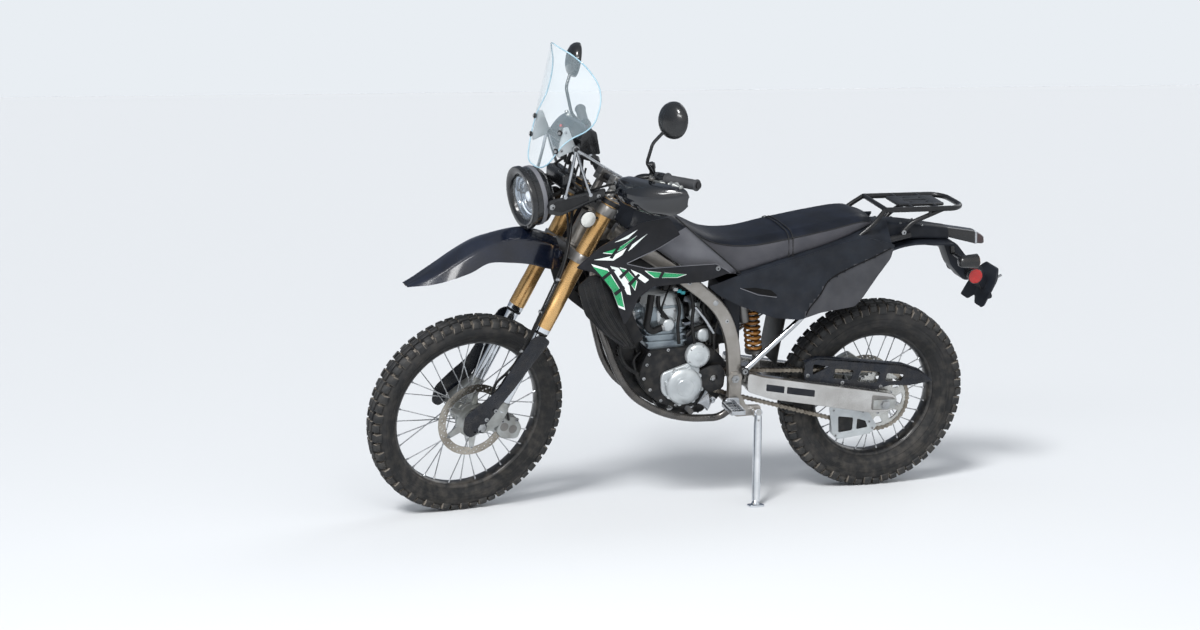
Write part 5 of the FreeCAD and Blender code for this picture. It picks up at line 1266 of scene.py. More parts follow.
class BIKE_OT_lamp_bracket(Piece, bpy.types.Operator):
    """Lamp arms on the fork tubes, struts and plates for the screen"""
    bl_idname = "bike.lamp_bracket"
    bl_label = "Lamp bracket"

    def make(self):
        f = Form(FORKS)
        arm = [(1262, 1104), (1262, 1060), (1220, 1048), (1100, 1088), (1062, 1096), (1062, 1130), (1110, 1124)]
        inset = [(1244, 1098), (1246, 1070), (1216, 1060), (1118, 1094), (1128, 1112)]
        for f.side in (1, -1):
            f.plate(arm, 103.3, 109, "lamp_black", ease=1.5, radius=8)
            f.plate(inset, 108.5, 110, "tube_black", ease=0.6, radius=6)
            f.lathe(steer(FORK_OFFSET, FORK_SPAN, 1188), STEER_UP, [(0, 29), (1, 33), (15, 33), (16, 29)],
                "tube_black", 32)
            f.plate([(1078, 1092), (1104, 1088), (1106, 1120), (1062, 1122)], 98, 108, "tube_black", ease=2)
            f.lathe((1250, 94, 1082), Y, [(0, 13), (9, 12)], "tube_black", 20)
            f.bolt((1250, 109, 1082), Y, 7, high=6)
            f.bolt((1086, 109, 1106), Y, 5)
            f.tube([(1206, 108, 1112), (1190, 106, 1190), (1180, 104, 1262)], 5, "strut_steel", 14, bend=30)
            f.tube([(1116, 108, 1112), (1150, 106, 1190), (1178, 104, 1262)], 5, "strut_steel", 14, bend=30)
            for x in (1206, 1116):
                f.rod((x, 101, 1112), (x, 112, 1112), 7, "strut_steel", 16)
            f.plate([(1170, 1258), (1192, 1256), (1236, 1240), (1237.6, 1252), (1224.2, 1338), (1208, 1340)], 88, 93,
                    "cover_silver", ease=1, radius=5)
            f.bolt((1216, 93, 1322), Y, 4.5)
            f.bolt((1226, 93, 1262), Y, 4.5)
            f.tube([(1176, 106, 1264), (1090, 120, 1212), (1000, 132, 1158)], 4.5, "strut_steel", 14)
            f.rod((1000, 122, 1158), (1000, 140, 1158), 7, "strut_steel", 16)
        f.side = 1
        f.box(1146, 1196, -62, 62, 1118, 1170, "lamp_black", ease=10, steps=3)
        for pts, r in (([(1150, 20, 1196), (1176, 60, 1160), (1130, 84, 1110), (1070, 62, 1070)], 4.2),
                       ([(1146, -24, 1200), (1184, -66, 1150), (1120, -70, 1090), (1060, -40, 1052)], 4.2),
                       ([(1120, 70, 1190), (1136, 82, 1130), (1098, 70, 1070)], 3.4),
                       ([(1190, 40, 1120), (1150, 60, 1076), (1090, 50, 1040)], 5)):
            f.tube(pts, r, "hose_black", 10, bend=36)
        f.rod((1178, -109, 1266), (1178, 109, 1266), 8, "tube_black", 24, ease=2)
        for y in (-96, 96):
            f.lathe((1178, y - 6, 1266), Y, [(0, 10), (1, 11.5), (11, 11.5), (12, 10)], "bolt_steel", 24)
        f.done("headlamp_bracket", "steering", "frame_black", "lamp_bracket")


SCREEN = [(-62, 1190), (-112, 1300), (-168, 1352), (-172, 1440), (-160, 1500), (-120, 1548), (-60, 1572), (60, 1572),
          (120, 1548), (160, 1500), (172, 1440), (168, 1352), (112, 1300), (62, 1190)]


def screen_axis(z):
    """The x of the line that the screen is bent round, at height z."""
    return 1085 - (z - 1100) * 0.155


def on_screen(y, z, k):
    """The screen's front surface, or its back for k = 1."""
    r = 205.0 - 3.6 * k
    return Vector((screen_axis(z) + math.sqrt(r * r - min(abs(y), r - 1) ** 2), y, z))


class BIKE_OT_windscreen(Piece, bpy.types.Operator):
    """Clear bent screen with polished edges; their brightness is a painted highlight"""
    bl_idname = "bike.windscreen"
    bl_label = "Windscreen"

    def make(self):
        f = Form(FORKS)
        outline = rounded(SCREEN, 46, 6)
        f.sheet(outline, on_screen, "screen_clear", radius=0, step=14, ease=0)
        # A pale, nearly opaque tube round the rim: painted highlight on the screen's edge
        loop = [on_screen(p.x, p.y, 0.5) for p in outline]
        f.tube(loop + loop[:2], 2.3, "screen_edge", 8)
        f.done("windscreen_sheet", "steering", "screen_clear", "windscreen", bend=60)
        f = Form(FORKS)
        for y, z in ((91, 1322), (-91, 1322), (91, 1262), (-91, 1262)):
            p = on_screen(y, z, 0)
            d = Vector((p.x - screen_axis(z), p.y, 0)).normalized()
            f.lathe(p - d * 6, d, [(0, 6), (6.2, 9), (8.4, 9), (9.6, 7), (10.2, 0.1)], "hose_black", 20)
            f.lathe(p - d * 6, d, [(8, 5.5), (11.5, 5.2), (12.5, 3), (12.6, 0.1)], "bolt_steel", 16)
        f.done("windscreen_screws", "steering", "steel")


class BIKE_OT_instrument(Piece, bpy.types.Operator):
    """Instrument with its display and lights"""
    bl_idname = "bike.instrument"
    bl_label = "Instrument"

    def make(self):
        f = Form(FORKS)
        f.plate([(1074, 1234), (1096, 1312), (1128, 1318), (1150, 1296), (1150, 1240)], -76, 76, "lamp_black", ease=7,
                radius=8, steps=3)
        f.box(1146, 1169, -40, 40, 1256, 1276, "tube_black", ease=3)
        lean, out = Vector((22, 0, 78)).normalized(), Vector((-78, 0, 22)).normalized()

        def face(a, b, k):
            return Vector((1074, 0, 1234)) + lean * b + Y * a + out * (0.6 + 1.2 * (1 - k))
        f.prism([[(-62, 12), (62, 12), (62, 70), (-62, 70)]], face, "display", ease=0.5)
        for i in range(5):
            f.lathe(face(-44 + i * 22, 74, 1), out, [(0, 3.4), (1.2, 3.2), (1.8, 0.1)],
                    ("amber_lens", "line_green", "red_lens", "line_green", "pale_lens")[i], 16)
        for y in (-30, 30):
            f.lathe(face(y, 6, 1), out, [(0, 5.5), (3, 5), (3.4, 0.1)], "grip_rubber", 20)
        f.lathe((1152, -62, 1290), (0.3, 0, 1), [(0, 5), (4, 5), (6, 3), (6.5, 0.1)], "red_lens", 16)
        for y in (-50, 0, 50):
            f.tube([(1150, y, 1262), (1160, y * 0.8, 1238), (1160, y * 0.4, 1190)], 4, "hose_black", 10, bend=20)
        f.done("instrument_panel", "steering", "lamp_black", "instrument")


class BIKE_OT_handlebar(Piece, bpy.types.Operator):
    """Handlebar, switch housings, levers, reservoir and cables"""
    bl_idname = "bike.handlebar"
    bl_label = "Handlebar"

    def make(self):
        f = Form(FORKS)
        half = [Vector(p) for p in BAR]
        path = [Vector((p.x, -p.y, p.z)) for p in reversed(half)] + half
        f.tube(path, 11.1, "tube_black", 24, bend=60, steps=8)
        for f.side in (1, -1):
            a = bar_at(240)
            f.lathe(a, BAR_D, [(0, 15), (1.5, 19), (20, 20), (22, 19.4), (24, 20), (42, 19), (44, 15)], "lamp_black",
                28)
            f.lathe(a + Vector((6, 14, 14)), (0.2, 0, 1), [(0, 7), (6, 6.5), (7, 5)], "grip_rubber", 16)
            f.lathe(a + Vector((-14, 20, 6)), (-1, 0, 0.3), [(0, 6), (7, 5.5), (8, 4)],
                    "red_lens" if f.side < 0 else "grip_rubber", 16)
            p = bar_at(226)
            f.lathe(p, BAR_D, [(0, 13), (1, 15), (13, 15), (14, 13)], "clamp_grey", 24)
            f.tube([bar_at(232), (985, 258, 1205)], 9, "clamp_grey", 16)
            f.lathe((985, 262, 1197), (0, 0, 1), [(0, 9), (1, 10), (13, 10), (14, 9)], "clamp_grey", 24)
            f.bolt((985, 262, 1211), (0, 0, 1), 4)
            f.tube([(985, 262, 1204), (982, 280, 1206), (972, 312, 1210), (960, 352, 1216), (956, 388, 1221),
                    (957, 396, 1222)], [6, 6.5, 6.2, 5.6, 6.4, 4.0], "hub_alloy", 14, squash=0.7, bend=12)
            f.lathe((957, 394, 1222), (0.1, 1, 0.1), [(-6, 4), (-3, 7), (0, 7.6), (3, 7), (5, 4), (6, 0.1)],
                "hub_alloy", 20)
        f.side = -1
        f.plate([(966, 1206), (1012, 1204), (1014, 1234), (968, 1238)], 204, 246, "lamp_black", ease=5, radius=8,
            steps=3)
        for x in (978, 1004):
            f.lathe((x, 225, 1236), (0.05, 0, 1), [(0, 4), (2, 3.6), (2.3, 0.1)], "bolt_steel", 12)
        f.tube([(985, 262, 1204), (990, 236, 1204)], 9, "lamp_black", 16)
        f.tube([bar_at(270), (940, 236, 1170), (1030, 150, 1120), (1090, 60, 1090)], 3.6, "hose_black", 10, bend=50)
        f.side = 1
        f.tube([(990, 262, 1204), (1040, 226, 1196), (1090, 140, 1150), (1120, 60, 1100)], 3.8, "hose_black", 10,
            bend=50)
        f.tube([(962, 246, 1190), (1000, 200, 1150), (1060, 100, 1110), (1110, 20, 1090)], 4.4, "hose_black", 10,
            bend=50)
        f.done("handlebar_controls", "steering", "frame_black", "handlebar")
        g = Form(FORKS)
        for g.side in (1, -1):
            rows = [(0, 14), (0, 22), (3, 22.5), (5, 19), (7, 16)]
            for i in range(27):
                rows += [(8 + i * 4, 15.8), (9 + i * 4, 16.6), (11 + i * 4, 16.6), (12 + i * 4, 15.8)]
            rows += [(118, 16), (120, 18.5), (124, 18.8), (126, 17), (127, 12), (127.2, 0.1)]
            g.lathe(bar_at(284.3), BAR_D, rows, "grip_rubber", 32)
        g.done("rubber_grips", "steering", "grip_rubber", "grips")


class BIKE_OT_hand_guards(Piece, bpy.types.Operator):
    """Glossy hand guards"""
    bl_idname = "bike.hand_guards"
    bl_label = "Hand guards"

    def make(self):
        f = Form(FORKS)
        rings = []
        for y, xf, d, zc, h in smooth_rows(GUARD, 8):
            line = rounded([(xf - d, zc + h), (xf - d * 0.4, zc + h * 0.94), (xf - d * 0.04, zc + h * 0.4),
                (xf, zc - h * 0.2), (xf - d * 0.14, zc - h * 0.72), (xf - d * 0.55, zc - h)], 22, 5, closed=False)
            back = [(p.x - 3.6, zc + (p.y - zc) * (1 - 3.0 / h)) for p in reversed(line)]
            rings.append([Vector((a, y, b)) for a, b in [(p.x, p.y) for p in line] + back])
        for f.side in (1, -1):
            f.skin(rings, "guard_gloss")
            f.tube([(986, 122, 1141), (1030, 150, 1150), (1074, 188, 1176)], 6, "tube_black", 14, bend=24)
            f.lathe((986, 112, 1136), (-0.15, 0.78, 0.6), [(0, 15), (1, 16.5), (18, 16.5), (19, 15)], "tube_black",
                24)
            p = Vector((1076, 196, 1180))
            f.bolt(p + Vector((2.5, 0, 0)), (1, 0, 0), 5)
            f.tube([(1002, 150, 1160), (1000, 200, 1190), bar_at(222)], 6, "tube_black", 14, bend=20)
        f.done("hand_guard_shells", "steering", "guard_gloss", "hand_guards", bend=30)


class BIKE_OT_mirrors(Piece, bpy.types.Operator):
    """Round mirrors on jointed stalks"""
    bl_idname = "bike.mirrors"
    bl_label = "Mirrors"

    def make(self):
        f = Form(FORKS)
        c = Vector((968, 334, 1422))
        for f.side in (1, -1):
            d = Vector((1, 0.3 if f.side < 0 else 0.24, 0.12)).normalized()
            f.tube([(961, 228, 1208), (1010, 262, 1262), (1018, 300, 1340), (990, 326, 1392)],
                   5.4, "lamp_black", 14, bend=14, steps=5)
            f.lathe(c, d, [(-1.5, 54), (-2, 57.5), (0, 58.5), (8, 58.3), (17, 55), (25, 48), (31, 36), (34, 20),
                (35, 0.1)], "lamp_black", 48)
            f.lathe(c, d, [(-1.5, 54.4), (-1.2, 0.1)], "mirror_glass", 48)
            f.lathe((961, 228, 1196), (0.25, 0, 1), [(0, 12), (2, 13), (18, 12), (20, 10), (34, 10), (36, 12.5),
                (52, 12), (56, 7)], "lamp_black", 20)
            f.lathe((985, 328, 1388), (-0.35, 0.1, 1), [(-10, 8), (-8, 10), (10, 10), (14, 8)], "lamp_black", 20)
        f.done("mirror_pair", "steering", "lamp_black", "mirrors")


class BIKE_OT_front_brake(Piece, bpy.types.Operator):
    """Front brake caliper"""
    bl_idname = "bike.front_brake"
    bl_label = "Front brake"

    def make(self):
        f = Form(FORKS)
        body = [(1292, 262), (1278, 300), (1300, 342), (1352, 350), (1372, 300), (1352, 270)]
        f.plate(body, 61.2, 77.5, "hub_alloy", ease=4, radius=12, steps=3)
        f.plate(body, 43, 55.4, "hub_alloy", ease=4, radius=12, steps=3)
        f.plate([(1290, 280), (1284, 306), (1302, 334), (1316, 330), (1300, 284)], 50, 66, "hub_alloy", ease=3,
            radius=6)
        f.plate([(1340, 290), (1372, 330), (1418, 366), (1410, 400), (1370, 390), (1330, 340)], 66, 77, "hub_alloy",
                ease=3, radius=10)
        for x, z in ((1312, 300), (1344, 312)):
            f.lathe((x, 76, z), Y, [(0, 15), (2, 15), (3, 13), (3.4, 0.1)], "clamp_grey", 28)
        for x, z in ((1392, 384), (1352, 334), (1300, 332)):
            f.bolt((x, 77, z), Y, 5.5)
        f.lathe((1334, 76, 340), Y, [(0, 4), (6, 4), (7, 2.5), (11, 2.5)], "bolt_steel", 12)
        f.done("front_brake_caliper", "steering", "engine_alloy", "front_caliper")


# Frame and engine
SPAR = [  # x, y, z, height of the section
    (985, 40, 955, 60), (860, 62, 876, 50), (735, 104, 792, 46), (640, 108, 715, 46), (597, 108, 655, 46),
    (568, 108, 574, 46), (555, 108, 486, 46), (549, 108, 425, 46), (548, 108, 345, 46)]
CRADLE = [(1030, 20, 700), (1004, 45, 610), (958, 80, 480), (903, 92, 396), (800, 92, 334), (700, 92, 308),
          (590, 92, 306), (550, 100, 340)]
RAIL = [(616, 108, 740), (470, 104, 800), (200, 96, 872), (-60, 80, 920)]
CASE = [(868, 505), (880, 450), (850, 402), (800, 362), (740, 344), (615, 343), (585, 365), (572, 420),
        (572, 500), (620, 548), (700, 556), (850, 548)]


CLUTCH = Vector((724, 0, 426))


def blocks(form, rows, corner, name):
    """A rounded block through rows of x0, x1, half width, and the heights at x0 and x1."""
    rings = []
    for x0, x1, half, z0, z1 in rows:
        section = rounded([(x0, -half), (x1, -half), (x1, half), (x0, half)], corner, 4)
        rings.append([Vector((p.x, p.y, z0 + (z1 - z0) * (p.x - x0) / (x1 - x0))) for p in section])
    form.skin(rings, name)


def beam(form, rows, wide, name, corner=7):
    """A boxed spar along a line."""
    rows = smooth_rows(rows, 6)
    rings = []
    for i, (x, y, z, h) in enumerate(rows):
        a, b = rows[max(i - 1, 0)], rows[min(i + 1, len(rows) - 1)]
        t = Vector((b[0] - a[0], 0, b[2] - a[2])).normalized()
        up = Vector((-t.z, 0, t.x))
        sec = rounded([(-wide / 2, -h / 2), (wide / 2, -h / 2), (wide / 2, h / 2), (-wide / 2, h / 2)], corner, 4)
        rings.append([Vector((x, y, z)) + Y * p.x + up * p.y for p in sec])
    form.skin(rings, name)


class BIKE_OT_frame(Piece, bpy.types.Operator):
    """Boxed spars, cradle, steering head and the pivot plates"""
    bl_idname = "bike.frame"
    bl_label = "Frame"

    def make(self):
        f = Form()
        f.lathe(steer(0, 0, 1008.4), STEER_UP, [(0, 30), (1, 33), (9, 33), (11, 31), (130, 31), (132, 33), (140, 33),
                                                (141.2, 30)], "frame_silver", 40)
        f.tube([(1044, 0, 925), (1030, 0, 860), (1024, 0, 800), (1028, 0, 700)], 17, "frame_silver", 24, bend=50)
        f.rod((1028, -34, 699), (1028, 34, 699), 15, "frame_silver", 24, ease=3)
        f.plate([(1030, 880), (1044, 950), (1000, 960), (900, 915), (960, 860), (1024, 800)], -12, 12, "frame_silver",
                ease=4, radius=14)
        f.rod((548, -108, 352), (548, 108, 352), 14, "frame_silver", 24)
        f.rod((640, -108, 722), (640, 108, 722), 13, "frame_silver", 24)
        f.rod((690, -92, 307), (690, 92, 307), 9, "cradle_grey", 20)
        f.rod((PIVOT.x, -124, PIVOT.z), (PIVOT.x, 124, PIVOT.z), 8.6, "bolt_steel", 24)
        for f.side in (1, -1):
            beam(f, SPAR, 30, "frame_silver")
            f.tube(CRADLE, 12.5, "cradle_grey", 20, bend=60, steps=6)
            for p, d in (((1024, 26, 688), (-26, 25, -90)), ((556, 98, 333), (-34, 8, 30))):
                f.lathe(p, d, [(-10, 12.5), (-6, 14), (6, 14), (10, 12.5)], "cradle_grey", 20)
            f.lathe((PIVOT.x, 122, PIVOT.z), Y, [(0, 24), (2, 25), (4, 24), (5, 17), (5.5, 16)], "frame_silver", 36)
            f.lathe((PIVOT.x, 126, PIVOT.z), Y, [(0, 15), (6, 14.5), (7, 12), (7, 6), (4, 5), (3.8, 0.1)],
                "bolt_steel", 6)
            f.lathe((640, 122, 720), Y, [(0, 10), (2, 10), (3, 8)], "bolt_steel", 6)
            f.bolt((735, 119, 792), Y, 6)
            f.bolt((596, 123, 655), Y, 5)
            f.tube([(985, 40, 955), (930, 48, 925)], 22, "frame_silver", 16)
        f.side = 1
        f.plate([(525, 392), (575, 392), (560, 330), (540, 315), (452, 318), (452, 350), (505, 352)], 104, 122,
                "frame_silver", ease=3, radius=9)
        f.plate([(540, 372), (560, 380), (552, 340), (520, 336)], 121, 123, "frame_silver", ease=1, radius=6)
        f.plate([(525, 392), (578, 392), (606, 350), (604, 326), (530, 326)], -122, -104, "frame_silver", ease=3,
            radius=9)
        for x, z in ((545, 340), (478, 334)):
            f.bolt((x, 122, z), Y, 5)
        stand_lug(f)
        f.done("main_frame", "chassis", "frame_silver", "frame")


def stand_line():
    """Pivot, foot and axis of the side stand, in millimetres of the row frame."""
    pivot = Vector(JOINTS["side_stand"]["pos_m"]) * 1000
    return pivot, Vector((pivot.x + 30, pivot.y + 62, 0)), Vector(JOINTS["side_stand"]["axis"]).normalized()


def stand_lug(f):
    """The stand's bolt and cheek on the frame."""
    pivot, foot, axis = stand_line()
    axis = -axis if axis.y > 0 else axis
    back = BIKE.inverted()
    p = back @ (pivot / 1000)
    d = (back @ ((pivot + axis) / 1000) - p).normalized()
    f.rod(p - d * 16, p + d * 30, 6, "bolt_steel", 16)
    f.lathe(p - d * 15.5, d, [(0, 10), (1, 11), (5.2, 11)], "bolt_steel", 6)
    f.lathe(p + d * 10.3, d, [(0, 15), (1, 16), (14, 16), (16, 14)], "frame_silver", 24)


class BIKE_OT_side_stand(Piece, bpy.types.Operator):
    """Side stand with its foot"""
    bl_idname = "bike.side_stand"
    bl_label = "Side stand"

    def make(self):
        f = Form(Matrix.Scale(0.001, 4))
        pivot, foot, axis = stand_line()
        d = (foot - pivot).normalized()
        f.lathe(pivot - axis * 9.8, axis, [(0, 12), (1.5, 14), (18, 14), (19.6, 12)], "fork_chrome", 32)
        f.tube([pivot + d * 4, pivot + d * 60, foot - d * 40, foot - d * 8], [13, 14.5, 14, 13], "fork_chrome", 24)
        f.lathe(foot + Vector((0, 0, 5)), -d, [(0, 15), (3, 16), (10, 13), (24, 10)], "fork_chrome", 24)
        hull = rounded([(-27, -20), (27, -20), (27, 20), (-27, 20)], 12, 5)
        f.prism([hull], lambda a, b, k: (foot.x + a, foot.y + b, 0.2 + 6.6 * k), "fork_chrome", ease=1.6)
        p = pivot + d * 26
        f.rod(p - axis * 14, p + axis * 14, 4, "bolt_steel", 12)
        f.done("side_stand_leg", "side_stand", "steel", "side_stand")


class BIKE_OT_subframe(Piece, bpy.types.Operator):
    """Subframe rails with stays and ties"""
    bl_idname = "bike.subframe"
    bl_label = "Subframe"

    def make(self):
        f = Form()
        for f.side in (1, -1):
            f.tube(RAIL, 11, "tube_black", 20, bend=70, steps=6)
            f.lathe((616, 108, 740), (-146, -4, 60), [(-6, 12), (4, 13.5), (16, 13.5), (20, 11)], "tube_black", 20)
        for path in ([(527, 134, 482), (330, 122, 655), (120, 93, 884)], [(552, -100, 500), (330, -84, 655),
                (120, -90, 884)]):
            f.side = 1
            f.tube(path, 10, "strut_steel", 20, bend=50, steps=6)
            p = Vector(path[0])
            out = outward(p.y)
            f.lathe(p - out * 13, out, [(0, 13), (1, 14), (22, 14), (23, 13)], "tube_black", 24)
            f.bolt(p + out * 10, out, 7)
        for x, y, z in ((420, 100, 813.5), (170, 92, 877.5), (-40, 78, 916)):
            f.rod((x, -y, z), (x, y, z), 9, "tube_black", 16)
        f.box(250, 392, -70, 70, 802, 836, "panel_dark", ease=8)
        f.plate([(340, 806), (352, 730), (368, 640), (384, 520), (388, 478), (392, 478), (389, 520), (373, 640),
            (358, 730), (350, 806)], -78, 78, "hose_black", ease=1)
        f.done("rear_subframe", "chassis", "frame_black", "subframe")


class BIKE_OT_engine(Piece, bpy.types.Operator):
    """Crankcase, side covers, finned cylinder and head"""
    bl_idname = "bike.engine"
    bl_label = "Engine"

    def make(self):
        f = Form()
        f.plate(CASE, -78, 66, "case_black", ease=5, radius=16, steps=3)
        f.plate(CASE[:5] + [(662, 343), (662, 553)] + CASE[-2:], 60, 78, "case_black", ease=4, radius=12, steps=3)
        f.plate([(815, 366), (790, 330), (720, 318), (640, 318), (620, 350)], -64, 64, "case_black", ease=6,
            radius=14)
        f.plate([(580, 490), (545, 478), (532, 455), (545, 430), (580, 420)], -28, 28, "case_black", ease=5,
            radius=10)
        for i in range(6):
            f.box(650 + i * 24, 654 + i * 24, -58, 58, 313, 324, "case_black", ease=1.2)
        f.lathe((760, 64, 344), (0, 0.9, -0.3), [(-4, 12), (6, 12), (7, 10)], "bolt_steel", 6)
        for y in (78, -78):
            for x, z in ((858, 500), (866, 452), (842, 412), (796, 372), (742, 354), (852, 536), (704, 545),
                    (780, 549)):
                f.bolt((x - 6 if x > 800 else x, y, z), outward(y), 4)
        f.lathe((DRIVE.x, 60, DRIVE.z), Y, [(0, 13), (10, 13), (12, 11), (24, 11), (25, 9)], "bolt_steel", 20)
        sprocket(f, DRIVE, FRONT_TEETH, CHAIN_Y - 3.4, CHAIN_Y + 3.4, 0, 10)
        f.tube([(640, 62, 556), (660, 60, 600), (700, 52, 620)], 6, "hose_black", 12, bend=30)
        for y in (-34, 10):
            f.plate([(896, 612), (984, 608), (984, 580), (950, 500), (950, 478), (896, 398), (800, 338), (788, 350),
                (850, 402), (878, 450), (868, 505)], y, y + 6, "case_black", ease=1.5, radius=8)
        f.plate([(884, 604), (936, 598), (934, 512), (888, 506)], 4, 40, "case_black", ease=3, radius=6)
        for i in range(7):
            f.box(937, 944, 8, 36, 518 + i * 11, 522 + i * 11, "case_black", ease=0.8)
        f.tube([(884, 50, 600), (930, 60, 596), (950, 66, 560), (930, 74, 500), (880, 78, 470)], 7, "hose_black", 12,
            bend=30)
        f.tube([(874, 60, 540), (900, 70, 520), (890, 82, 470), (860, 84, 420)], 5, "hose_black", 12, bend=24)
        f.done("crankcase_castings", "chassis", "engine_black", "crankcase")
        f = Form()
        f.lathe(CLUTCH + Y * 78, Y, [(0, 63), (2, 64.5), (22, 64), (27, 62), (31, 57), (34.5, 50), (36, 42),
            (36, 0.1)], "cover_silver", 72)
        f.lathe(CLUTCH + Y * 113.5, Y, [(0, 41), (0.8, 40), (0.9, 30), (2.0, 29), (2.2, 0.1)], "cover_silver", 60)
        f.bolt_ring(CLUTCH, 57, 104, 8, 4, 0.2)
        for x, z in ring_outline(CLUTCH, 62, 8, 0.2):
            f.lathe((x, 80, z), Y, [(0, 8), (20, 8), (23, 6.5)], "cover_silver", 16)
        f.plate([(806, 470), (800, 400), (750, 365), (664, 372), (664, 450), (672, 500), (700, 506)], 78, 92,
                "cover_silver", ease=4, radius=20, steps=3)
        f.plate([(672, 478), (640, 490), (600, 496), (580, 470), (582, 412), (640, 396), (672, 400)], 87, 96,
            "case_black", ease=2.5, radius=14, holes=[ring_outline(Vector((618, 0, 446)), 13, 20)[::-1]])
        f.lathe((680, 78, 530), Y, [(0, 41), (2, 42), (18, 42), (24, 38), (27, 30), (28, 0.1)], "cover_silver", 56)
        f.lathe((680, 105, 530), Y, [(0, 16), (3, 16), (4, 13), (4.4, 0.1)], "cover_silver", 6)
        f.bolt_ring(Vector((680, 0, 530)), 35, 101, 5, 3.6, 0.7)
        f.lathe((650, -78, 440), -Y, [(0, 71), (2, 72), (24, 72), (31, 66), (34, 56), (34.5, 0.1)], "case_black", 64)
        f.lathe((745, -78, 430), -Y, [(0, 59), (2, 60), (20, 60), (25, 54), (26, 0.1)], "case_black", 56)
        f.bolt_ring(Vector((650, 0, 440)), 64, -106, 9, 4, 0.3)
        f.bolt_ring(Vector((745, 0, 430)), 53, -100, 6, 4, 0.3)
        f.done("engine_side_covers", "chassis", "engine_alloy", "engine_covers")
        f = Form()
        blocks(f, [(712, 846, 60, 555, 548), (734, 868, 60, 684, 676)], 16, "head_alloy")
        for i in range(3):
            z, x = 574 + i * 22, 707 + i * 4
            blocks(f, [(x, x + 150, 66, z, z - 5), (x + 1, x + 151, 66, z + 6, z + 1)], 18, "head_alloy")
        blocks(f, [(722, 866, 67, 652, 644), (724, 868, 68, 660, 652), (731, 872, 68, 700, 692),
            (733, 872, 66, 703, 695)], 14, "head_alloy")
        blocks(f, [(736, 868, 64, 702, 694), (740, 866, 62, 716, 708), (758, 850, 50, 740, 734),
            (764, 844, 42, 743, 738)], 16, "cover_silver")
        for x, y in ((742, 56), (742, -56), (858, 56), (858, -56), (800, 62), (800, -62)):
            f.bolt((x, y, 703), (0, 0, 1), 5)
        f.rod((740, 0, 668), (704, 0, 664), 26, "hose_black", 28)
        f.rod((850, 0, 660), (884, 0, 654), 22, "head_alloy", 28)
        f.lathe((804, 66, 668), (0.1, 1, 0.25), [(0, 9), (6, 9), (7, 6), (26, 5.5)], "hose_black", 16)
        f.tube([(808, 90, 676), (820, 96, 700), (800, 84, 748), (780, 60, 770)], 3.4, "hose_black", 10, bend=24)
        f.plate([(752, 640), (820, 636), (826, 688), (758, 694)], 60, 71, "cover_silver", ease=4, radius=10)
        for x, z in ((762, 650), (814, 646), (764, 684), (816, 680)):
            f.bolt((x, 71, z), Y, 3.4)
        f.tube([(850, 74, 742), (858, 86, 690), (866, 87, 640), (846, 87, 618), (806, 84, 632)], 12, "hose_black", 18,
            bend=26)
        f.lathe((812, 84, 630), (-1, 0, 0.3), [(0, 13), (1, 14), (8, 14), (9, 13)], "bolt_steel", 24)
        f.lathe((790, 62, 640), Y, [(0, 27), (14, 26), (20, 22), (30, 20), (34, 15), (35, 0.1)], "cover_silver", 32)
        f.tube([(824, 70, 736), (826, 80, 700), (800, 84, 668), (776, 82, 640)], 7, "hose_black", 12, bend=20)
        f.tube([(760, 70, 730), (748, 82, 690), (756, 84, 640), (744, 78, 570)], 6, "hose_black", 12, bend=24)
        f.done("cylinder_and_head", "chassis", "engine_alloy", "cylinder")


class BIKE_OT_intake(Piece, bpy.types.Operator):
    """Air box, throttle body and the wiring above the engine"""
    bl_idname = "bike.intake"
    bl_label = "Intake"

    def make(self):
        f = Form()
        blocks(f, [(524, 618, 70, 562, 600), (530, 604, 76, 690, 682), (518, 600, 78, 740, 726),
                   (502, 598, 78, 782, 763)], 14, "panel_dark")
        f.lathe((590, 0, 651.3), (113.7, 0, 12.6), [(0, 30), (20, 29), (30, 26), (40, 27), (50, 24), (62, 25),
            (113, 25)], "hose_black", 28)
        f.plate([(664, 632), (694, 630), (694, 698), (664, 700)], -40, 42, "cover_silver", ease=6, radius=8, steps=3)
        f.lathe((679, 42, 664), Y, [(0, 22), (2, 22), (3, 19), (4, 0.1)], "cover_silver", 32)
        f.tube([(679, 40, 700), (700, 44, 760), (800, 40, 800), (900, 30, 830)], 3.6, "hose_black", 10, bend=40)
        f.tube([(670, 20, 700), (680, 30, 770), (760, 60, 800)], 5, "hose_black", 10, bend=40)
        f.box(548, 640, -34, 34, 545, 690, "hose_black", ease=12, steps=3)
        f.box(720, 800, -44, 44, 742, 792, "hose_black", ease=8, steps=3)
        for i, key in enumerate(("plug_white", "plug_teal", "plug_teal")):
            x, z = 774 - i * 13, 764 - i * 6
            f.box(x - 7, x + 7, 86, 100, z - 5, z + 6, key, ease=1.5)
            f.tube([(x - 7, 93, z), (x - 30, 88, z + 6), (x - 60, 70, z + 10)], 2.2, "hose_black", 8, bend=14)
        f.lathe((655, 8, 592), Y, [(0, 24), (2, 26), (52, 26), (54, 24), (62, 23), (66, 18), (67, 0.1)],
            "cover_silver", 36)
        f.lathe((664, -84, 596), (0.2, 0, 1), [(0, 18), (5, 29), (108, 29), (114, 22), (116, 0.1)], "hose_black", 32)
        f.tube([(700, 92, 700), (660, 96, 652), (628, 90, 606)], 5.5, "strut_steel", 12, bend=20)
        for y, r, pts in ((84, 6, [(716, 748), (702, 700), (706, 640), (690, 566)]),
                          (72, 7, [(620, 740), (650, 730), (668, 690), (640, 640), (630, 566)]),
                          (60, 8, [(600, 620), (640, 624), (690, 612), (712, 590)]),
                          (50, 5, [(740, 744), (760, 770), (820, 776), (880, 806)]),
                          (90, 4, [(590, 700), (612, 660), (628, 600), (622, 540)])):
            f.tube([(x, y, z) for x, z in pts], r, "hose_black", 12, bend=30)
        f.done("air_box_and_throttle", "chassis", "panel_black", "air_box")


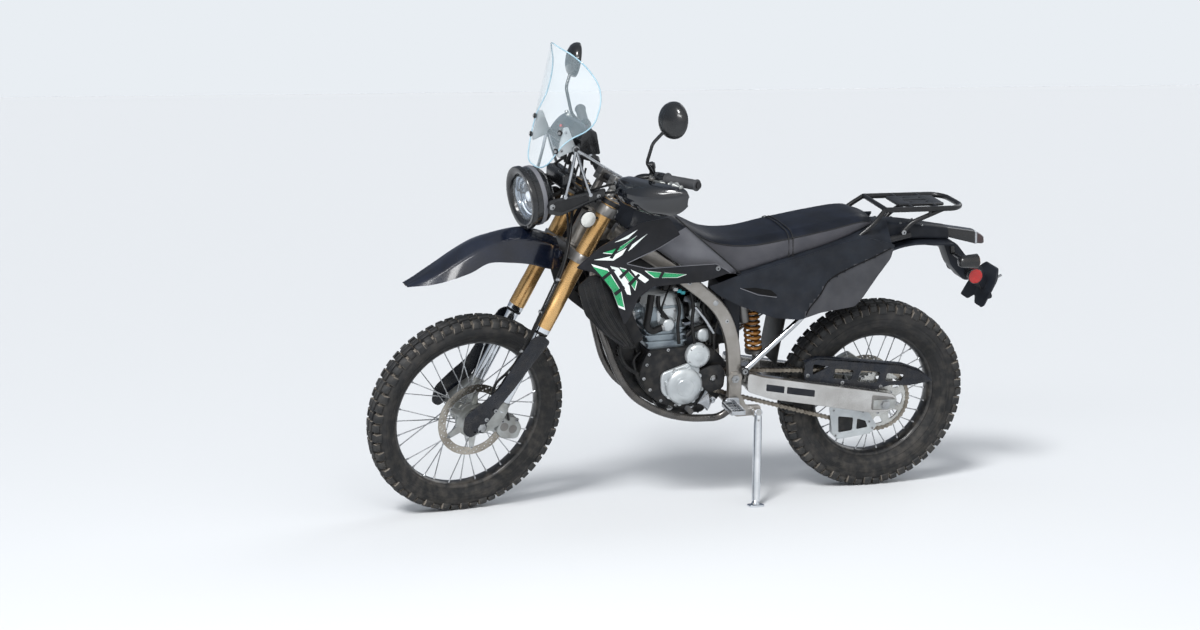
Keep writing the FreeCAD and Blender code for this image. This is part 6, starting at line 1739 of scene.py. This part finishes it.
class BIKE_OT_radiators(Piece, bpy.types.Operator):
    """Radiator cores with their louvres and hoses"""
    bl_idname = "bike.radiators"
    bl_label = "Radiators"

    def make(self):
        f = Form()
        for f.side in (1, -1):
            core = [(1036, 823), (1006, 838), (907, 624), (936, 610)]
            f.plate(core, 66, 170, "radiator_black", ease=3)
            a, b = Vector((1036, 0, 823)), Vector((936, 0, 610))
            d = b - a
            for i in range(30):
                p = a + d * ((i + 0.7) / 31)
                f.box(p.x - 0.5, p.x + 2.6, 72, 164, p.z - 0.7, p.z + 0.7, "radiator_black", ease=0)
            for y in (66, 160):
                f.plate([(1044, 828), (1008, 846), (900, 620), (938, 602)], y, y + 11, "radiator_black", ease=3,
                    radius=8)
            f.plate([(1138, 811), (1106, 713), (1050, 657), (968, 594), (924, 594), (940, 613), (1053, 845),
                (1099, 847)], 172, 179, "radiator_black", ease=2, radius=12)
            for i in range(9):
                x, z = 968 + 13.5 * i, 626 + 24.6 * i
                f.plate([(x, z), (x + 27, z - 12), (x + 29.5, z - 8), (x + 3, z + 4)], 132, 175, "radiator_black",
                    ease=0.8)
            f.plate([(963, 607), (1088, 832), (1096, 828), (971, 603)], 130, 135, "radiator_black", ease=1)
            for k in range(4):
                f.tube([(1062 + 19 * k, 179, 838 - 6 * k), (1036 + 18 * k, 180, 756 - 9 * k),
                    (992 + 15 * k, 180, 676 - 8 * k), (944 + 8 * k, 179, 604)], 3.4, "tube_black", 8, bend=40)
        f.side = 1
        f.tube([(1020, 66, 800), (980, 30, 770), (900, 10, 730), (868, 0, 704)], 13, "hose_black", 18, bend=60)
        f.tube([(925, 72, 640), (900, 60, 600), (880, 40, 560), (866, 30, 530)], 12, "hose_black", 18, bend=40)
        f.tube([(1020, -66, 800), (1000, 0, 812), (1020, 66, 800)], 11, "hose_black", 18, bend=60)
        for p, d in (((906, 12, 733), (-8, -2, -4)), ((896, 57, 592), (-2, -2, -4))):
            f.lathe(p, d, [(-5, 14), (-4, 15), (4, 15), (5, 14)], "bolt_steel", 24)
        f.lathe((1012, 118, 838), (0.2, 0, 1), [(0, 16), (6, 16), (7, 20), (12, 20), (13, 18), (13.2, 0.1)],
            "cover_silver", 24)
        f.done("radiator_cores", "chassis", "engine_black", "radiators")


class BIKE_OT_exhaust(Piece, bpy.types.Operator):
    """Header pipe, silencer and heat shield"""
    bl_idname = "bike.exhaust"
    bl_label = "Exhaust"

    def make(self):
        f = Form()
        f.tube([(884.4, 0, 654), (908, 0, 650), (928, -42, 600), (912, -88, 558), (850, -132, 536), (700, -146, 532),
                (560, -148, 566), (436, -152, 652)], 19, "exhaust_steel", 24, bend=60, steps=7)
        f.lathe((884, 0, 654), (24, 0, -4), [(0, 27), (1, 29), (7, 29), (8, 27)], "bolt_steel", 28)
        a, d = Vector((430, -152, 656)), Vector((-490, -16, 156)).normalized()
        f.lathe(a, d, [(-34, 20), (-32, 24), (-4, 47), (0, 50), (4, 51.5), (22, 52)], "exhaust_steel", 48)
        f.lathe(a, d, [(20, 52.3), (22, 52.6), (474, 52.6), (476, 52.3)], "can_black", 48)
        f.lathe(a, d, [(474, 52), (490, 52), (505, 50), (515, 42), (517, 22), (516, 19)], "exhaust_steel", 48)
        f.lathe(a, d, [(500, 16), (562, 16), (562, 20), (500, 20)], "exhaust_steel", 28, loop=True)
        for s in (60, 300, 440):
            f.lathe(a, d, [(s, 53), (s + 0.5, 54.4), (s + 17.5, 54.4), (s + 18, 53)], "strut_steel", 48)
        u = d.cross(Y).normalized()
        w = d.cross(u)
        for i in range(10):
            out = u * cos(2 * pi * i / 10) + w * sin(2 * pi * i / 10)
            f.lathe(a + d * 486 + out * 51.6, out, [(0, 3), (1.4, 2.6), (1.8, 0.1)], "bolt_steel", 10)
        f.plate([(120, 772), (168, 772), (160, 860), (136, 860)], -122, -108, "tube_black", ease=3, radius=8)
        f.bolt((145, -122, 800), -Y, 6)
        f.tube([(700, -146, 532), (640, -147, 544), (560, -148, 566)], 23, "strut_steel", 24, bend=30)
        f.done("exhaust_system", "chassis", "exhaust_steel", "exhaust")


# Rear end
ARM = [(508, 470), (449, 452), (313, 428), (51, 382), (-30, 368), (-46, 352), (-46, 318), (-16, 304),
       (52, 304), (270, 345), (418, 372), (508, 404)]


class BIKE_OT_swingarm(Piece, bpy.types.Operator):
    """Polished swingarm, axle with its adjusters"""
    bl_idname = "bike.swingarm"
    bl_label = "Swingarm"

    def make(self):
        f = Form()
        for f.side in (1, -1):
            f.plate(ARM, 92.5, 127.5, "arm_alloy", ease=11, radius=14, steps=4)
            f.plate([(500, 402), (545, 434), (565, 440), (570, 453), (565, 466), (550, 474), (500, 448)], 32, 60,
                    "arm_alloy", ease=4, radius=10)
            f.plate([(48, 368), (-34, 356), (-38, 322), (-16, 312), (48, 314)], 126, 129.5, "clamp_grey", ease=1,
                radius=8)
        f.side = 1
        for label in ([(440, 428), (374, 416), (374, 392), (440, 404)], [(364, 414), (262, 397), (262, 373),
                (364, 390)]):
            f.plate(label, 126.8, 128, "panel_dark", ease=0.2, radius=3)
        f.box(432, 500, -92, 92, 400, 446, "arm_alloy", ease=8, steps=3)
        f.box(470, 512, -60, 60, 404, 446, "arm_alloy", ease=4)
        f.box(300, 505, 84, 93, 418, 428, "hose_black", ease=2)
        f.done("swingarm_beam", "chassis", "polished_alloy", "swingarm")
        f = Form()
        f.rod((0, -142, 334), (0, 142, 334), 8.5, "bolt_steel", 24)
        for f.side in (1, -1):
            f.box(-40, 44, 128.5, 134, 317, 351, "hub_alloy", ease=2)
            f.box(-30, 30, 133, 135, 324, 344, "hub_alloy", ease=0.8)
            f.lathe((0, 134, 334), Y, [(0, 20), (1.5, 20), (2, 15.5), (9, 15), (10, 13)], "bolt_steel", 6)
            f.lathe((-40, 131, 334), (-1, 0, 0), [(0, 6), (1, 7), (4, 7)], "bolt_steel", 6)
            f.rod((-52, 131, 334), (-36, 131, 334), 4, "bolt_steel", 12)
        f.side = 1
        f.lathe((0, 84.3, 334), Y, [(0, 18), (3, 18), (4, 15), (7.7, 15)], "hub_alloy", 28)
        f.lathe((0, -92, 334), Y, [(0, 15), (17, 15), (18, 18), (19.7, 18)], "hub_alloy", 28)
        f.done("rear_axle_bolt", "chassis", "steel", "rear_axle")


class BIKE_OT_shock(Piece, bpy.types.Operator):
    """Rear shock with a wound spring"""
    bl_idname = "bike.shock"
    bl_label = "Rear shock"

    def make(self):
        f = Form()
        lo, hi = Vector((436, 0, 453)), Vector((478, 0, 724))
        d = (hi - lo).normalized()
        n = (hi - lo).length
        u = d.cross(Y).normalized()
        f.lathe(lo, d, [(0, 9), (4, 12), (20, 12), (24, 8), (n * 0.6, 8)], "fork_chrome", 24)
        f.lathe(lo, d, [(n * 0.17, 24), (n * 0.18, 30), (n * 0.22, 31), (n * 0.225, 20)], "clamp_grey", 36)
        f.lathe(lo, d, [(n * 0.5, 20), (n * 0.8, 21), (n * 0.84, 27), (n * 0.98, 26), (n, 18)], "clamp_grey", 32)
        f.lathe(lo, d, [(n * 0.775, 22), (n * 0.78, 30.5), (n * 0.82, 30.5), (n * 0.825, 22)], "spring_orange", 36)
        turns, path = look().spring_turns, []
        steps = turns * 20
        for i in range(steps + 1):
            t, a = i / steps, 2 * pi * turns * i / steps
            path.append(lo + d * (n * (0.235 + 0.53 * t)) + (u * cos(a) + Y * sin(a)) * 25.0)
        f.tube(path, 5.2, "spring_orange", 12)
        f.plate([(424, 446.6), (450, 446.6), (450, 472), (424, 472)], -16, 16, "clamp_grey", ease=4)
        f.rod((480, -95, 728), (480, 95, 728), 12, "tube_black", 24)
        f.rod((500, 34, 620), (520, 34, 716), 19, "clamp_grey", 28, ease=4)
        f.tube([(500, 10, 716), (506, 24, 728), (518, 34, 716)], 5, "hose_black", 12, bend=10)
        f.done("rear_shock", "chassis", "spring_orange", "shock_absorber")


class BIKE_OT_chain_guard(Piece, bpy.types.Operator):
    """Chain guard with cut-outs, and the chain guide"""
    bl_idname = "bike.chain_guard"
    bl_label = "Chain guard"

    def make(self):
        f = Form()
        outline = [(294, 484), (248, 501), (118, 486), (-71, 462), (-141, 436), (-191, 397), (-98, 385), (-30, 390),
                   (20, 377), (290, 424.4)]
        holes = [[(262, 440), (262, 480), (200, 468)], [(180, 460), (186, 425), (120, 414), (110, 450)],
                 [(85, 448), (95, 408), (20, 400), (10, 438)], [(-15, 434), (-10, 404), (-70, 402), (-80, 425)]]
        f.plate(outline, 92, 97, "blade_black", ease=1.2, radius=9, holes=[rounded(h, 7, 3) for h in holes])
        f.plate([(296, 486), (248, 503), (118, 488), (-71, 464), (-141, 438), (-189, 399), (-139, 431), (-71, 456),
                 (118, 480), (248, 495)], 74, 97, "blade_black", ease=1.2, radius=4)
        for x, z in ((280, 440), (6, 386), (150, 408)):
            f.bolt((x, 97, z), Y, 5)
        side = [(188, 322), (169, 219), (149, 199), (26, 214), (3, 242), (41, 296), (120, 322)]
        holes = [[(80, 232), (80, 272), (48, 262), (38, 238)], [(95, 230), (95, 276), (152, 284), (146, 224)]]
        f.plate(side, 87, 90.4, "cover_silver", ease=1, radius=12, holes=[rounded(h, 6, 3) for h in holes])
        f.plate([(172, 280), (169, 219), (149, 199), (26, 214), (10, 240), (60, 262)], 64, 67, "cover_silver", ease=1,
                radius=10, holes=[rounded(h, 6, 3) for h in holes])
        f.plate([(149, 199), (26, 214), (28, 220), (152, 205)], 64, 90, "hose_black", ease=1.5)
        f.plate([(158, 230), (158, 288), (30, 274), (26, 228)], 84, 87.2, "hose_black", ease=0.6, radius=6)
        for x, z in ((170, 306), (60, 296), (20, 234), (156, 214), (100, 308), (34, 258)):
            f.bolt((x, 90.4, z), Y, 3.4)
        f.done("chain_guard_and_guide", "chassis", "panel_black", "chain_guard")
        f = Form()
        body = [(40, 398), (20, 436), (60, 462), (104, 440), (110, 404), (78, 388)]
        f.plate(body, -85.6, -65.6, "hub_alloy", ease=4, radius=10, steps=3)
        f.plate(body, -59.4, -48.4, "hub_alloy", ease=3, radius=10, steps=3)
        f.plate([(30, 436), (60, 456), (94, 438), (60, 446)], -66, -58, "hub_alloy", ease=1)
        f.plate([(46, 396), (70, 420), (60, 340), (20, 352), (10, 364), (14, 380)], -86, -75, "hub_alloy", ease=3,
            radius=8)
        for x, z in ((52, 440), (88, 424)):
            f.bolt((x, -85.6, z), -Y, 6)
        f.done("rear_brake_caliper", "chassis", "engine_alloy", "rear_caliper")


class BIKE_OT_foot_controls(Piece, bpy.types.Operator):
    """Toothed footpegs, gear lever and brake pedal"""
    bl_idname = "bike.foot_controls"
    bl_label = "Foot controls"

    def make(self):
        f = Form()
        for f.side in (1, -1):
            f.plate([(540, 391), (585, 391), (599, 366), (560, 353), (536, 361)], 123.5, 140, "strut_steel", ease=3,
                radius=8)
            f.lathe((579, 141, 371), Y, [(-8, 12), (-7, 14), (6, 14), (7, 12)], "strut_steel", 24)
            for x0 in (555, 600):
                f.box(x0 - 2, x0 + 2, 142, 238, 363, 379, "strut_steel", ease=0.8)
                for i in range(12):
                    y = 148 + i * 7.6
                    f.skin([[(x0 - 2, y, 378), (x0 + 2, y, 378), (x0 + 2, y + 5, 378), (x0 - 2, y + 5, 378)],
                        [(x0 - 1.4, y + 2, 382), (x0 + 1.4, y + 2, 382), (x0 + 1.4, y + 3, 382),
                        (x0 - 1.4, y + 3, 382)]], "strut_steel")
            for y in (146, 170, 194, 218, 236):
                f.box(555, 600, y - 2, y + 2, 364, 378, "strut_steel", ease=0.8)
            f.box(560, 596, 150, 232, 366, 372, "strut_steel", ease=1)
            f.bolt((568, 140, 371), Y, 5)
        f.side = 1
        f.rod((630, 66.5, 380), (630, 122, 380), 7, "strut_steel", 20)
        f.lathe((630, 108, 380), Y, [(0, 11), (1, 12), (14, 12), (15, 10)], "strut_steel", 24)
        f.tube([(630, 117, 380), (668, 122, 378), (716, 128, 356)], [9, 7.5, 7], "strut_steel", 16, bend=24,
            squash=0.7)
        rows = [(0, 8)]
        for i in range(8):
            rows += [(1 + i * 5, 9.2), (3.5 + i * 5, 9.2), (4 + i * 5, 8.4), (5.6 + i * 5, 8.4)]
        f.lathe((716, 119, 356), Y, rows, "grip_rubber", 24)
        f.lathe((592, -146, 338), Y, [(0, 10), (1, 11), (22, 11), (23, 10)], "strut_steel", 24)
        f.tube([(592, -140, 338), (660, -146, 322), (742, -152, 348)], [7.5, 7, 6.5], "strut_steel", 16, bend=30)
        f.box(724, 758, -170, -134, 351, 361, "strut_steel", ease=2.5)
        for i in range(6):
            f.box(728 + i * 5, 730 + i * 5, -168, -136, 360, 363, "strut_steel", ease=0.5)
        f.done("pegs_and_pedals", "chassis", "steel", "foot_controls")


class BIKE_OT_tail(Piece, bpy.types.Operator):
    """Rear fender, tail and the bare plate holder"""
    bl_idname = "bike.tail"
    bl_label = "Tail"

    def make(self):
        f = Form()
        line = rounded([(392, 690), (330, 760), (200, 806), (60, 852), (-60, 893), (-225, 884)], 60, 6, closed=False)
        up, low = [], []
        for i, p in enumerate(line):
            a, b = line[max(i - 1, 0)], line[min(i + 1, len(line) - 1)]
            t = (b - a).normalized()
            n = Vector((-t.y, t.x))
            n = n if n.y > 0 else -n
            up.append(p + n * 3)
            low.append(p - n * 3)
        rings = []
        for a, b in zip(up, low):
            across = (-84, -78, -40, 0, 40, 78, 84)
            sec = [Vector((a.x, y, a.y - 4.0 * (abs(y) / 84) ** 4)) for y in across]
            rings.append(sec + [Vector((b.x, y, b.y - 4.0 * (abs(y) / 84) ** 4)) for y in reversed(across)])
        f.skin(rings, "panel_dark")
        rows = [(60, 60, 850, 50, 956), (-60, 60, 893, 46, 950), (-225, 44, 886, 32, 926)]
        f.skin(moulded(rows, 16, crown=2, per_span=6, steps=4), "panel_dark")
        arm = [(-205, 889), (-262, 870), (-322, 802), (-372, 780), (-422, 668), (-400, 662), (-352, 740), (-303, 735),
               (-250, 790), (-222, 850)]
        f.plate(arm, -33, 33, "panel_dark", ease=4, radius=14, steps=3)
        holder = rounded([(-86, -64), (-26, -64), (0, -40), (26, -64), (86, -64), (80, 30), (48, 64), (-48, 64),
                          (-80, 30)], 9, 4)

        def hung(a, b, k):
            return -390 - b * 0.484 + (4.5 if k else -4.5), a, 714 + b * 0.97 + (-2.2 if k else 2.2)
        f.prism([holder], hung, "panel_dark", ease=1.5)
        for y in (-60, 60):
            f.lathe((-418, y, 752), (-0.9, 0, 0.44), [(-6, 5), (12, 5), (14, 4)], "bolt_steel", 6)
        for y in (44, -44):
            for x in (20, -40, -120):
                f.bolt((x, y * 0.9, between([(60, 957), (-60, 951), (-225, 927)], x) - 2), (0, 0.1, 1), 4)
        f.done("rear_fender_and_tail", "chassis", "panel_black", "rear_fender", bend=32)


class BIKE_OT_rear_lamps(Piece, bpy.types.Operator):
    """Tail lamp, indicators and round side reflectors"""
    bl_idname = "bike.rear_lamps"
    bl_label = "Rear lamps"

    def make(self):
        f = Form()

        def shell(rows, name, corner=9):
            f.skin(moulded(rows, corner, crown=1.5, per_span=6, steps=4), name)
        shell([(-225.5, 40, 893, 30, 925), (-330, 34, 866, 26, 908), (-340, 33, 865, 25, 905)], "lamp_black")
        shell([(-340, 32, 866, 24, 904), (-360, 29, 863, 23, 894), (-368, 27, 864, 21, 888)], "dark_lens")
        shell([(-331, 34.6, 865.4, 26.6, 908.6), (-339, 33.8, 864.6, 25.8, 906.2)], "strut_steel")
        for f.side in (1, -1):
            f.rod((-248, 32, 836), (-248, 128, 836), 7, "lamp_black", 20)
            f.tube([(-246, 30, 860), (-248, 36, 836)], 9, "lamp_black", 14)
            f.lathe((-220, 142, 836), (-1, 0, 0), [(0, 8), (3, 15), (10, 19), (40, 23), (64, 25), (68, 25.4)],
                "lamp_black", 40)
            f.lathe((-220, 142, 836), (-1, 0, 0), [(66, 23.6), (70, 23), (74, 17), (76, 8), (76.4, 0.1)],
                "amber_lens", 40)
            f.lathe((-317, 72, 766), Y, [(0, 20), (8, 26), (16, 27.5), (18, 26)], "lamp_black", 36)
            f.lathe((-317, 90, 766), Y, [(-0.5, 25.6), (1, 24), (2, 12), (2.4, 0.1)], "red_lens", 36)
            f.plate([(-330, 782), (-300, 776), (-302, 752), (-334, 752)], 32, 74, "lamp_black", ease=3)
        f.done("rear_lights", "chassis", "lamp_lens", "rear_lamps")


class BIKE_OT_rack(Piece, bpy.types.Operator):
    """Tubular rear rack with its bolt deck"""
    bl_idname = "bike.rack"
    bl_label = "Rear rack"

    def make(self):
        f = Form()
        f.tube([(46, 95, 1012), (-214, 95, 1012), (-250, 60, 1012), (-250, -60, 1012), (-214, -95, 1012),
            (46, -95, 1012)], 9, "tube_black", 20, bend=34, steps=7)
        for x in (40, -60, -150):
            f.rod((x, -92, 1012), (x, 92, 1012), 8, "tube_black", 20)
        corners_at = [pi / 4 + pi / 2 * i for i in range(4)]
        holes = [[(-105 + 42 * cos(a) + x, 42 * sin(a) + y) for x, y in ring_outline(Vector(), 4.3, 16)]
                 for a in corners_at]
        slot = rounded([(-150, -4), (-60, -4), (-60, 4), (-150, 4)], 4, 3)
        deck = rounded([(-190, -58), (-20, -58), (-20, 58), (-190, 58)], 12, 4)
        f.prism([deck] + holes + [slot], lambda a, b, k: (a, b, 1012.2 + 7.6 * k), "tube_black", ease=0.8)
        for f.side in (1, -1):
            f.tube([(46, 95, 1012), (92, 117, 972), (150, 117, 925), (196, 106, 880)], 8, "tube_black", 18, bend=30,
                steps=6)
            f.tube([(-170, 92, 1010), (-60, 82, 962), (-30, 81, 926)], 8, "tube_black", 18, bend=30, steps=6)
            f.bolt((193, 112, 884), (0.2, 1, 0), 6)
            f.bolt((-34, 88, 930), (0.1, 1, 0), 6)
            f.rod((-120, 95, 1012), (-120, 95, 986), 5, "tube_black", 14)
        f.done("rear_luggage_rack", "chassis", "frame_black", "rear_rack")


PIECES = Piece.__subclasses__()  # in the order in which they are written


class BIKE_PT_panel(bpy.types.Panel):
    """Sizes, colours and pieces of the motorcycle"""
    bl_idname = "BIKE_PT_panel"
    bl_label = "Motorcycle"
    bl_space_type = "VIEW_3D"
    bl_region_type = "UI"
    bl_category = "Motorcycle"

    def draw(self, context):
        for key in BikeLook.__annotations__:
            self.layout.prop(context.scene.bike_look, key)
        for piece in PIECES:
            self.layout.operator(piece.bl_idname)


CLASSES = [BikeLook, *PIECES, BIKE_PT_panel]


def register():
    for c in CLASSES:
        bpy.utils.register_class(c)
    bpy.types.Scene.bike_look = PointerProperty(type=BikeLook)


def unregister():
    del bpy.types.Scene.bike_look
    for c in reversed(CLASSES):
        bpy.utils.unregister_class(c)


def main():
    register()
    for piece in PIECES:
        getattr(bpy.ops.bike, piece.bl_idname.split(".")[1])()


if __name__ == "__main__":
    main()
